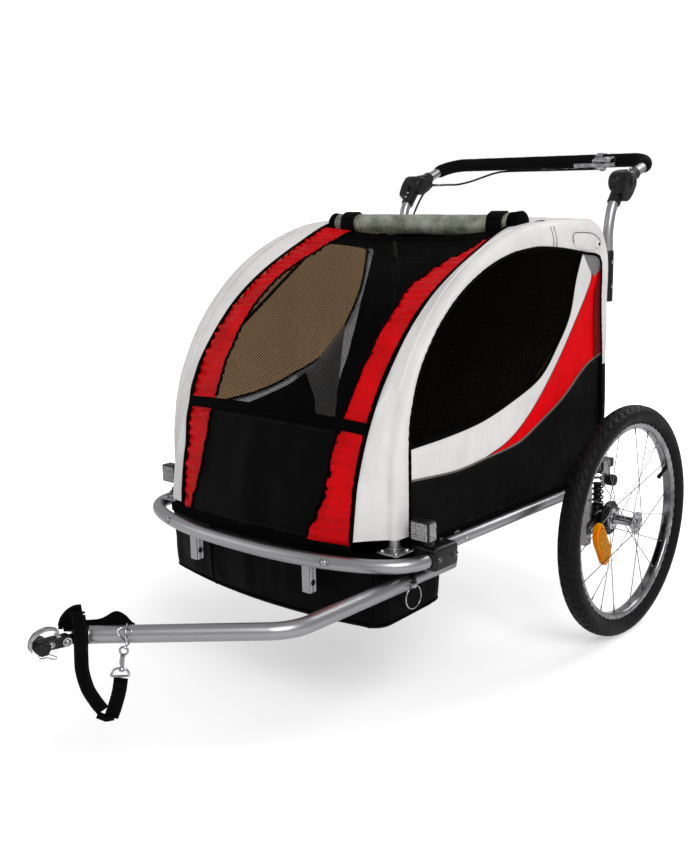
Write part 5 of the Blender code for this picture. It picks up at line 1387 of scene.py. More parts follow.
@dataclass
class SideCloth:
    """Tinted window, coloured swooshes, lower panel and their piping on both sides."""

    plane: float = 0.2888
    lower_window: tuple = ((-0.6405, 0.5165), (-0.530, 0.520), (-0.427, 0.529), (-0.332, 0.550),
                           (-0.231, 0.583), (-0.170, 0.637), (-0.126, 0.692), (-0.1050, 0.760),
                           (-0.0800, 0.8165))
    far_window: tuple = ((-0.6405, 0.5150), (-0.530, 0.517), (-0.427, 0.523), (-0.332, 0.543),
                         (-0.231, 0.573), (-0.163, 0.622), (-0.112, 0.682), (-0.0810, 0.740),
                         (-0.0620, 0.8150))
    white_right: tuple = ((-0.0640, 0.8080), (-0.0490, 0.788), (-0.0390, 0.763), (-0.0560, 0.733),
                          (-0.0900, 0.690), (-0.161, 0.608), (-0.230, 0.542), (-0.289, 0.4985),
                          (-0.345, 0.4715), (-0.411, 0.4560))
    swoosh_low: tuple = ((-0.411, 0.4560), (-0.508, 0.4500), (-0.6405, 0.4590))
    grey_line: tuple = ((0.0060, 0.6000), (-0.046, 0.585), (-0.090, 0.561), (-0.120, 0.541),
                        (-0.160, 0.519), (-0.207, 0.500), (-0.289, 0.468), (-0.345, 0.4590),
                        (-0.411, 0.4545), (-0.508, 0.4485), (-0.6405, 0.4575))

    def fill(self, forge: Forge, first: Route, second: Route, sign: int, finish: Finish, count: int,
             across: int, wave: float, proud: float = 0.0, thickness: float = 0.0012,
             lining: Optional[Finish] = None) -> None:
        """Cloth between two curves of the side view, lightly dragged.

        Args:
            forge: the piece that takes the cloth.
            first: one side-view curve.
            second: the other one.
            sign: 1 on the left, -1 on the right.
            finish: what it is finished in.
            count: steps along the curves.
            across: steps between them.
            wave: how far the cloth is dragged in and out.
            proud: how far outside the side's plane it lies.
            thickness: how thick it is.
            lining: its inner layer's finish, if it isn't the outer one's.
        """
        one, two = evenly(first, count), evenly(second, count)
        rows = []
        for a, b in zip(one, two):
            row = []
            for k in range(across + 1):
                y, z = a.lerp(b, k / across).xy
                fade = 4.0 * (k / across) * (1 - k / across)
                push = wave * fade * (cloud(Vector((y, z, sign)), 0.06) + 0.5 * cloud(
                    Vector((y * 0.5 + z, z * 0.3, 4)), 0.02))
                row.append(Vector((sign * (self.plane + proud + push), y, z)))
            rows.append(row)
        forge.sheet(rows, finish, thickness, Vector((0.0, -0.2, 0.6)), lining)

    def build(self) -> None:
        """Make both sides."""
        right = smooth_route(self.white_right, 6)
        under = smooth_route(self.grey_line, 6)
        front = CABIN.window[0] - CABIN.window[2] + 0.0012
        rear = [Vector((y - 0.001, z - 0.001, 0)) for y, z in CABIN.piping_rear()]
        arch = [Vector((CABIN.window[0] - (CABIN.window[2] - 0.0012) * math.cos(math.radians(a)),
                        CABIN.window[1] + (CABIN.window[3] - 0.0012) * math.sin(math.radians(a)), 0))
                for a in range(0, 91, 3)] + [rear[0], rear[1].lerp(rear[0], 0.86)]
        for side, sign in SIDES:
            low = smooth_route(self.lower_window if sign > 0 else self.far_window, 6)
            glass = Forge("window_film_" + side)
            self.fill(glass, arch, [Vector((max(front, p.x), p.y, 0)) for p in low], sign, Looks.TINT,
                      60, 14, 0.0006, 0.0004)
            film = glass.done("trailer", "side_window_" + side, slot="tinted_window")
            panel = Forge("side_cloth_" + side)
            edge = [Vector((max(front, p.x), p.y, 0)) for p in low[:-1]]
            bottom = [Vector((max(front, p.x), p.y, 0)) for p in reversed(
                right + smooth_route(self.swoosh_low, 5)[1:])]
            self.fill(panel, edge + [low[-1]], bottom, sign, Looks.WHITE, 90, 10, 0.0010,
                      lining=Looks.SHEER)
            back = [rear[1].lerp(rear[2], 0.4), rear[2], rear[3], rear[4], rear[5]]
            red_right = smooth_route([p.xy for p in back], 5) + [p for p in under if
                                                               -0.405 < p.x < 0.004]
            red_left = [p for p in right if p.x > -0.411 and p.y < 0.81]
            self.fill(panel, red_left, red_right, sign, Looks.RED, 80, 12, 0.0014, lining=Looks.SHEER)
            # Painted shade: a strip of darker red along the rear piping stands for the shadow of the fold
            # there.
            fold = [rear[3].lerp(rear[4], 0.35), rear[4], rear[4].lerp(rear[5], 0.5), rear[5]]
            fold = evenly(smooth_route([p.xy for p in fold], 5), 30)
            self.fill(panel, [p + Vector((-0.0270 * eased(k / 11) - 0.001, -0.0075 * k / 30, 0))
                              for k, p in enumerate(fold)], [p + Vector((-0.0008, 0, 0)) for p in fold],
                      sign, Looks.FOLD_SHADE_RED, 30, 6, 0.0003, 0.0022, 0.0008)
            self.grey_pane(panel, sign)
            step, floor_z = -0.0845, 0.326
            base = smooth_route([(0.014, 0.386), (step, 0.386)], 4) + smooth_route(
                [(step, floor_z), (-0.5745, floor_z)], 8) + smooth_route(
                [(-0.5745, 0.3483), (front, 0.3483)], 4)
            top_line = [Vector((min(max(front, p.x), 0.008 + (0.60 - p.y) * 0.03), p.y, 0)) for p in under]
            self.fill(panel, top_line, base, sign, Looks.BLACK, 90, 16, 0.0011)
            self.piping(panel, sign, under, low, right)
            self.inside(panel, sign)
            wall = panel.done("trailer", "side_panel_" + side, slot="black_cloth")

    def inside(self, panel: Forge, sign: int) -> None:
        """Black wing from the wall to the seat's edge, the wall's pocket and pale lining.

        Args:
            panel: the piece that takes them.
            sign: 1 on the left, -1 on the right.
        """
        wall = smooth_route([(-0.2150, 0.372), (-0.2016, 0.432), (-0.1746, 0.511), (-0.1369, 0.589),
                             (-0.0872, 0.701), (-0.0404, 0.812)], 5)
        seat = smooth_route([(-0.1190, 0.372), (-0.0960, 0.432), (-0.0850, 0.511), (-0.0745, 0.589),
                             (-0.0525, 0.701), (-0.0310, 0.786)], 5)
        rows = []
        for a, b in zip(wall, seat):
            rows.append([Vector((sign * (0.2858 - 0.0538 * k / 8), *a.lerp(b, k / 8).xy)) + Vector(
                (0.0, 0.010 * math.sin(math.pi * k / 8) + 0.003 * cloud(Vector((k * 0.01, a.y, sign)), 0.06),
                 0.0)) for k in range(9)])
        panel.sheet(rows, Looks.LINING, 0.0016, Vector((sign * 0.26, 0.1, 0.6)))
        mouth = smooth_route([(-0.560, 0.495), (-0.4846, 0.5030), (-0.4094, 0.5155), (-0.3402, 0.5295),
                              (-0.2945, 0.5455)], 6)
        foot = smooth_route([(-0.560, 0.410), (-0.480, 0.392), (-0.400, 0.390), (-0.330, 0.402),
                             (-0.272, 0.440), (-0.2670, 0.480)], 6)
        self.fill(panel, mouth, foot, sign, Looks.LINING, 40, 8, 0.0020, -0.0068, 0.0014)
        above = smooth_route([(-0.320, 0.5480), (-0.270, 0.5560), (-0.225, 0.5900), (-0.155, 0.6420)], 5)
        below = smooth_route([(-0.320, 0.4150), (-0.275, 0.4150), (-0.235, 0.4150), (-0.200, 0.4150)], 5)
        self.fill(panel, above, below, sign, Looks.SHEER, 16, 8, 0.0016, -0.0044, 0.0008)

    def grey_pane(self, panel: Forge, sign: int) -> None:
        """Small reflective patch between the swoosh's tip and the rear piping.

        Args:
            panel: the piece that takes it.
            sign: 1 on the left, -1 on the right.
        """
        outline = [(-0.0720, 0.8125), (-0.0450, 0.8100), (-0.0130, 0.8030), (-0.0040, 0.7960),
                   (-0.0030, 0.7780), (-0.0302, 0.7610), (-0.0480, 0.7780), (-0.0620, 0.7950)]
        if sign < 0:
            outline = [(max(y, -0.052), z) for y, z in outline[1:-1]]
        panel.plate(outline, Vector((sign * (self.plane + 0.0008), 0, 0)), BACK, UP, 0.0014,
                    Looks.GREY, 0.0003)

    def piping(self, panel: Forge, sign: int, under: Route, low: Route, right: Route) -> None:
        """Grey piping under the swoosh, dark edge of the film and the thin seam between colours.

        Args:
            panel: the piece that takes it.
            sign: 1 on the left, -1 on the right.
            under: the swoosh's lower edge.
            low: the window's lower edge.
            right: the line between white and red.
        """
        def lifted(route: Route, out: float) -> list[Vector]:
            """Bring a side-view route to the outside of the cloth."""
            return [Vector((sign * (self.plane + out), p.x, p.y)) for p in route]

        panel.sweep(lifted(evenly(under, 110), 0.0009), 0.0021, Looks.PIPING, sides=8)
        film = lifted([Vector((max(p.x, -0.640), p.y, 0)) for p in evenly(low, 120)], 0.0008)
        panel.sweep(film, [(-0.0042, -0.0008), (0.0042, -0.0008), (0.0042, 0.0004), (0.0, 0.0014),
                           (-0.0042, 0.0004)], Looks.BINDING, up=sideways(sign))
        panel.sweep(lifted(evenly(right, 90), 0.0004), 0.0008, Looks.THREAD, sides=6)
        hem = [Vector((-0.570, 0.3475, 0)), Vector((-0.40, 0.3475, 0)), Vector((-0.20, 0.3475, 0)),
               Vector((-0.092, 0.3475, 0))]
        panel.stitches(lifted(hem, 0.0008), Looks.THREAD)
        line = [Vector((p.x, p.y - 0.006, 0)) for p in evenly(under, 100)]
        panel.stitches(lifted(line, 0.0006), Looks.THREAD)


@dataclass
class Wheel:
    """Treaded tyre, polished rim, laced hub and amber reflector of one wheel."""

    side: str
    sign: int
    x: float = 0.360
    tyre_r: float = AXLE_Z
    tip_r: float = 0.1972
    grooves: int = 64
    groove_depth: float = 0.0030
    flange_x: float = 0.0275
    root_r: float = 0.0195
    lean: float = 72.0
    spoke_r: float = 0.0009

    @property
    def centre(self) -> Vector:
        """Middle of the wheel."""
        return Vector((self.sign * self.x, 0.0, AXLE_Z))

    @property
    def body(self) -> str:
        """The body that turns."""
        return "wheel_" + self.side

    def tread(self, t: float, along: float) -> float:
        """Height of the tread: zigzag grooves over the shoulders, a plain centre rib.

        Args:
            t: angle round the wheel, in radians.
            along: place across the tyre.

        Returns:
            What is added to the radius.
        """
        edge = abs(along)
        if edge > 0.0205:
            return 0.0
        lean = 0.55 * abs((edge / 0.0050) % 2.0 - 1.0)
        phase = (t * self.grooves / math.tau + lean + (0.5 if along > 0 else 0.0)) % 1.0
        wide = 0.10 + 0.05 * min(1.0, edge / 0.015)
        cut = max(0.0, 1.0 - abs(phase - 0.5) / wide)
        fade = min(1.0, max(0.0, edge - 0.0022) / 0.002) * min(1.0, (0.0205 - edge) / 0.003)
        rib = max(0.0, 1.0 - abs(edge - 0.0022) / 0.0009) * 0.6
        return -self.groove_depth * max(min(1.0, cut * 1.8) * fade, rib * 0.6)

    def tyre(self) -> None:
        """Tyre with its tread, shoulder line and bead."""
        half = [(0.0, self.tyre_r), (0.009, 0.2462), (0.0150, 0.2435), (0.0195, 0.2395), (0.0218, 0.2345),
                (0.0226, 0.2296), (0.0222, 0.2250), (0.0205, 0.2202), (0.0180, 0.2165), (0.0150, 0.2128),
                (0.0118, 0.2106)]
        fine = [(p.x, p.y) for p in smooth_route(half, 3)]
        fine = [(a, r + (0.0006 if abs(r - 0.2225) < 0.0009 or abs(r - 0.2150) < 0.0008 else 0.0))
                for a, r in fine]
        profile = [(-a, r) for a, r in reversed(fine)] + fine[1:]
        tyre = Forge("tyre_tread_" + self.side)
        tyre.turn(profile, self.centre, LEFT, Looks.RUBBER, self.grooves * 9, ring=True,
                  wave=self.tread)
        tyre.done(self.body, "tyre_" + self.side, slot="rubber", angle=50.0)

    def rim(self) -> None:
        """Box-section rim with spoke nipples, valve and joint."""
        rim = Forge("rim_polished_" + self.side)
        half = [(0.0122, 0.2098), (0.0125, 0.2075), (0.0119, 0.2058), (0.0122, 0.2035), (0.0116, 0.2008),
                (0.0095, 0.1988), (0.0062, 0.1977), (0.0, 0.1975)]
        rim.turn([(-a, r) for a, r in half] + [(a, r) for a, r in reversed(half[:-1])]
                 + [(0.0085, 0.2096), (0.0, 0.2050), (-0.0085, 0.2096)],
                 self.centre, LEFT, Looks.RIM, 120, ring=True)
        for start, tip in self.runs():
            back = (start - tip).normalized()
            rim.turn([(-0.0012, 0.0026), (0.0010, 0.0026), (0.0020, 0.0017), (0.0105, 0.0015),
                      (0.0112, 0.0009), (0.0112, 0.0)], tip, back, Looks.SPOKE, 8)
        out = Vector((0.0, 0.92, 0.39))
        foot = self.centre + out * 0.1985
        rim.turn([(0.0, 0.0052), (0.0022, 0.0052), (0.0026, 0.0042), (0.013, 0.0041), (0.0135, 0.0038),
                  (0.0240, 0.0038), (0.0245, 0.0048), (0.0350, 0.0046), (0.0362, 0.0030), (0.0362, 0.0)],
                 foot, -out, Looks.RUBBER, 18)
        rim.done(self.body, "rim_" + self.side, slot="chrome")

    def runs(self) -> list[tuple[Vector, Vector]]:
        """Lace the spokes as on the solid hub.

        Returns:
            Both ends of every spoke.
        """
        runs = []
        for k in range(5):
            for flange in (1, -1):
                for lean in (1, -1):
                    turn = math.tau * (k + (0.5 if flange < 0 else 0.0)) / 5 + lean * math.tau / 40
                    root_turn = turn - lean * math.radians(self.lean)
                    root = Vector((flange * self.flange_x + lean * 0.0017,
                                   self.root_r * math.cos(root_turn), self.root_r * math.sin(root_turn)))
                    tip = Vector((flange * 0.002, self.tip_r * math.cos(turn),
                                  self.tip_r * math.sin(turn)))
                    runs.append((self.centre + root, self.centre + tip))
        return runs

    def hub(self) -> None:
        """Hub shell with flanges whose drilled holes are painted as black discs, bearing faces and the laced
        spokes.
        """
        hub = Forge("hub_laced_" + self.side)
        x, cut = self.flange_x, 0.0064
        half = [(x + 0.0045, cut), (x + 0.0045, 0.0095), (x + 0.0036, 0.0110), (x + 0.0017, 0.0112),
                (x + 0.0015, 0.0232), (x + 0.0008, 0.0240), (x - 0.0008, 0.0240), (x - 0.0015, 0.0232),
                (x - 0.0018, 0.0125), (x - 0.0050, 0.0108), (0.006, 0.0100), (0.0, 0.0099)]
        hub.turn([(-a, r) for a, r in half] + [(a, r) for a, r in reversed(half[:-1])], self.centre,
                 LEFT, Looks.CHROME, 48, ring=True)
        for start, tip in self.runs():
            hub.rod(start, tip, self.spoke_r, Looks.SPOKE, steps=8)
            bend = Vector((1.0 if start.x > self.centre.x else -1.0, 0, 0))
            hub.turn([(-0.0016, 0.0), (-0.0016, 0.0016), (-0.0004, 0.0019), (0.0006, 0.0013), (0.0006, 0.0)],
                     start, bend, Looks.CHROME, 8)
        # Painted shade: black discs on each flange stand for the dark inside of drilled holes; the flanges
        # are not cut through.
        for flange in (1, -1):
            for k in range(10):
                t = math.tau * (k + 0.5) / 10
                spot = self.centre + Vector((flange * (x + 0.0011), 0.0186 * math.cos(t),
                                             0.0186 * math.sin(t)))
                hub.turn([(0.0, 0.0023), (0.0007, 0.0023), (0.0008, 0.0019), (0.0006, 0.0)], spot,
                         sideways(flange), Looks.STEEL, 12)
        hub.done(self.body, "hub_and_spokes_" + self.side, slot="chrome")

    def reflector(self) -> None:
        """Amber reflector with a raised rim, ribs and its clip on the spokes."""
        lens = Forge("amber_reflector_" + self.side)
        spot = self.centre + Vector((self.sign * 0.0030, -self.sign * 0.1026, -0.0252))
        along = Vector((0.0, self.sign * 0.193, -0.981))
        out = sideways(self.sign)
        across = out.cross(along)
        outline = []
        for k in range(56):
            t = math.tau * k / 56
            a, b = 0.0498 * math.cos(t), 0.0200 * math.sin(t)
            outline.append((a, b + 0.0070 * math.sin(a * 50.0)))
        lens.plate(outline, spot, along, across, 0.0120, Looks.AMBER, 0.0032)
        inner = [(a * 0.80, b * 0.74) for a, b in outline]
        for sign in (1, -1):
            lens.plate(inner, spot + out * sign * 0.0062, along, across, 0.0016, Looks.AMBER, 0.0005)
            for k in range(-4, 5):
                a = k * 0.0085
                wide = 0.0142 * math.sqrt(max(0.0, 1 - (a / 0.044) ** 2))
                mid = spot + out * sign * 0.0071 + along * a + across * 0.0070 * math.sin(a * 50.0)
                lens.sweep([mid - across * wide, mid + across * wide],
                           [(-0.0030, 0.0), (0.0030, 0.0), (0.0, 0.0009)], Looks.AMBER, up=out)
        lens.block(spot - along * 0.040, (0.0138, 0.010, 0.007), Looks.AMBER, 0.0012)
        lens.bolt(spot - along * 0.040 + out * 0.0066, out, 0.0022, Looks.CHROME, washer=False, dome=True)
        lens.done(self.body, "spoke_reflector_" + self.side, slot="amber_lens")

    def build(self) -> None:
        """Make the whole wheel."""
        self.tyre()
        self.rim()
        self.hub()
        self.reflector()


@dataclass
class Suspension:
    """Silver post with its shelf and knob, and the sprung arm that carries the wheel."""

    side: str
    sign: int
    rail_x: float = 0.3015
    post_y: float = -0.064
    face_x: float = 0.312
    shelf_x: float = 0.287
    knob_z: float = 0.331
    hinge_z: float = 0.235
    spring_at: Flat = (0.2960, -0.005)
    spring_z: Flat = (0.2764, 0.3496)
    coil_r: float = 0.0120
    curls: int = 6

    def spot(self, x: float, y: float, z: float) -> Vector:
        """A place on this side."""
        return Vector((self.sign * x, y, z))

    def bracket(self) -> None:
        """Post, shelf, release knob and their screws."""
        out = sideways(self.sign)
        post = Forge("wheel_post_" + self.side)
        post.block(self.spot(self.rail_x, self.post_y, 0.2855), (0.021, 0.021, 0.173), Looks.SILVER, 0.0026)
        post.block(self.spot(self.shelf_x, -0.0188, 0.3618), (0.050, 0.1094, 0.0195), Looks.STEEL, 0.0022)
        post.block(self.spot(self.shelf_x, 0.030, 0.3618), (0.0488, 0.0118, 0.0175), Looks.PLASTIC, 0.0030)
        post.block(self.spot(0.3137, 0.0, 0.344), (0.0034, 0.028, 0.052), Looks.SILVER, 0.0012)
        knob = [(0.0, 0.0075), (0.0035, 0.0080), (0.0055, 0.0118), (0.0185, 0.0125), (0.0215, 0.0110),
                (0.0228, 0.0070), (0.0228, 0.0)]
        post.turn(knob, self.spot(self.face_x + 0.0015, 0.0, self.knob_z), out, Looks.PLASTIC, 60,
                  wave=lambda t, a: -0.0011 * max(0.0, math.cos(t * 10)) if 0.005 < a < 0.022 else 0.0)
        post.turn([(-0.006, 0.0), (-0.006, 0.0048), (0.0, 0.0048), (0.001, 0.0)],
                  self.spot(self.face_x + 0.0255, 0.0, self.knob_z), out, Looks.PLASTIC, 16)
        for z in (0.215, 0.300, 0.362):
            post.bolt(self.spot(self.face_x, self.post_y, z), out, 0.0042, Looks.CHROME, dome=z != 0.300)
        for y in (-0.030, 0.016):
            post.bolt(self.spot(self.shelf_x, y, 0.3715), UP, 0.0040, Looks.CHROME)
        post.turn([(0, 0.0092), (0.0035, 0.0092), (0.0042, 0.0080), (0.0042, 0.0)],
                  self.spot(*self.spring_at, 0.352), -UP, Looks.STEEL, 24)
        post.done("trailer", "wheel_bracket_" + self.side, slot="silver_tube")

    def arm(self) -> None:
        """Pressed arm with cheeks on the post, spring cup, dust cover and axle."""
        out = sideways(self.sign)
        arm = Forge("swing_arm_pressed_" + self.side)
        arm.block(self.spot(self.rail_x, -0.0105, 0.246), (0.030, 0.0645, 0.0395), Looks.STEEL, 0.0050)
        for x in (0.2885, 0.3145):
            arm.plate([(-0.0765, 0.226), (-0.060, 0.2235), (-0.036, 0.2270), (-0.030, 0.246),
                       (-0.036, 0.2640), (-0.058, 0.2500), (-0.0730, 0.2480), (-0.0785, 0.2380)],
                      self.spot(x, 0, 0), BACK, UP, 0.0038, Looks.STEEL, 0.0010)
            face = out if x > self.rail_x else -out
            arm.bolt(self.spot(x, self.post_y, self.hinge_z), face, 0.0048, Looks.CHROME)
        arm.block(self.spot(self.rail_x, 0.004, 0.2570), (0.024, 0.022, 0.022), Looks.STEEL, 0.004)
        arm.turn([(-0.004, 0.0), (-0.004, 0.0142), (0.0060, 0.0142), (0.0078, 0.0135), (0.0078, 0.0112),
                  (0.0050, 0.0105), (0.0050, 0.0)], self.spot(*self.spring_at, 0.2660), UP, Looks.STEEL, 32)
        arm.turn([(0.0, 0.0160), (0.0010, 0.0165), (0.0010, 0.0330), (0.0022, 0.0362), (0.0060, 0.0370),
                  (0.0088, 0.0360), (0.0090, 0.0335), (0.0066, 0.0310), (0.0062, 0.0215), (0.0084, 0.0195),
                  (0.0088, 0.0120), (0.0088, 0.0)], self.spot(0.3186, 0, AXLE_Z), out, Looks.STEEL, 56)
        for k in range(6):
            t = math.tau * k / 6
            place = self.spot(0.3246, 0.0265 * math.cos(t), AXLE_Z + 0.0265 * math.sin(t))
            arm.turn([(0, 0.0034), (0.0012, 0.0034), (0.0018, 0.0022), (0.0018, 0.0)], place, out,
                     Looks.STEEL, 14)
        arm.rod(self.spot(0.312, 0, AXLE_Z), self.spot(0.3205, 0, AXLE_Z), 0.0158, Looks.STEEL)
        arm.rod(self.spot(0.314, 0, AXLE_Z), self.spot(0.3947, 0, AXLE_Z), 0.0058, Looks.CHROME)
        arm.turn([(0.0003, 0.0), (0.0003, 0.0094), (0.0018, 0.0094), (0.0034, 0.0080), (0.0056, 0.0058),
                  (0.0060, 0.0)], self.spot(0.392, 0, AXLE_Z), out, Looks.CHROME, 6)
        arm.turn([(0.0050, 0.0), (0.0050, 0.0046), (0.0062, 0.0038), (0.0066, 0.0)],
                 self.spot(0.392, 0, AXLE_Z), out, Looks.CHROME, 20)
        arm.done("swing_arm_" + self.side, "suspension_arm_" + self.side, slot="black_steel")

    def spring(self) -> None:
        """Wound spring round its rubber boot, built in one fixed shape, though on the trailer it closes up as
        the arm rises.
        """
        (x, y), (low, high), steps = self.spring_at, self.spring_z, 20
        x, route = self.sign * x, []
        for k in range(self.curls * steps + 1):
            t = math.tau * k / steps
            route.append(Vector((x + self.coil_r * math.cos(t), y + self.coil_r * math.sin(t),
                                 low + (high - low) * k / (self.curls * steps))))
        coil = Forge("coil_spring_" + self.side)
        coil.sweep(route, 0.0021, Looks.STEEL, sides=10)
        coil.sweep([Vector((x, y, 0.2688 + 0.0532 * k / 16)) for k in range(17)], 0.0080, Looks.RUBBER,
                   sides=20, taper=lambda t: 1.0 - 0.2 * max(0.0, t - 0.95) / 0.05)
        piece = coil.done("", "suspension_spring_" + self.side, slot="black_steel")
        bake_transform(piece)

    def build(self) -> None:
        """Make the bracket, the arm and the spring."""
        self.bracket()
        self.arm()
        self.spring()


@dataclass
class FloorFrame:
    """Rails, cross tubes, arches, bumper and corner clamps."""

    rail_x: float = 0.3015
    z: float = 0.3265
    cross_y: Flat = (-0.505, -0.105)
    tongue_x: float = 0.2975
    tongue_z: float = 0.285
    arch_r: float = 0.0105
    bumper_r: float = 0.0127
    socket_x: float = 0.148
    clamp_x: float = 0.3176

    def weld(self, forge: Forge, place: Vector, axis: Vector, radius: float) -> None:
        """A bead of weld round a tube where it meets another."""
        forge.turn(arc((0.0, radius), (0.0017, 0.0017), 0, 360, 8)[:-1], place, axis, Looks.SILVER, 40,
                   ring=True, wave=lambda t, a: 0.00035 * math.sin(t * 17))

    def rails(self) -> None:
        """Side rails, two cross tubes and the tongue for the tow bar."""
        frame_tubes = Forge("floor_tubes")
        for _, sign in SIDES:
            frame_tubes.rod(Vector((sign * self.rail_x, -0.640, self.z)),
                            Vector((sign * self.rail_x, -0.0748, self.z)), 0.011, Looks.SILVER, steps=32)
            for y in self.cross_y:
                self.weld(frame_tubes, Vector((sign * (self.rail_x - 0.0112), y, self.z)),
                          LEFT, 0.0093)
                frame_tubes.bolt(Vector((sign * (self.rail_x + 0.0106), y, self.z)), sideways(sign),
                                 0.0040, Looks.CHROME, dome=True)
        for y in self.cross_y:
            frame_tubes.rod(Vector((-self.rail_x, y, self.z)), Vector((self.rail_x, y, self.z)), 0.009,
                            Looks.SILVER, steps=28)
        frame_tubes.rod(Vector((self.tongue_x, -0.530, self.tongue_z)),
                        Vector((self.tongue_x, -0.720, self.tongue_z)), 0.0112, Looks.SILVER, 0.002, 32)
        frame_tubes.block((self.tongue_x, -0.552, 0.3058), (0.006, 0.036, 0.0415), Looks.SILVER, 0.0015)
        frame_tubes.done("trailer", "floor_frame", slot="silver_tube")

    def arches(self) -> None:
        """Arch tubes with their foot plates and the roof crossbar."""
        inset = 0.0022 + 0.0017 + self.arch_r
        y, z, a, b = CABIN.outer
        route = [(y - a + inset, 0.3410)]
        route += [(y - (a - inset) * math.cos(t), z + (b - inset) * math.sin(t))
                  for t in (math.radians(3.0 * k) for k in range(31))]
        ry, rz, ra, rb = CABIN.rear
        route += [(ry + (ra - inset) * math.cos(t), rz + (rb - inset) * math.sin(t))
                  for t in (math.radians(90 - 6 * k) for k in range(16))]
        route.append((CABIN.rear_y - inset, 0.3724))
        for side, sign in SIDES:
            arch = Forge("arch_tube_" + side)
            arch.sweep([Vector((sign * CABIN.arch_x, p, q)) for p, q in route], self.arch_r,
                       Looks.SILVER, sides=24)
            arch.block((sign * 0.2860, -0.6780, 0.3410), (0.0440, 0.048, 0.0030), Looks.SILVER, 0.0012)
            self.weld(arch, Vector((sign * CABIN.arch_x, route[0][0], 0.3430)), UP, 0.0108)
            for x, py in ((0.300, -0.694), (0.300, -0.664), (0.270, -0.694)):
                arch.bolt(Vector((sign * x, py, 0.3425)), UP, 0.0042, Looks.CHROME, dome=True)
            arch.done("trailer", "side_frame_" + side, slot="silver_tube")
        bar = Forge("roof_bar")
        high = z + b - inset
        bar.rod(Vector((-0.2632, -0.200, high)), Vector((0.2632, -0.200, high)), 0.010, Looks.SILVER, 0.001,
                28)
        bar.done("trailer", "roof_crossbar", slot="silver_tube")

    def bumper(self) -> None:
        """Bowed front tube, its bolts and the two square stroller-wheel sockets."""
        half = [(0.0, -0.7815), (0.100, -0.7775), (0.190, -0.7620), (0.260, -0.7380), (0.305, -0.7095),
                (0.327, -0.6775), (0.332, -0.6450), (0.332, -0.6053)]
        points = [(-x, y, self.z) for x, y in reversed(half[1:])] + [(x, y, self.z) for x, y in half]
        bumper = Forge("bumper_tube")
        bumper.sweep(smooth_route(points, 6), self.bumper_r, Looks.SILVER, sides=32)
        for sign in (1, -1):
            bumper.bolt(Vector((sign * 0.205, -0.7708, self.z + 0.003)), Vector((sign * 0.24, -1, 0.12)),
                        0.0060, Looks.CHROME, dome=True)
            bumper.bolt(Vector((sign * 0.300, -0.7130 - 0.0085, self.z + 0.0065)),
                        Vector((sign * 0.55, -0.7, 0.5)), 0.0032, Looks.CHROME, dome=True)
            x, front, low = sign * self.socket_x, -0.7605, 0.2585
            ring = [(0.0092, 0.0), (0.0092, 0.0088), (0.0, 0.0088), (-0.0092, 0.0088), (-0.0092, -0.0088),
                    (0.0, -0.0088), (0.0092, -0.0088), (0.0092, 0.0)]
            rows = [[Vector((x + a * 0.985, front + 0.012 + c * 0.985, h)) for a, c in ring]
                    for h in (low, low + 0.010, low + 0.030, 0.290, self.z - 0.007)]
            bumper.sheet(rows, Looks.SILVER, 0.0019, Vector((x, front + 0.012, 0.29)))
            bumper.block((x, front + 0.012, 0.311), (0.0155, 0.0148, 0.014), Looks.PLASTIC, 0.001)
            for face in (1, -1):
                bumper.turn([(0.0, 0.0052), (0.0009, 0.0052), (0.0012, 0.0040), (0.0002, 0.0034),
                             (0.0, 0.0)], Vector((x + face * 0.0090, front + 0.012, low + 0.018)),
                            sideways(face), Looks.STEEL, 24)
            self.weld(bumper, Vector((x, front + 0.010, self.z - 0.011)), UP, 0.0118)
        bumper.done("trailer", "front_bumper", slot="silver_tube")

    def clamps(self) -> None:
        """Moulded corner clamps with ribs, a split line and through bolts."""
        for side, sign in SIDES:
            clamp = Forge("corner_clamp_moulded_" + side)
            out = sideways(sign)
            middle = (sign * self.clamp_x, -0.611, self.z)
            clamp.block(middle, (0.0590, 0.0675, 0.0425), Looks.PLASTIC, 0.0075, segments=5)
            clamp.block(middle, (0.0600, 0.0640, 0.0022), Looks.PLASTIC, 0.0008)
            clamp.turn([(0.0, 0.0150), (0.0012, 0.0157), (0.0045, 0.0157), (0.0058, 0.0142)],
                       Vector((sign * 0.332, -0.6505, self.z)), BACK, Looks.PLASTIC, 36,
                       ring=True)
            clamp.turn([(0.0, 0.0119), (0.0058, 0.0140), (0.0070, 0.0147), (0.0070, 0.0125)],
                       Vector((sign * self.rail_x, -0.5775, self.z)), BACK, Looks.PLASTIC, 36,
                       ring=True)
            for y in (-0.634, -0.592):
                clamp.bolt(Vector((sign * 0.3470, y, self.z)), out, 0.0038, Looks.SPOKE)
                clamp.bolt(Vector((sign * self.clamp_x, y, self.z + 0.0210)), UP, 0.0038, Looks.SPOKE)
                clamp.bolt(Vector((sign * self.clamp_x, y, self.z - 0.0210)), -UP, 0.0038, Looks.SPOKE)
            for k in range(4):
                clamp.block((sign * self.clamp_x, -0.627 + k * 0.0105, self.z + 0.0208),
                            (0.046, 0.0016, 0.0022), Looks.PLASTIC, 0.0005)
            clamp.done("trailer", "corner_clamp_" + side, slot="black_plastic")

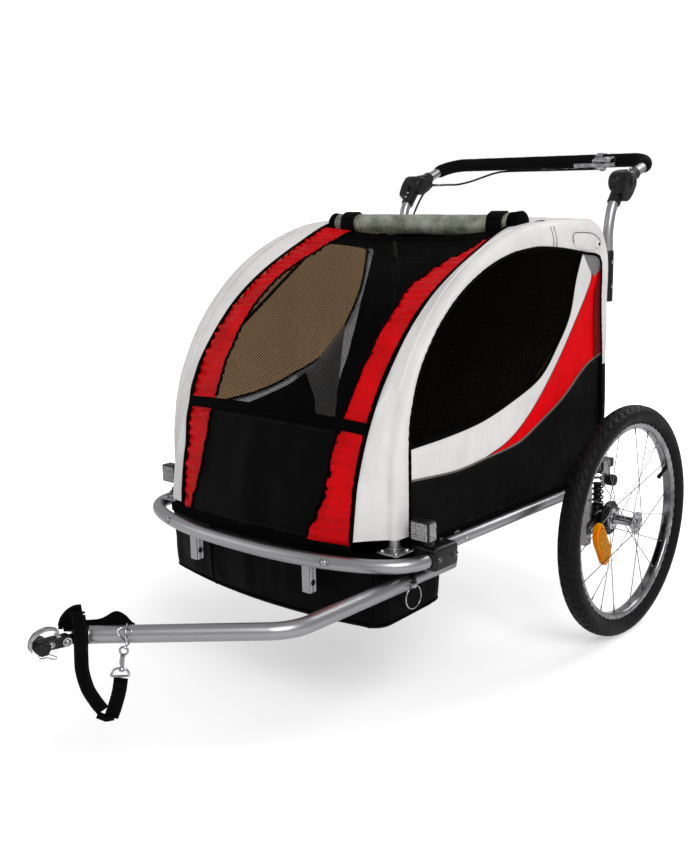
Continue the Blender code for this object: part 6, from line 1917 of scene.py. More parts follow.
    def reflectors(self) -> None:
        """Corner reflectors: two prismatic faces in a dark rim on a moulded foot."""
        for side, sign in SIDES:
            lens = Forge("corner_reflector_" + side)
            top, front, outer = self.z + 0.0218, -0.665, 0.347
            middle = Vector((sign * (outer - 0.020), front + 0.0125, 0.3805))
            lens.block(middle, (0.0388, 0.0240, 0.0358), Looks.PLASTIC, 0.0030)
            lens.block(middle + Vector((0, -0.0110, 0)), (0.0340, 0.0048, 0.0312), Looks.LENS, 0.0022)
            lens.block(middle + Vector((sign * 0.0184, 0.0010, 0)), (0.0040, 0.0185, 0.0312), Looks.LENS,
                       0.0016)
            lens.block(middle + Vector((0, 0.0112, 0)), (0.0330, 0.0030, 0.0300), Looks.PLASTIC, 0.0010)
            lens.block((sign * (outer - 0.019), -0.6385, (top + 0.382) / 2), (0.0180, 0.0110, 0.382 - top),
                       Looks.PLASTIC, 0.0016)
            lens.block((sign * (outer - 0.019), -0.6425, 0.375), (0.0180, 0.0070, 0.0140), Looks.PLASTIC,
                       0.0012)
            lens.bolt(Vector((sign * (outer - 0.019), -0.6330, 0.3610)), BACK, 0.0030,
                      Looks.CHROME, dome=True)
            lens.done("trailer", "front_reflector_" + side, slot="clear_lens")

    def build(self) -> None:
        """Make the frame."""
        self.rails()
        self.arches()
        self.bumper()
        self.clamps()
        self.reflectors()


@dataclass
class TowLine:
    """Tow bar, its pin and ring, the hinged clamp and the safety strap."""

    x: float = 0.2975
    z: float = 0.285
    corner_y: float = -0.9425
    bend: float = 48.9
    bend_r: float = 0.085
    reach: float = 0.3125
    radius: float = 0.014
    pin_y: float = -0.668

    def __post_init__(self) -> None:
        """Work out the headings of the bar's front leg and of the hitch."""
        turn = math.radians(self.bend)
        self.ahead = Vector((-math.sin(turn), -math.cos(turn), 0.0))
        self.aside = Vector((-self.ahead.y, self.ahead.x, 0.0))
        self.end = Vector((self.x, self.corner_y, self.z)) + self.ahead * self.reach
        self.nose = Matrix.Rotation(math.radians(31.5), 3, "Z") @ self.ahead
        self.cross = Vector((-self.nose.y, self.nose.x, 0.0))
        self.root = self.end + self.ahead * 0.002
        self.hinge = self.root + self.nose * 0.038
        self.barrel = self.hinge + self.nose * 0.039
        self.turn = Matrix((self.nose, self.cross, UP)).transposed()

    def at(self, s: float, off: float, z: float) -> Vector:
        """A place s ahead of the bar's end, off to its near side, at a height."""
        place = self.end + self.ahead * s + self.aside * off
        return Vector((place.x, place.y, z))

    def bar(self) -> None:
        """Bent tow bar with its collar, end plug and the mark of the cross pin."""
        setback = self.bend_r * math.tan(math.radians(self.bend / 2))
        corner = Vector((self.x, self.corner_y, self.z))
        centre = corner + Vector((-self.bend_r, setback, 0.0))
        route = [Vector((self.x, y, self.z)) for y in (-0.652, -0.66, -0.70, -0.75, -0.80, -0.85, -0.88)]
        for k in range(25):
            t = math.radians(self.bend * k / 24)
            route.append(centre + Vector((self.bend_r * math.cos(t), -self.bend_r * math.sin(t), 0.0)))
        route += [route[-1].lerp(self.end, k / 6) for k in range(1, 7)]
        bar = Forge("tow_bar_tube")
        bar.sweep(route, self.radius, Looks.SILVER, sides=36)
        bar.turn([(0.0, 0.0139), (0.0, 0.0149), (0.0012, 0.0152), (0.0100, 0.0152), (0.0112, 0.0147)],
                 route[0] + Vector((0, -0.001, 0)), Vector((0, -1, 0)), Looks.PLASTIC, 36, ring=True)
        bar.turn([(-0.0008, 0.0136), (-0.0008, 0.0146), (0.0002, 0.0148), (0.0008, 0.0140)],
                 self.end, self.ahead, Looks.SILVER, 36, ring=True)
        for out in (1, -1):
            bar.turn([(0.0, 0.0050), (0.0008, 0.0056), (0.0012, 0.0056), (0.0006, 0.0044)],
                     Vector((self.x + out * 0.0133, self.pin_y, self.z)), sideways(out),
                     Looks.SILVER, 24, ring=True)
        bar.done("trailer", "tow_bar", slot="silver_tube")

    def pin(self) -> None:
        """Locking pin with its drilled head, and the split ring that pulls it."""
        head_x, out = self.x + self.radius + 0.0003, LEFT
        pin = Forge("locking_pin")
        pin.rod(Vector((self.x - 0.0128, self.pin_y, self.z)), Vector((head_x + 0.002, self.pin_y, self.z)),
                0.0039, Looks.CHROME, steps=20)
        pin.turn([(0.0, 0.0), (0.0, 0.0050), (0.0014, 0.0055), (0.0070, 0.0053), (0.0095, 0.0040),
                  (0.0100, 0.0)], Vector((head_x, self.pin_y, self.z)), out, Looks.CHROME, 28)
        pin.done("receiver_pin", "receiver_pin", slot="chrome")
        ring = Forge("split_ring")
        eye = Vector((head_x + 0.005, self.pin_y, self.z - 0.0213))
        coil = []
        for k in range(97):
            t = math.tau * 2 * k / 96
            coil.append(eye + Vector((0.0007 * (k / 48 - 1), 0.0205 * math.cos(t), 0.0205 * math.sin(t))))
        ring.sweep(coil, 0.00085, Looks.CHROME, sides=10)
        ring.done("pull_ring", "receiver_pin_ring", slot="chrome")

    def coupler(self) -> None:
        """Moulded coupler on the bar's end with its hinge bolt."""
        made = Forge("coupler_moulded")
        made.rod(self.end + self.ahead * 0.0003, self.root + self.ahead * 0.009, 0.0129, Looks.PLASTIC)
        made.turn([(0.0, 0.0129), (0.0, 0.0141), (0.0025, 0.0143), (0.0040, 0.0129)],
                  self.end + self.ahead * 0.0008, self.ahead, Looks.PLASTIC, 32, ring=True)
        made.block(self.root + self.nose * 0.01545, (0.0228, 0.0188, 0.0258), Looks.PLASTIC, 0.0046,
                   self.turn, 4)
        for z in (-0.0065, 0.0065):
            made.block(self.root + self.nose * 0.0150 + UP * z, (0.0190, 0.0196, 0.0030), Looks.PLASTIC,
                       0.0010, self.turn)
        made.block(self.hinge - self.nose * 0.0045, (0.0150, 0.0073, 0.0148), Looks.PLASTIC, 0.0012,
                   self.turn)
        made.rod(self.hinge - self.cross * 0.0036, self.hinge + self.cross * 0.0036, 0.0076, Looks.PLASTIC)
        made.rod(self.hinge - self.cross * 0.0112, self.hinge + self.cross * 0.0112, 0.0040, Looks.CHROME)
        for out in (1, -1):
            made.bolt(self.hinge + self.cross * 0.0100 * out, self.cross * out, 0.0052, Looks.CHROME,
                      dome=True)
        made.bolt(self.root + self.nose * 0.014 + self.cross * 0.0094, self.cross, 0.0030, Looks.CHROME,
                  dome=True)
        made.done("trailer", "hitch_coupler", slot="black_plastic")

    def head(self) -> None:
        """Hinged head: two cheeks round the coupler's tongue, and the clamp barrel."""
        made = Forge("hitch_head_moulded")
        for out in (1, -1):
            off = self.cross * out * 0.0069
            made.block(self.hinge + self.nose * 0.0100 + off, (0.0300, 0.0042, 0.0168), Looks.PLASTIC,
                       0.0018, self.turn)
            made.turn([(-0.0021, 0.0), (-0.0021, 0.0080), (-0.0014, 0.0087), (0.0014, 0.0087),
                       (0.0021, 0.0080), (0.0021, 0.0)], self.hinge + off, self.cross, Looks.PLASTIC, 28)
        made.block(self.hinge + self.nose * 0.0215, (0.0190, 0.0178, 0.0168), Looks.PLASTIC, 0.0030,
                   self.turn)
        made.block(self.hinge + self.nose * 0.0205 + UP * 0.0072, (0.0130, 0.0120, 0.0040), Looks.PLASTIC,
                   0.0012, self.turn)
        ends = [(-0.0130, 0.0), (-0.0130, 0.0100), (-0.0118, 0.0120), (-0.0080, 0.0125), (-0.0074, 0.0117),
                (-0.0060, 0.0117), (-0.0054, 0.0125)]
        made.turn(ends + [(-a, r) for a, r in reversed(ends)], self.barrel, self.cross, Looks.PLASTIC, 40)
        made.bolt(self.barrel - self.cross * 0.0128, -self.cross, 0.0058, Looks.CHROME, dome=True)
        made.bolt(self.hinge + self.nose * 0.0235 + self.cross * 0.0088, self.cross, 0.0034, Looks.CHROME,
                  dome=True)
        made.done("hitch_head", "hitch_head", slot="black_plastic")

    def jaw(self) -> None:
        """Chrome hoop of the clamp with its folded edge, and the strut to its hinge."""
        made = Forge("clamp_jaw")
        middle = self.barrel - self.nose * 0.011
        turns = [math.radians(195.0 - 144.0 * k / 32) for k in range(33)]
        hoop = [middle - self.nose * 0.02625 * math.cos(t) + UP * 0.02325 * math.sin(t) for t in turns]
        made.sweep(hoop, [(-0.0070, -0.0008), (-0.0062, -0.0012), (0.0062, -0.0012), (0.0070, -0.0008),
                          (0.0070, 0.0008), (0.0062, 0.0012), (-0.0062, 0.0012), (-0.0070, 0.0008)],
                   Looks.CHROME, up=lambda p: p - middle - self.cross * (p - middle).dot(self.cross))
        for out in (1, -1):
            rail = [p + self.cross * out * 0.0064 + (p - middle).normalized() * 0.0010 for p in hoop]
            made.sweep(rail, 0.0009, Looks.CHROME, sides=8)
        t = math.radians(51.0)
        pin = middle - self.nose * 0.02625 * math.cos(t) + UP * (0.02325 * math.sin(t) - 0.0085)
        made.rod(pin - self.cross * 0.0070, pin + self.cross * 0.0070, 0.0033, Looks.CHROME)
        made.block(pin + UP * 0.0045, (0.0026, 0.0138, 0.0086), Looks.CHROME, 0.0008, self.turn)
        made.done("hitch_jaw", "hitch_jaw", slot="chrome")

    def knob(self) -> None:
        """Lobed clamp knob and the spring clip under the barrel."""
        made = Forge("clamp_knob")
        made.turn([(0.0003, 0.0), (0.0003, 0.0086), (0.0016, 0.0094), (0.0024, 0.0112), (0.0070, 0.0115),
                   (0.0086, 0.0102), (0.0092, 0.0066), (0.0090, 0.0030), (0.0090, 0.0)],
                  self.barrel + self.cross * 0.0130, self.cross, Looks.PLASTIC, 84,
                  wave=lambda t, a: -0.0013 * (0.5 - 0.5 * math.cos(t * 7)) if 0.002 < a < 0.009 else 0.0)
        made.done("hitch_knob", "hitch_knob", slot="black_plastic")
        clip = Forge("spring_clip")
        spot = self.barrel - self.nose * 0.004 + self.cross * 0.006 - UP * 0.0138
        back = -self.nose
        loop = [spot - back * 0.010, spot, spot + back * 0.005 - UP * 0.0003,
                spot + back * 0.012 - UP * 0.004, spot + back * 0.0175 - UP * 0.0078,
                spot + back * 0.0160 - UP * 0.0108, spot + back * 0.010 - UP * 0.0090,
                spot + back * 0.003 - UP * 0.0052, spot - back * 0.003 - UP * 0.0058,
                spot - back * 0.008 - UP * 0.0034]
        clip.sweep(smooth_route(loop, 5), 0.0009, Looks.CHROME, sides=10)
        clip.done("hitch_clip", "hitch_clip", slot="chrome")

    def strap(self) -> None:
        """Webbing looped over the coupler, hanging in a fold and snapped back on the bar."""
        made, out = Forge("safety_webbing"), self.aside
        half = 0.011

        def ribbon(points: Sequence[Flat], off: Callable[[float], float], per_span: int) -> None:
            """Lay webbing with its broad face off to the near side.

            Args:
                points: (ahead, height) places.
                off: how far aside it lies by its share.
                per_span: steps between two places.
            """
            line = smooth_route(points, per_span)
            rows = []
            for k, p in enumerate(line):
                step = (line[min(k + 1, len(line) - 1)] - line[max(k - 1, 0)]).normalized()
                side = Vector((-step.y, step.x, 0.0)) * half
                share = k / (len(line) - 1)
                row = []
                for j in range(9):
                    t = j / 4 - 1
                    cup = 0.0007 * (1 - t * t) + 0.0005 * cloud(Vector((p.x, p.y, t * 0.01)), 0.012)
                    row.append(self.at(p.x + side.x * t, off(share) + cup, p.y + side.y * t))
                rows.append(row)
            made.sheet(rows, Looks.WEBBING, 0.0022, self.at(0.0, -0.5, 0.25))
            for t in (0.78, -0.78):
                run = []
                for k, (p, q) in enumerate(zip(line, line[1:])):
                    side = Vector((-(q - p).y, (q - p).x, 0)).normalized() * half * t
                    run.append(self.at(p.x + side.x, off(k / (len(line) - 1)) + 0.0012, p.y + side.y))
                made.stitches(run, Looks.THREAD, 0.0042, 0.00035)

        ribbon([(0.0105, 0.3270), (0.0090, 0.310), (0.0088, 0.288), (0.0100, 0.262), (0.0100, 0.236),
                (0.0035, 0.207), (-0.0080, 0.185), (-0.0170, 0.1715)], lambda t: 0.0283, 5)
        ribbon([(-0.0290, 0.1600), (-0.0350, 0.1750), (-0.0430, 0.2000), (-0.0475, 0.2230)],
               lambda t: 0.0262 - 0.002 * t, 5)
        ribbon([(0.0085, 0.3275), (0.0180, 0.3260), (0.0280, 0.3190), (0.0345, 0.3100), (0.0380, 0.3000)],
               lambda t: 0.0110 - 0.004 * t, 5)
        rows = []
        for k in range(9):
            t = math.radians(-90 + 180 * k / 8)
            z, off = 0.3265 + 0.0045 * math.cos(t), 0.0192 + 0.0092 * math.sin(t)
            rows.append([self.at(0.0135 + s, off, z - 0.0020 * abs(s) / 0.010) for s in
                         (-0.0100, -0.005, 0.0, 0.005, 0.0110)])
        made.sheet(rows, Looks.WEBBING, 0.0020, self.at(0.013, 0.019, 0.30))
        behind = [(0.0455, 0.2980), (0.0250, 0.2975), (0.0, 0.2980), (-0.030, 0.2985), (-0.0500, 0.2985),
                  (-0.0660, 0.2960)]
        rows = []
        for k, p in enumerate(smooth_route(behind, 4)):
            wide = 0.0178 + 0.0130 * math.exp(-((p.x + 0.038) / 0.017) ** 2) - 0.006 * eased(
                (-p.x - 0.052) / 0.012)
            rows.append([self.at(p.x, -0.01560 + 0.0012 * (1 - (j / 3 - 1) ** 2), p.y - 0.0125 +
                                 j * wide / 6) for j in range(7)])
        made.sheet(rows, Looks.WEBBING, 0.0022, self.at(0.0, 0.5, 0.30))
        rows = [[self.at(0.0400 + j * 0.0018, off, 0.2960 + 0.010 * math.sin(math.pi * k / 6) * 0.5
                         + 0.004) for j in range(5)] for k, off in enumerate(
                             -0.0160 + 0.0265 * i / 6 for i in range(7))]
        made.sheet(rows, Looks.WEBBING, 0.0022, self.at(0.04, 0.0, 0.25))
        fold = [self.at(-0.0330, 0.0268, 0.1600), self.at(-0.0220, 0.0272, 0.1580),
                self.at(-0.0080, 0.0268, 0.1640)]
        made.sweep(fold, [(-0.0036, -0.0050), (0.0036, -0.0050), (0.0044, 0.0), (0.0036, 0.0050),
                          (-0.0036, 0.0050), (-0.0044, 0.0)], Looks.WEBBING, up=out)
        made.block(self.at(-0.0440, 0.0262, 0.2130), (0.016, 0.0048, 0.010), Looks.WEBBING, 0.0015,
                   Matrix((self.ahead, self.aside, UP)).transposed())
        made.done("trailer", "safety_strap", slot="webbing")

    def hook(self) -> None:
        """Snap hook: swivel bail through the webbing, barrel, gate and the loop on the bar."""
        made, off = Forge("snap_hook_cast"), 0.0256
        bail = [(-0.0125, 0.2270), (0.0125, 0.2270), (0.0128, 0.2320), (0.0090, 0.2375), (0.0030, 0.2395),
                (-0.0030, 0.2395), (-0.0090, 0.2375), (-0.0128, 0.2320)]
        made.sweep([self.at(-0.0475 + p.x, off, p.y) for p in smooth_route(bail + bail[:1], 4)][:-1], 0.0019,
                   Looks.CHROME, loop=True, sides=12)
        low, high = self.at(-0.0500, off, 0.2380), self.at(-0.0530, off, 0.2610)
        rise = (high - low).normalized()
        made.turn([(-0.0030, 0.0), (-0.0030, 0.0042), (-0.0010, 0.0048), (0.0012, 0.0040), (0.0028, 0.0026),
                   (0.0060, 0.0032), (0.0150, 0.0034), (0.0200, 0.0030), (0.0225, 0.0040), (0.0250, 0.0030),
                   (0.0255, 0.0)], low, rise, Looks.CHROME, 28)
        made.sweep([low.lerp(high, 0.35) + self.aside * 0.0030 + self.ahead * 0.0020,
                    low.lerp(high, 0.62) + self.aside * 0.0040 + self.ahead * 0.0028,
                    low.lerp(high, 0.92) + self.aside * 0.0030 + self.ahead * 0.0020], 0.0013, Looks.CHROME,
                   sides=10)
        made.bolt(low.lerp(high, 0.5) + self.aside * 0.0034, self.aside, 0.0013, Looks.CHROME,
                  washer=False, dome=True)
        eye = self.at(-0.0545, off - 0.002, 0.2672)
        ring = [eye + self.ahead * 0.0062 * math.cos(t) + UP * 0.0062 * math.sin(t) for t in
                (math.tau * k / 28 for k in range(28))]
        made.sweep(ring, 0.0018, Looks.CHROME, loop=True, sides=10)
        size = self.radius + 0.0021
        tri = [(-0.0115, 0.6), (-0.0060, 0.95), (0.0, 1.05), (0.0060, 0.95), (0.0115, 0.6)]
        front = []
        for s, tilt in tri + [(0.0060, 0.05), (0.0015, -0.42), (-0.0015, -0.42), (-0.0060, 0.05)]:
            front.append(self.at(-0.0550 + s, size * math.cos(tilt), self.z + size * math.sin(tilt)))
        made.sweep(smooth_route(front + front[:1], 4)[:-1], 0.0016, Looks.CHROME, loop=True, sides=10)
        loop = [self.at(-0.0570, size * math.cos(math.radians(a)), self.z + size * math.sin(
            math.radians(a))) for a in range(-155, 96, 10)]
        made.sweep(loop, 0.0019, Looks.CHROME, sides=12)
        made.sweep(smooth_route([self.at(-0.0560, 0.0220, 0.2700), self.at(-0.0580, 0.0165, 0.2745),
                                 self.at(-0.0570, 0.0142, 0.2790)], 4), 0.0020, Looks.CHROME, sides=10)
        made.done("trailer", "snap_hook", slot="chrome")

    def build(self) -> None:
        """Make the towing gear."""
        for step in (self.bar, self.pin, self.coupler, self.head, self.jaw, self.knob, self.strap,
                     self.hook):
            step()


@dataclass
class PushHandle:
    """Folding push handle with its joints, foam grip, hand brake and cable."""

    x: float = 0.2755
    pivot: Flat = (0.103, 0.9495)
    rise: float = 18.75
    reach: float = 0.1447
    bend_r: float = 0.050
    radius: float = 0.0107
    grip_r: float = 0.0150
    fall: float = 231.5
    lever_x: float = 0.178

    def place(self, x: float, reach: float, lift: float = 0.0) -> Vector:
        """Find a place in the handle's plane.

        Args:
            x: place across the trailer.
            reach: how far back from the handle's axis.
            lift: how far square to that plane.

        Returns:
            The place.
        """
        t = math.radians(self.rise)
        return Vector((x, self.pivot[0] + reach * math.cos(t) - lift * math.sin(t),
                       self.pivot[1] + reach * math.sin(t) + lift * math.cos(t)))

    def route(self, start: float) -> list[Vector]:
        """Follow the handle from one arm round to the other.

        Args:
            start: how far from its axis it starts.

        Returns:
            Its middle line.
        """
        near = self.reach - self.bend_r
        side = [(self.x, start), (self.x, start + (near - start) * 0.5)] if start < near - 0.01 else [
            (self.x, start)]
        for k in range(17):
            t = math.radians(90.0 * k / 16)
            side.append((self.x - self.bend_r * (1 - math.cos(t)), near + self.bend_r * math.sin(t)))
        middle = [(x, self.reach) for x in (0.16, 0.08, 0.0)]
        half = side + middle
        return [self.place(x, r) for x, r in half] + [self.place(-x, r) for x, r in reversed(half[:-1])]

    def bar(self) -> None:
        """Bent tube and its foam grip with softened ends."""
        tube = Forge("handle_tube")
        tube.sweep(self.route(0.030), self.radius, Looks.SILVER, sides=28)
        tube.done("push_handle", "handlebar_tube", slot="silver_tube")
        grip = Forge("foam_grip")
        line = evenly(self.route(0.093), 150)
        grip.sweep(line, self.grip_r, Looks.FOAM, sides=28, taper=lambda t: min(
            1.0, 0.80 + 0.2 * math.sqrt(min(1.0, min(t, 1 - t) * 60))) + 0.012 * math.sin(t * 40)
            * math.sin(t * 97))
        grip.done("push_handle", "handlebar_grip", slot="foam")

    def half_joint(self, made: Forge, sign: int, low: float, high: float, heading: Vector) -> None:
        """One half of a joint: a ribbed disc, a neck and the socket round the tube.

        Args:
            made: the piece that takes it.
            sign: 1 on the left, -1 on the right.
            low: its inner face.
            high: its outer face.
            heading: the way its tube runs.
        """
        axis = Vector((0.0, *self.pivot))
        out, wide = sideways(sign), high - low
        rim = [(0.0, 0.0), (0.0, 0.0216), (0.0010, 0.0224), (wide - 0.0052, 0.0224), (wide - 0.0030, 0.0215),
               (wide - 0.0004, 0.0190), (wide, 0.0170), (wide, 0.0)]
        if low < self.x:
            rim = [(wide - a, r) for a, r in rim]
        made.turn(rim, axis + out * low, out, Looks.PLASTIC, 56)
        mid = axis + out * (low + wide / 2)
        side = out.cross(heading)
        neck = [(-0.0221, 0.0030), (-0.0192, 0.0170), (-0.0156, 0.0330), (-0.0138, 0.0400), (0.0138, 0.0400),
                (0.0156, 0.0330), (0.0192, 0.0170), (0.0221, 0.0030)]
        made.plate(neck, mid, side, heading, wide - 0.0008, Looks.PLASTIC, 0.0035)
        root = axis + out * self.x
        made.turn([(0.0180, 0.0), (0.0180, 0.0140), (0.0240, 0.0145), (0.0500, 0.0138), (0.0545, 0.0142),
                   (0.0560, 0.0132), (0.0560, 0.0109)], root, heading, Looks.PLASTIC, 40)
        for s in (0.032, 0.044):
            made.bolt(root + heading * s + side * 0.0138, side, 0.0030, Looks.CHROME, washer=False,
                      dome=True)

    def joints(self) -> None:
        """Both joints with their push buttons, and the uprights below them."""
        rise, fall = math.radians(self.rise), math.radians(self.fall)
        up_arm = Vector((0.0, math.cos(rise), math.sin(rise)))
        down = Vector((0.0, math.cos(fall), math.sin(fall)))
        inner = self.x + 0.0010
        for side, sign in SIDES:
            out = sideways(sign)
            base = Forge("joint_fixed_" + side)
            self.half_joint(base, sign, inner, inner + 0.0235, down)
            face = Vector((sign * (inner + 0.0235), *self.pivot))
            base.turn([(-0.0012, 0.0091), (-0.0012, 0.0132), (0.0004, 0.0140), (0.0010, 0.0128),
                       (0.0010, 0.0100), (0.0002, 0.0091)], face, out, Looks.PLASTIC, 40, ring=True)
            base.done("trailer", "pivot_base_" + side, slot="black_plastic")
            arm = Forge("joint_turning_" + side)
            self.half_joint(arm, sign, inner - 0.0238, inner - 0.0003, up_arm)
            arm.done("push_handle", "pivot_arm_" + side, slot="black_plastic")
            button = Forge("joint_button_" + side)
            button.turn([(-0.0035, 0.0), (-0.0035, 0.0085), (0.0028, 0.0084), (0.0042, 0.0074),
                         (0.0045, 0.0058), (0.0036, 0.0040), (0.0034, 0.0)], face, out, Looks.PLASTIC, 36)
            button.done("pivot_button_" + side, "pivot_button_" + side, slot="black_plastic")
            self.upright(side, sign, down)

    def upright(self, side: str, sign: int, down: Vector) -> None:
        """Upright with the black sleeve that clamps it on the cabin's back.

        Args:
            side: left or right.
            sign: 1 on the left, -1 on the right.
            down: the way from the joint to the upright.
        """
        line_y = CABIN.rear_y + 0.0133
        made = Forge("handle_upright_" + side)
        ends = [(self.pivot[0] + down.y * r, self.pivot[1] + down.z * r) for r in (0.060, 0.030)]
        path = [(line_y, 0.707), (line_y, 0.812), (line_y - 0.0006, 0.845), (line_y + 0.006, 0.878)] + ends
        made.sweep(smooth_route([(sign * self.x, y, z) for y, z in path], 7), self.radius, Looks.SILVER,
                   sides=28)
        foot = Vector((sign * self.x, line_y, 0.703))
        made.turn([(0.0, 0.0), (0.0, 0.0112), (0.0016, 0.0128), (0.0990, 0.0130), (0.1040, 0.0127),
                   (0.1070, 0.0118), (0.1070, 0.0108)], foot, UP, Looks.PLASTIC, 36)
        for z in (0.735, 0.785):
            made.bolt(Vector((sign * (self.x + 0.0124), line_y, z)), sideways(sign), 0.0032,
                      Looks.CHROME, dome=True)
        made.done("trailer", "handlebar_upright_" + side, slot="silver_tube")

    def brake(self) -> None:
        """Clamp band and perch on the grip, and the pressed lever under the bar."""
        t = math.radians(self.rise)
        forward, up = Vector((0, -math.cos(t), -math.sin(t))), Vector((0, -math.sin(t), math.cos(t)))
        centre = self.place(0.150, self.reach)
        band = self.grip_r + 0.003
        perch = Forge("brake_perch_cast")
        perch.turn([(-0.009, 0.0154), (-0.009, band - 0.0008), (-0.0080, band), (0.0080, band),
                    (0.009, band - 0.0008), (0.009, 0.0154)], centre, LEFT, Looks.CHROME, 40,
                   ring=True)
        turn = Matrix((LEFT, -forward, up)).transposed()
        perch.block(self.place(0.166, self.reach - band - 0.003, 0.0095), (0.0455, 0.0215, 0.0078),
                    Looks.CHROME, 0.0022, turn)
        perch.block(centre - up * (band + 0.0012), (0.0120, 0.0090, 0.0060), Looks.CHROME, 0.0012, turn)
        perch.bolt(centre - up * (band + 0.0038), -up, 0.0026, Looks.CHROME, dome=True)
        hinge = self.place(self.lever_x, self.reach - band - 0.0085)
        perch.rod(hinge - up * 0.0062, hinge + up * 0.0140, 0.0022, Looks.CHROME)
        perch.bolt(hinge + up * 0.0128, up, 0.0042, Looks.CHROME)
        barrel = self.place(0.1900, self.reach - band - 0.001, 0.0095)
        perch.turn([(-0.004, 0.0), (-0.004, 0.0042), (0.0035, 0.0044), (0.0045, 0.0036), (0.0085, 0.0034),
                    (0.0090, 0.0)], barrel, LEFT, Looks.PLASTIC, 24)
        perch.done("push_handle", "brake_perch", slot="chrome")
        lever = Forge("brake_lever_pressed")
        blade = [(-0.0180, -0.0046), (0.006, -0.0052), (0.040, -0.0050), (0.074, -0.0042),
                 (0.0820, -0.0022), (0.0838, 0.0012), (0.0815, 0.0040), (0.072, 0.0042), (0.030, 0.0034),
                 (0.010, 0.0062), (-0.0170, 0.0042), (-0.0192, 0.0)]
        outline = [(p.x, p.y) for p in smooth_route(blade + blade[:1], 4)][:-1]
        lever.plate(outline, hinge, Vector((-1, 0, 0)), forward, 0.0086, Looks.CHROME, 0.0022)
        lever.turn([(-0.0048, 0.0), (-0.0048, 0.0056), (0.0048, 0.0056), (0.0048, 0.0)], hinge, up,
                   Looks.CHROME, 24)
        lever.done("hand_brake_lever", "brake_lever", slot="chrome")

    def cables(self) -> None:
        """Brake cable in two lengths that meet on the handle's hinge line."""
        under, meet = -(self.grip_r + 0.0009 + 0.0024), -0.214
        y, z = self.pivot
        upper = [self.place(0.1407, self.reach, under), self.place(0.020, self.reach, under),
                 self.place(-0.105, self.reach, under), self.place(-0.140, 0.1400, -0.0205),
                 self.place(-0.166, 0.1240, -0.0245), self.place(-0.186, 0.0980, -0.0260),
                 self.place(-0.199, 0.0640, -0.0210), self.place(-0.2050, 0.0280, -0.0090),
                 Vector((-0.2075, y + 0.0008, z)), Vector((meet + 0.003, y, z)),
                 Vector((meet + 0.00015, y, z))]
        foot, back = Vector((-0.2985, 0.0255, 0.372)), CABIN.rear_y + 0.006
        lower = [Vector((meet - 0.00015, y, z)), Vector((meet - 0.0065, y - 0.0008, z)),
                 Vector((-0.2290, y - 0.0150, z - 0.0080)), Vector((-0.2400, y - 0.0330, z - 0.0380)),
                 Vector((-0.2520, y - 0.0480, z - 0.0850)), Vector((-0.2540, back, 0.810)),
                 Vector((-0.2530, back, 0.740)), Vector((-0.2560, back, 0.660)),
                 Vector((-0.2660, back, 0.580)), Vector((-0.2750, back, 0.500)),
                 Vector((-0.2860, back, 0.440)), Vector((foot.x, back - 0.0040, 0.402)),
                 Vector((foot.x, foot.y + 0.0020, 0.384)), Vector((foot.x, foot.y, 0.3723))]
        for name, body, points in (("brake_cable_upper", "push_handle", upper),
                                   ("brake_cable_lower", "trailer", lower)):
            line = smooth_route(points, 6)
            made = Forge(name + "_housing")
            made.sweep(line, 0.0024, Looks.PLASTIC, sides=12)
            for end, heading in ((line[0], line[1] - line[0]), (line[-1], line[-2] - line[-1])):
                made.turn([(0.0003, 0.0), (0.0003, 0.0029), (0.0080, 0.0028), (0.0092, 0.0024)], end,
                          heading, Looks.CHROME if name.endswith("upper") else Looks.STEEL, 16)
            cord = made.done(body, name, slot="black_plastic")

    def build(self) -> None:
        """Make the handle."""
        for step in (self.bar, self.joints, self.brake, self.cables):
            step()


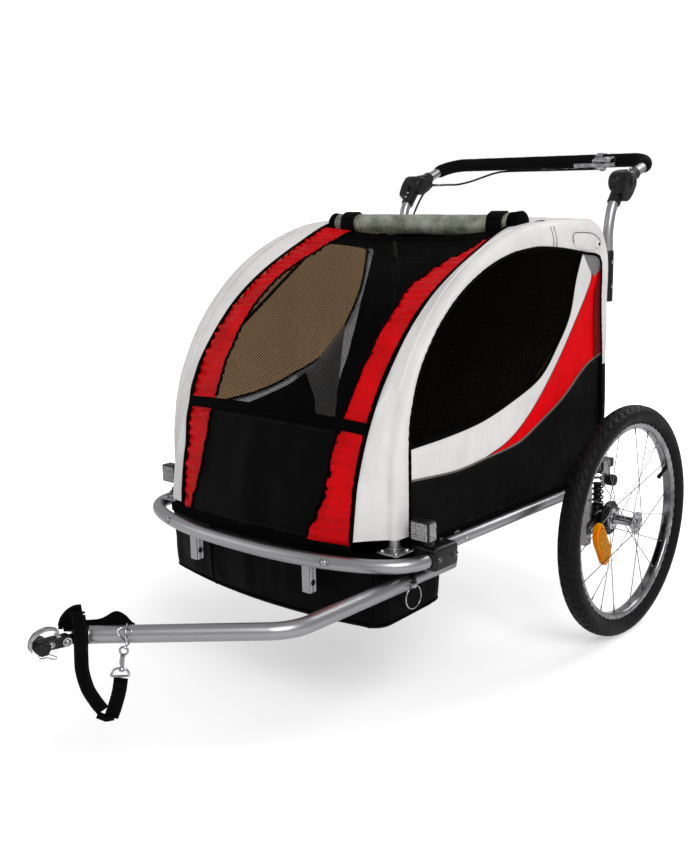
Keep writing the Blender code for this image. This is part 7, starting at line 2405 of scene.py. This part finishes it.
@dataclass
class Seat:
    """Two-place sling seat with a raised back, sewn channels and both harnesses."""

    half: float = 0.2345
    thick: float = 0.0200
    crown: float = 0.0065
    voxel: float = 0.0075
    swell: float = 0.0045
    place_x: float = 0.1175
    line: tuple = ((-0.5115, 0.3590), (-0.470, 0.3595), (-0.424, 0.3595), (-0.284, 0.3595), (-0.167, 0.3595),
                   (-0.120, 0.3640), (-0.1005, 0.3938), (-0.0905, 0.4638), (-0.0745, 0.5838),
                   (-0.0525, 0.6988), (-0.0355, 0.7860))

    def __post_init__(self) -> None:
        """Lay out the seat's line once."""
        self.route = evenly(smooth_route(self.line, 8), 90)
        self.length = length_of(self.route)

    def at(self, share: float, x: float, off: float = 0.0) -> Vector:
        """Find a place on the seat's upper face.

        Args:
            share: 0 at the front edge, 1 at the back's top.
            x: place across the trailer.
            off: how far off the face.

        Returns:
            The place.
        """
        spot = max(0.0, min(1.0, share)) * (len(self.route) - 1)
        k = min(int(spot), len(self.route) - 2)
        a, b = self.route[k], self.route[k + 1]
        step = (self.route[min(k + 3, len(self.route) - 1)] - self.route[max(k - 2, 0)]).normalized()
        place = a.lerp(b, spot - k) + Vector((-step.y, step.x, 0.0)) * (off + self.raised(x))
        return Vector((x, place.x, place.y))

    def raised(self, x: float) -> float:
        """How far the padding stands up under each child's place."""
        across = (abs(x) - self.place_x) / self.place_x
        return self.crown * (1.0 - min(1.0, across * across) ** 1.3)

    def blank(self) -> bmesh.types.BMesh:
        """Make the pad before it is filled: both faces and its edges.

        Returns:
            One closed skin.
        """
        bm, rings = bmesh.new(), []
        for i in range(61):
            share = i / 60
            pinch = 0.35 * (1.0 - min(1.0, min(share, 1.0 - share) * 16.0)) ** 2
            top, low = [], []
            for k in range(41):
                x = self.half * (k / 20 - 1.0)
                edge = 0.30 * (1.0 - min(1.0, (self.half - abs(x)) / 0.028)) ** 2
                drop = (edge + pinch) * self.thick
                top.append(bm.verts.new(self.at(share, x, -drop)))
                low.append(bm.verts.new(self.at(share, x, -self.thick - self.raised(x) + drop * 0.6)))
            rings.append(top + low[::-1])
        for a, b in zip(rings, rings[1:]):
            for k in range(len(a)):
                n = (k + 1) % len(a)
                bm.faces.new((a[k], a[n], b[n], b[k]))
        for ring in (rings[0], rings[-1]):
            half = len(ring) // 2
            for k in range(half - 1):
                bm.faces.new((ring[k], ring[k + 1], ring[-k - 2], ring[-k - 1]))
        bmesh.ops.recalc_face_normals(bm, faces=bm.faces)
        return bm

    def filled(self, bm: bmesh.types.BMesh) -> bpy.types.Mesh:
        """Fill the blank by a cloth simulation under air pressure and keep its result.

        Args:
            bm: the closed blank.

        Returns:
            The swollen pad as a mesh.
        """
        scene = bpy.context.scene
        mesh = bpy.data.meshes.new("seat_blank")
        bm.to_mesh(mesh)
        bm.free()
        pad = bpy.data.objects.new("seat_blank", mesh)
        scene.collection.objects.link(pad)
        remesh = pad.modifiers.new("Remesh", "REMESH")
        remesh.mode, remesh.voxel_size = "VOXEL", self.voxel
        solid = bpy.data.meshes.new_from_object(pad.evaluated_get(bpy.context.evaluated_depsgraph_get()))
        pad.modifiers.clear()
        pad.data = solid
        before = [v.co.copy() for v in solid.vertices]
        after = before
        cloth = pad.modifiers.new("Cloth", "CLOTH")
        cloth.settings.quality = 4
        cloth.settings.use_pressure = True
        cloth.settings.uniform_pressure_force = 4.0
        cloth.settings.effector_weights.gravity = 0.0
        cloth.collision_settings.use_collision = False
        for number in range(1, 21):
            scene.frame_set(number)
        puffed = bpy.data.meshes.new_from_object(
            pad.evaluated_get(bpy.context.evaluated_depsgraph_get()))
        after = [v.co.copy() for v in puffed.vertices]
        scene.frame_set(1)
        pad.modifiers.clear()
        for vert, a, b in zip(solid.vertices, before, after):
            step = b - a
            vert.co = a + step * min(1.0, self.swell / max(step.length, 1e-9))
        self.sew(solid)
        finer = pad.modifiers.new("Finer", "SUBSURF")
        finer.levels = finer.render_levels = 1
        done = bpy.data.meshes.new_from_object(pad.evaluated_get(bpy.context.evaluated_depsgraph_get()))
        bpy.data.objects.remove(pad)
        return done

    def sew(self, mesh: bpy.types.Mesh) -> None:
        """Draw the sewn channels into the padding and drag the cloth between them.

        Args:
            mesh: the filled pad.
        """
        fine = evenly(self.route, 400)
        tree = kdtree.KDTree(len(fine))
        for k, place in enumerate(fine):
            tree.insert((0.0, place.x, place.y), k)
        tree.balance()
        normals = [v.normal.copy() for v in mesh.vertices]
        for vert, normal in zip(mesh.vertices, normals):
            x = vert.co.x
            share = tree.find((0.0, vert.co.y, vert.co.z))[1] / (len(fine) - 1)
            depth = 0.0
            for line in (0.0, 0.232, -0.232):
                depth += 0.0075 * math.exp(-((x - line) / 0.0050) ** 2) * (0.4 if line else 1.0)
            for line in (0.20, 0.40, 0.66, 0.83):
                if abs(x) > 0.012:
                    depth += 0.0050 * math.exp(-((share - line) * self.length / 0.0055) ** 2)
            folds = 0.0009 * cloud(vert.co, 0.022, 3.0) + 0.0012 * cloud(vert.co, 0.07, 5.0)
            vert.co = vert.co - normal * (min(depth, 0.0095) - folds)

    def belt(self, forge: Forge, route: Route, width: float, finish: Finish, thick: float = 0.0022) -> None:
        """Webbing that lies on the seat's face.

        Args:
            forge: the piece that takes it.
            route: where it lies.
            width: how wide it is.
            finish: what it is finished in.
            thick: how thick it is.
        """
        rows = []
        for k, place in enumerate(route):
            step = (route[min(k + 1, len(route) - 1)] - route[max(k - 1, 0)]).normalized()
            out = Vector((0.0, -0.8, 0.6)) if place.z > 0.42 else Vector((0.0, -0.25, 1.0))
            side = step.cross(out).normalized() * width / 2
            rise = side.cross(step).normalized()
            rise = rise if rise.dot(out) > 0 else -rise
            rows.append([place + side * (j / 3 - 1) + rise * 0.0009 * (1 - (j / 3 - 1) ** 2)
                         for j in range(7)])
        forge.sheet(rows, finish, thick, Vector((0.0, 0.05, 0.20)))

    def harness(self, side: str, sign: int) -> None:
        """Shoulder straps with pads, lap and crotch straps and a buckle for one place.

        Args:
            side: left or right.
            sign: 1 on the left, -1 on the right.
        """
        made, x = Forge("harness_" + side), sign * self.place_x
        buckle = self.at(0.395, x, 0.0130)
        for s in (1, -1):
            line = [self.at(0.905, x + s * 0.052, 0.0050), self.at(0.84, x + s * 0.050, 0.0075),
                    self.at(0.74, x + s * 0.046, 0.0090), self.at(0.64, x + s * 0.041, 0.0120),
                    self.at(0.56, x + s * 0.034, 0.0170), self.at(0.49, x + s * 0.024, 0.0190),
                    self.at(0.43, x + s * 0.014, 0.0150)]
            run = smooth_route(line, 7)
            self.belt(made, run, 0.024, Looks.WEBBING)
            pad = run[8:27]
            self.belt(made, [p + Vector((0.0, -0.0022, 0.0014)) for p in pad], 0.044, Looks.LINING, 0.0065)
            lap = [self.at(0.50, x + s * 0.108, 0.0035), self.at(0.455, x + s * 0.080, 0.0070),
                   self.at(0.415, x + s * 0.045, 0.0095), self.at(0.395, x + s * 0.016, 0.0120)]
            self.belt(made, smooth_route(lap, 7), 0.022, Looks.WEBBING)
            slider = run[30]
            made.block(slider + Vector((0, -0.001, 0.002)), (0.030, 0.016, 0.006), Looks.PLASTIC, 0.0018,
                       Matrix.Rotation(math.radians(-35), 3, "X"))
        made.block(buckle, (0.044, 0.052, 0.013), Looks.PLASTIC, 0.0050, segments=4)
        made.block(buckle + Vector((0, 0, 0.0066)), (0.022, 0.024, 0.0030), Looks.GREY, 0.0012)
        crotch = [self.at(0.385, x, 0.0100), self.at(0.33, x, 0.0075), self.at(0.27, x, 0.0040),
                  self.at(0.225, x, 0.0010)]
        self.belt(made, smooth_route(crotch, 7), 0.024, Looks.WEBBING)
        made.done("trailer")

    def build(self) -> None:
        """Fill and sew the pad, trim it and lay both harnesses on it."""
        pad = bmesh.new()
        pad.from_mesh(self.filled(self.blank()))
        made = Forge("seat_padded")
        made.absorb(pad, Looks.BLACK)
        for sign in (1, -1):
            edge = [self.at(k / 60, sign * (self.half + 0.0008), -self.thick * 0.48 - 0.003)
                    for k in range(61)]
            made.sweep(edge, 0.0022, Looks.BINDING, sides=8)
        seat = made.done("trailer", "seat", slot="black_cloth", angle=60.0)
        for side, sign in SIDES:
            self.harness(side, sign)


@dataclass
class RearCloth:
    """Flat back of the cabin: hemmed cloth with a pocket, its flap and two buckled straps."""

    half: float = 0.2300
    low: float = 0.3440
    high: float = 0.7885
    y: float = 0.0352
    pocket: tuple = (0.175, 0.425, 0.640)

    def skin(self, x: float, z: float, proud: float = 0.0) -> Vector:
        """Find a place on the outer face of the back.

        Args:
            x: place across the trailer.
            z: its height.
            proud: how far off the face.

        Returns:
            The place.
        """
        fade = min(1.0, (self.half - abs(x)) / 0.02) * min(1.0, (self.high - z) / 0.02,
                                                           (z - self.low) / 0.02)
        drag = 0.0016 * cloud(Vector((x, 0.0, z * 0.5)), 0.10) + 0.0007 * cloud(Vector((x, 1.0, z)), 0.03)
        return Vector((x, self.y + max(0.0, fade) * (drag + 0.001) + proud, z))

    def build(self) -> None:
        """Make the back."""
        made, inside = Forge("rear_cloth"), Vector((0.0, -0.3, 0.6))
        rows = [[self.skin(self.half * (k / 24 - 1), self.low + (self.high - self.low) * i / 44)
                 for k in range(49)] for i in range(45)]
        made.sheet(rows, Looks.BLACK, 0.0014, inside)
        wide, base, top = self.pocket
        rows = []
        for i in range(33):
            z = base + (top - base) * i / 32
            row = []
            for k in range(41):
                x = wide * (k / 20 - 1)
                edge = min(1.0, (wide - abs(x)) / 0.030) * min(1.0, (z - base) / 0.030)
                sag = edge ** 0.6 * (0.0062 + 0.0018 * math.cos(i / 32 * 3.0))
                row.append(self.skin(x, z, 0.0006 + sag + 0.0012 * edge * cloud(Vector((x, 2.0, z)), 0.05)))
            rows.append(row)
        made.sheet(rows, Looks.BLACK, 0.0010, inside)
        rows = [[self.skin(wide * 1.02 * (k / 20 - 1), top + 0.022 - 0.050 * i / 12, 0.0012 + 0.0085 * min(
            1.0, i / 5.0) - 0.0015 * max(0.0, (i - 9) / 3.0)) for k in range(41)] for i in range(13)]
        made.sheet(rows, Looks.BLACK, 0.0012, inside)
        hem = [self.skin(wide * 1.02 * (k / 20 - 1), top - 0.028, 0.0086) for k in range(41)]
        made.sweep(hem, 0.0016, Looks.BINDING, sides=8)
        for x in (-0.110, 0.110):
            rows = [[self.skin(x + 0.0125 * (k / 3 - 1), z, 0.0088 + 0.0012 * math.sin(j / 8 * math.pi))
                     for k in range(7)] for j, z in enumerate(top + 0.008 - 0.0075 * n for n in range(9))]
            made.sheet(rows, Looks.WEBBING, 0.0018, inside)
            made.block(self.skin(x, top - 0.034, 0.0105), (0.030, 0.006, 0.016), Looks.PLASTIC, 0.0018)
        frame_line = [(-wide, base), (wide, base), (wide, top + 0.010), (-wide, top + 0.010), (-wide, base)]
        for (x0, z0), (x1, z1) in zip(frame_line, frame_line[1:]):
            count = 24
            run = [self.skin(x0 + (x1 - x0) * k / count, z0 + (z1 - z0) * k / count, 0.0009)
                   for k in range(count + 1)]
            made.stitches(run, Looks.THREAD, 0.0062)
        for z in (self.low + 0.006, self.high - 0.006):
            run = [self.skin(self.half * 0.98 * (k / 24 - 1), z, 0.0009) for k in range(49)]
            made.sweep(run, [(-0.0075, -0.0006), (0.0075, -0.0006), (0.0075, 0.0006), (-0.0075, 0.0006)],
                       Looks.BINDING, up=BACK)
            made.stitches([p + Vector((0, 0.0008, 0)) for p in run], Looks.THREAD, 0.0062)
        back = made.done("trailer", "rear_panel", slot="black_cloth")


@dataclass
class Footwell:
    """Bag under the front: soft walls that sag from the frame down to a stiff floor."""

    half: float = 0.2795
    front: float = -0.7415
    rear: float = -0.5148
    bow: float = 0.026
    corner: float = 0.034
    levels: tuple = ((0.3390, 0.0), (0.325, 0.0004), (0.300, 0.0008), (0.270, 0.001), (0.245, 0.0018),
                     (0.225, 0.003), (0.214, 0.0055), (0.207, 0.0105), (0.2040, 0.0170), (0.2032, 0.026))

    def outline(self, inset: float, count: int = 160) -> list[Vector]:
        """Follow the wall round once.

        Args:
            inset: how far it is drawn in.
            count: how many steps it is cut into.

        Returns:
            Its closed line.
        """
        half, r = self.half - inset, self.corner
        front, rear = self.front + inset, self.rear - inset
        line: list[Vector] = []

        def turn(x: float, y: float, start: float) -> None:
            """Add one rounded corner.

            Args:
                x: middle of the corner across.
                y: middle of the corner along.
                start: the angle it starts at, in degrees.
            """
            for k in range(9):
                t = math.radians(start + 90.0 * k / 8)
                line.append(Vector((x + r * math.cos(t), y + r * math.sin(t), 0.0)))

        turn(half - r, rear - r, 0.0)
        turn(-half + r, rear - r, 90.0)
        turn(-half + r, front + self.bow + r, 180.0)
        for k in range(1, 16):
            x = (-half + r) + (2 * (half - r)) * k / 16
            line.append(Vector((x, front + self.bow * (x / (half - r)) ** 2, 0.0)))
        turn(half - r, front + self.bow + r, 270.0)
        line.append(line[0].copy())
        return evenly(line, count)

    def build(self) -> None:
        """Make the walls, the floor, the seams and the hangers."""
        made, count, rows = Forge("footwell_cloth"), 160, []
        fine = smooth_route([(z, inset, 0.0) for z, inset in self.levels], 4)
        middle = Vector((0.0, (self.front + self.rear) / 2, 0.0))
        for level in fine:
            z, ring = level.x, self.outline(level.y, count)
            row = []
            for k, p in enumerate(ring):
                out = (Vector((p.x * 0.35, p.y - middle.y, 0.0))).normalized()
                depth = (0.339 - z) / 0.136
                sag = math.sin(math.pi * min(1.0, depth)) * 0.75
                angle = math.atan2(p.y - middle.y, p.x)
                folds = cloud(Vector((math.cos(angle) * 0.5, math.sin(angle) * 0.5, z * 0.35)), 0.09) * 0.0070
                folds += cloud(Vector((p.x, p.y, z * 1.4)), 0.035, 2.0) * 0.0028
                inward = -0.0020 * sag - 0.0012
                hang = 0.0085 * depth ** 2 * max(0.0, 0.55 + 1.6 * p.x) * max(
                    0.0, min(1.0, (self.rear - p.y) / 0.2))
                row.append(p + out * (inward + folds * sag) + UP * (z + 0.0010 * sag * folds / 0.004 - hang))
            row[-1] = row[0].copy()
            rows.append(row)
        made.sheet(rows, Looks.BLACK, 0.0016, Vector((0.0, middle.y, 0.30)))
        low = rows[-1]
        plate = []
        for i in range(13):
            t = i / 12
            plate.append([(low[k].lerp(Vector((middle.x, middle.y, low[k].z)), t)) + UP * 0.0002 * t
                          for k in range(count)] + [low[0].lerp(Vector((0, middle.y, low[0].z)), t)])
        made.sheet(plate, Looks.BLACK, 0.0014, Vector((0.0, middle.y, 0.50)))
        rim = rows[0]
        made.sweep([p + UP * -0.004 for p in rim[:-1]], [(-0.0016, -0.0090), (0.0014, -0.0090), (0.0018, 0.0),
                                                         (0.0014, 0.0040), (-0.0016, 0.0040)],
                   Looks.BINDING, up=UP, loop=True)
        edge = rows[int(len(rows) * 0.66)]
        made.sweep([p + (p - Vector((0, middle.y, p.z))).normalized() * 0.0012 for p in edge[:-1]], 0.0016,
                   Looks.BINDING, loop=True, sides=8)
        for k in (20, 58, 99, 142):
            seam = [row[k] + (row[k] - Vector((0, middle.y, row[k].z))).normalized() * 0.0010
                    for row in rows[2:-8]]
            made.sweep(seam, 0.0011, Looks.BINDING, sides=8)
            made.stitches([p + Vector((0.003 if p.x > 0 else -0.003, 0, 0)) for p in seam], Looks.THREAD,
                          0.0060, 0.0004)
        bag = made.done("trailer", "footwell_bag", slot="black_cloth")


@dataclass
class RainRoll:
    """Clear rain cover, rolled up above the window and held by two ties."""

    y: float = CABIN.roll[0]
    z: float = CABIN.roll[1]
    radius: float = 0.0228
    core: float = 0.0140
    ends: Flat = (-0.2240, 0.2560)
    turns: float = 2.3
    ties: tuple = (-0.172, 0.203)

    def tight(self, x: float) -> float:
        """How far the ties pull the roll in."""
        return 1.0 - 0.09 * max(math.exp(-((x - tie) / 0.013) ** 2) for tie in self.ties)

    def lift(self, x: float) -> float:
        """How far the near end rides up over the white band."""
        return 0.0050 * eased((x - 0.170) / 0.075)

    def spot(self, x: float, turn: float, radius: float) -> Vector:
        """A place on the roll."""
        return Vector((x, self.y + radius * math.cos(turn), self.z + self.lift(x) + radius * math.sin(turn)))

    def build(self) -> None:
        """Wind the cover and tie it."""
        made, axis = Forge("rolled_rain_cover"), Vector((0.0, self.y, self.z))
        rows = []
        for i in range(97):
            x = self.ends[0] + (self.ends[1] - self.ends[0]) * i / 96
            row = []
            for k in range(91):
                share = k / 90
                turn = 0.8 - share * self.turns * math.tau
                radius = (self.core + (self.radius - self.core) * share) * self.tight(x)
                lump = cloud(Vector((x * 0.5, math.cos(turn) * 0.02, math.sin(turn) * 0.02 + share)), 0.030)
                lump += 0.5 * cloud(Vector((x, turn * 0.004, share * 3)), 0.012)
                row.append(self.spot(x, turn, radius + 0.0009 * lump * (0.3 + 0.7 * share)))
            rows.append(row)

        def look(middle: Vector) -> Finish:
            """Black binding at both ends, clear film between."""
            near = middle.x > self.ends[1] - 0.026
            return Looks.BINDING if near or middle.x < self.ends[0] + 0.014 else Looks.VINYL

        made.sheet(rows, look, 0.0006, axis)
        line = [self.spot(self.ends[0] + 0.004 + (self.ends[1] - self.ends[0] - 0.008) * k / 40, 0.0, 0.0)
                for k in range(41)]
        made.sweep(line, self.core - 0.0012, Looks.FROST, up=UP, sides=36)
        for end, out in ((self.ends[0], -1), (self.ends[1], 1)):
            made.turn([(-0.014, self.radius * 0.96), (-0.002, self.radius + 0.0006),
                       (0.0006, self.radius - 0.001), (0.0010, self.radius * 0.5), (0.0006, 0.0)],
                      self.spot(end, 0.0, 0.0), sideways(out), Looks.BINDING, 36)
        for tie in self.ties:
            wide = 0.0175
            ring = [(-wide, self.radius - 0.0016), (-wide, self.radius + 0.0004), (-wide + 0.001,
                    self.radius + 0.0011), (wide - 0.001, self.radius + 0.0011),
                    (wide, self.radius + 0.0004), (wide, self.radius - 0.0016)]
            made.turn(ring, self.spot(tie, 0.0, 0.0), LEFT, Looks.WEBBING, 48, ring=True,
                      wave=lambda t, a: 0.0004 * math.sin(t * 5 + a * 300))
            tail = [self.spot(tie, math.radians(a), self.radius + 0.0024) for a in range(150, 66, -12)]
            made.sweep(tail, [(-0.0009, -0.0165), (0.0009, -0.0165), (0.0009, 0.0165), (-0.0009, 0.0165)],
                       Looks.WEBBING, up=LEFT)
            foot = [self.spot(tie, math.radians(a), self.radius + 0.0016) for a in (-25, -40, -58)]
            made.sweep(foot, [(-0.0010, -0.017), (0.0010, -0.017), (0.0010, 0.017), (-0.0010, 0.017)],
                       Looks.WEBBING, up=LEFT)
        made.done("trailer", "rain_cover_roll", slot="clear_vinyl", angle=60.0)


@dataclass
class Studio:
    """Camera, pale floor and soft light."""

    focal: float = 58.33
    place: tuple = (1.458, -1.6184, 0.956)
    azimuth: float = 41.56
    pitch: float = 12.10
    roll: float = -1.18

    def camera(self) -> None:
        """Stand the camera where the photograph was taken from."""
        data = bpy.data.cameras.new("photograph")
        data.sensor_fit, data.sensor_width, data.lens = "HORIZONTAL", 36.0, self.focal
        data.clip_start, data.clip_end = 0.05, 100.0
        eye = bpy.data.objects.new("photograph", data)
        a, p, r = (math.radians(v) for v in (self.azimuth, self.pitch, self.roll))
        back = Vector((math.sin(a) * math.cos(p), -math.cos(a) * math.cos(p), math.sin(p)))
        across = Vector((math.cos(a), math.sin(a), 0.0))
        rise = back.cross(across)
        c, s = math.cos(r), math.sin(r)
        turn = Matrix((across * c + rise * s, rise * c - across * s, back)).transposed().to_4x4()
        eye.matrix_world = Matrix.Translation(self.place) @ turn
        bpy.context.scene.collection.objects.link(eye)
        bpy.context.scene.camera = eye

    def lamp(self, name: str, place: Sequence[float], aim: Sequence[float], size: float, power: float
             ) -> None:
        """A square soft lamp aimed at a place.

        Args:
            name: what it is called.
            place: where it hangs.
            aim: what it points at.
            size: its side.
            power: its power in watts.
        """
        data = bpy.data.lights.new(name, "AREA")
        data.shape, data.size, data.energy = "SQUARE", size, power
        lamp = bpy.data.objects.new(name, data)
        lamp.location = place
        lamp.rotation_mode = "QUATERNION"
        lamp.rotation_quaternion = (Vector(aim) - Vector(place)).to_track_quat("-Z", "Y")
        bpy.context.scene.collection.objects.link(lamp)

    def floor(self) -> None:
        """A wide pale floor that rises to nothing: the world is its backdrop."""
        bm = bmesh.new()
        bmesh.ops.create_grid(bm, x_segments=8, y_segments=8, size=30.0)
        data = bpy.data.meshes.new("floor")
        bm.to_mesh(data)
        bm.free()
        shader = Shader("pale_floor")
        tone = shader.blend(shader.noise(0.8, 2.0), (0.90, 0.90, 0.90, 1.0), (0.93, 0.93, 0.93, 1.0))
        shader.put("Base Color", tone)
        shader.put("Roughness", 0.9)
        shader.put("Specular IOR Level", 0.1)
        path = shader.add("LightPath").outputs
        seen = shader.math("MAXIMUM", path["Is Camera Ray"], path["Is Transmission Ray"])
        away = shader.add("VectorMath", operation="LENGTH", i0=shader.place).outputs["Value"]
        glow = shader.math("MULTIPLY", seen, shader.span(away, 0.5, 2.4, 0.42, 1.0))
        shader.put("Emission Color", (1.0, 1.0, 1.0, 1.0))
        shader.put("Emission Strength", glow)
        data.materials.append(shader.material)
        ground = bpy.data.objects.new("floor", data)
        ground.location.z = -0.0005
        bpy.context.scene.collection.objects.link(ground)

    def sky(self) -> None:
        """White surroundings as seen, a softer level as light."""
        world = bpy.data.worlds.new("studio")
        bpy.context.scene.world = world
        world.use_nodes = True
        tree = world.node_tree
        glow = tree.nodes["Background"]
        path = tree.nodes.new("ShaderNodeLightPath").outputs
        seen = tree.nodes.new("ShaderNodeMath")
        seen.operation = "MAXIMUM"
        tree.links.new(path["Is Camera Ray"], seen.inputs[0])
        tree.links.new(path["Is Transmission Ray"], seen.inputs[1])
        level = tree.nodes.new("ShaderNodeMapRange")
        level.inputs[3].default_value, level.inputs[4].default_value = 0.42, 1.0
        tree.links.new(seen.outputs[0], level.inputs[0])
        glow.inputs["Color"].default_value = (1.0, 1.0, 1.0, 1.0)
        tree.links.new(level.outputs[0], glow.inputs["Strength"])

    def build(self) -> None:
        """Set up the whole studio."""
        self.camera()
        self.floor()
        self.sky()
        self.lamp("key", (3.1, -1.8, 3.2), (0.0, -0.1, 0.4), 2.2, 97.0)
        self.lamp("fill", (-2.8, -2.6, 1.8), (0.0, 0.0, 0.4), 2.6, 14.0)
        self.lamp("back", (0.6, 3.2, 2.6), (0.0, 0.0, 0.5), 2.0, 40.0)
        bpy.context.scene.view_settings.view_transform = "Standard"


def main() -> None:
    """Build every sub-assembly in order and report what was made."""
    logging.basicConfig(level=logging.INFO, format="%(message)s")
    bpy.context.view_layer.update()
    Studio().build()
    wheels = [Wheel(side, sign) for side, sign in SIDES]
    arms = [Suspension(side, sign) for side, sign in SIDES]
    cloth = (Canopy(), FrontCover(), SideCloth(), RearCloth(), Footwell(), Seat(), RainRoll())
    for maker in (*cloth, FloorFrame(), *wheels, *arms, TowLine(), PushHandle()):
        maker.build()


if __name__ == "__main__":
    main()
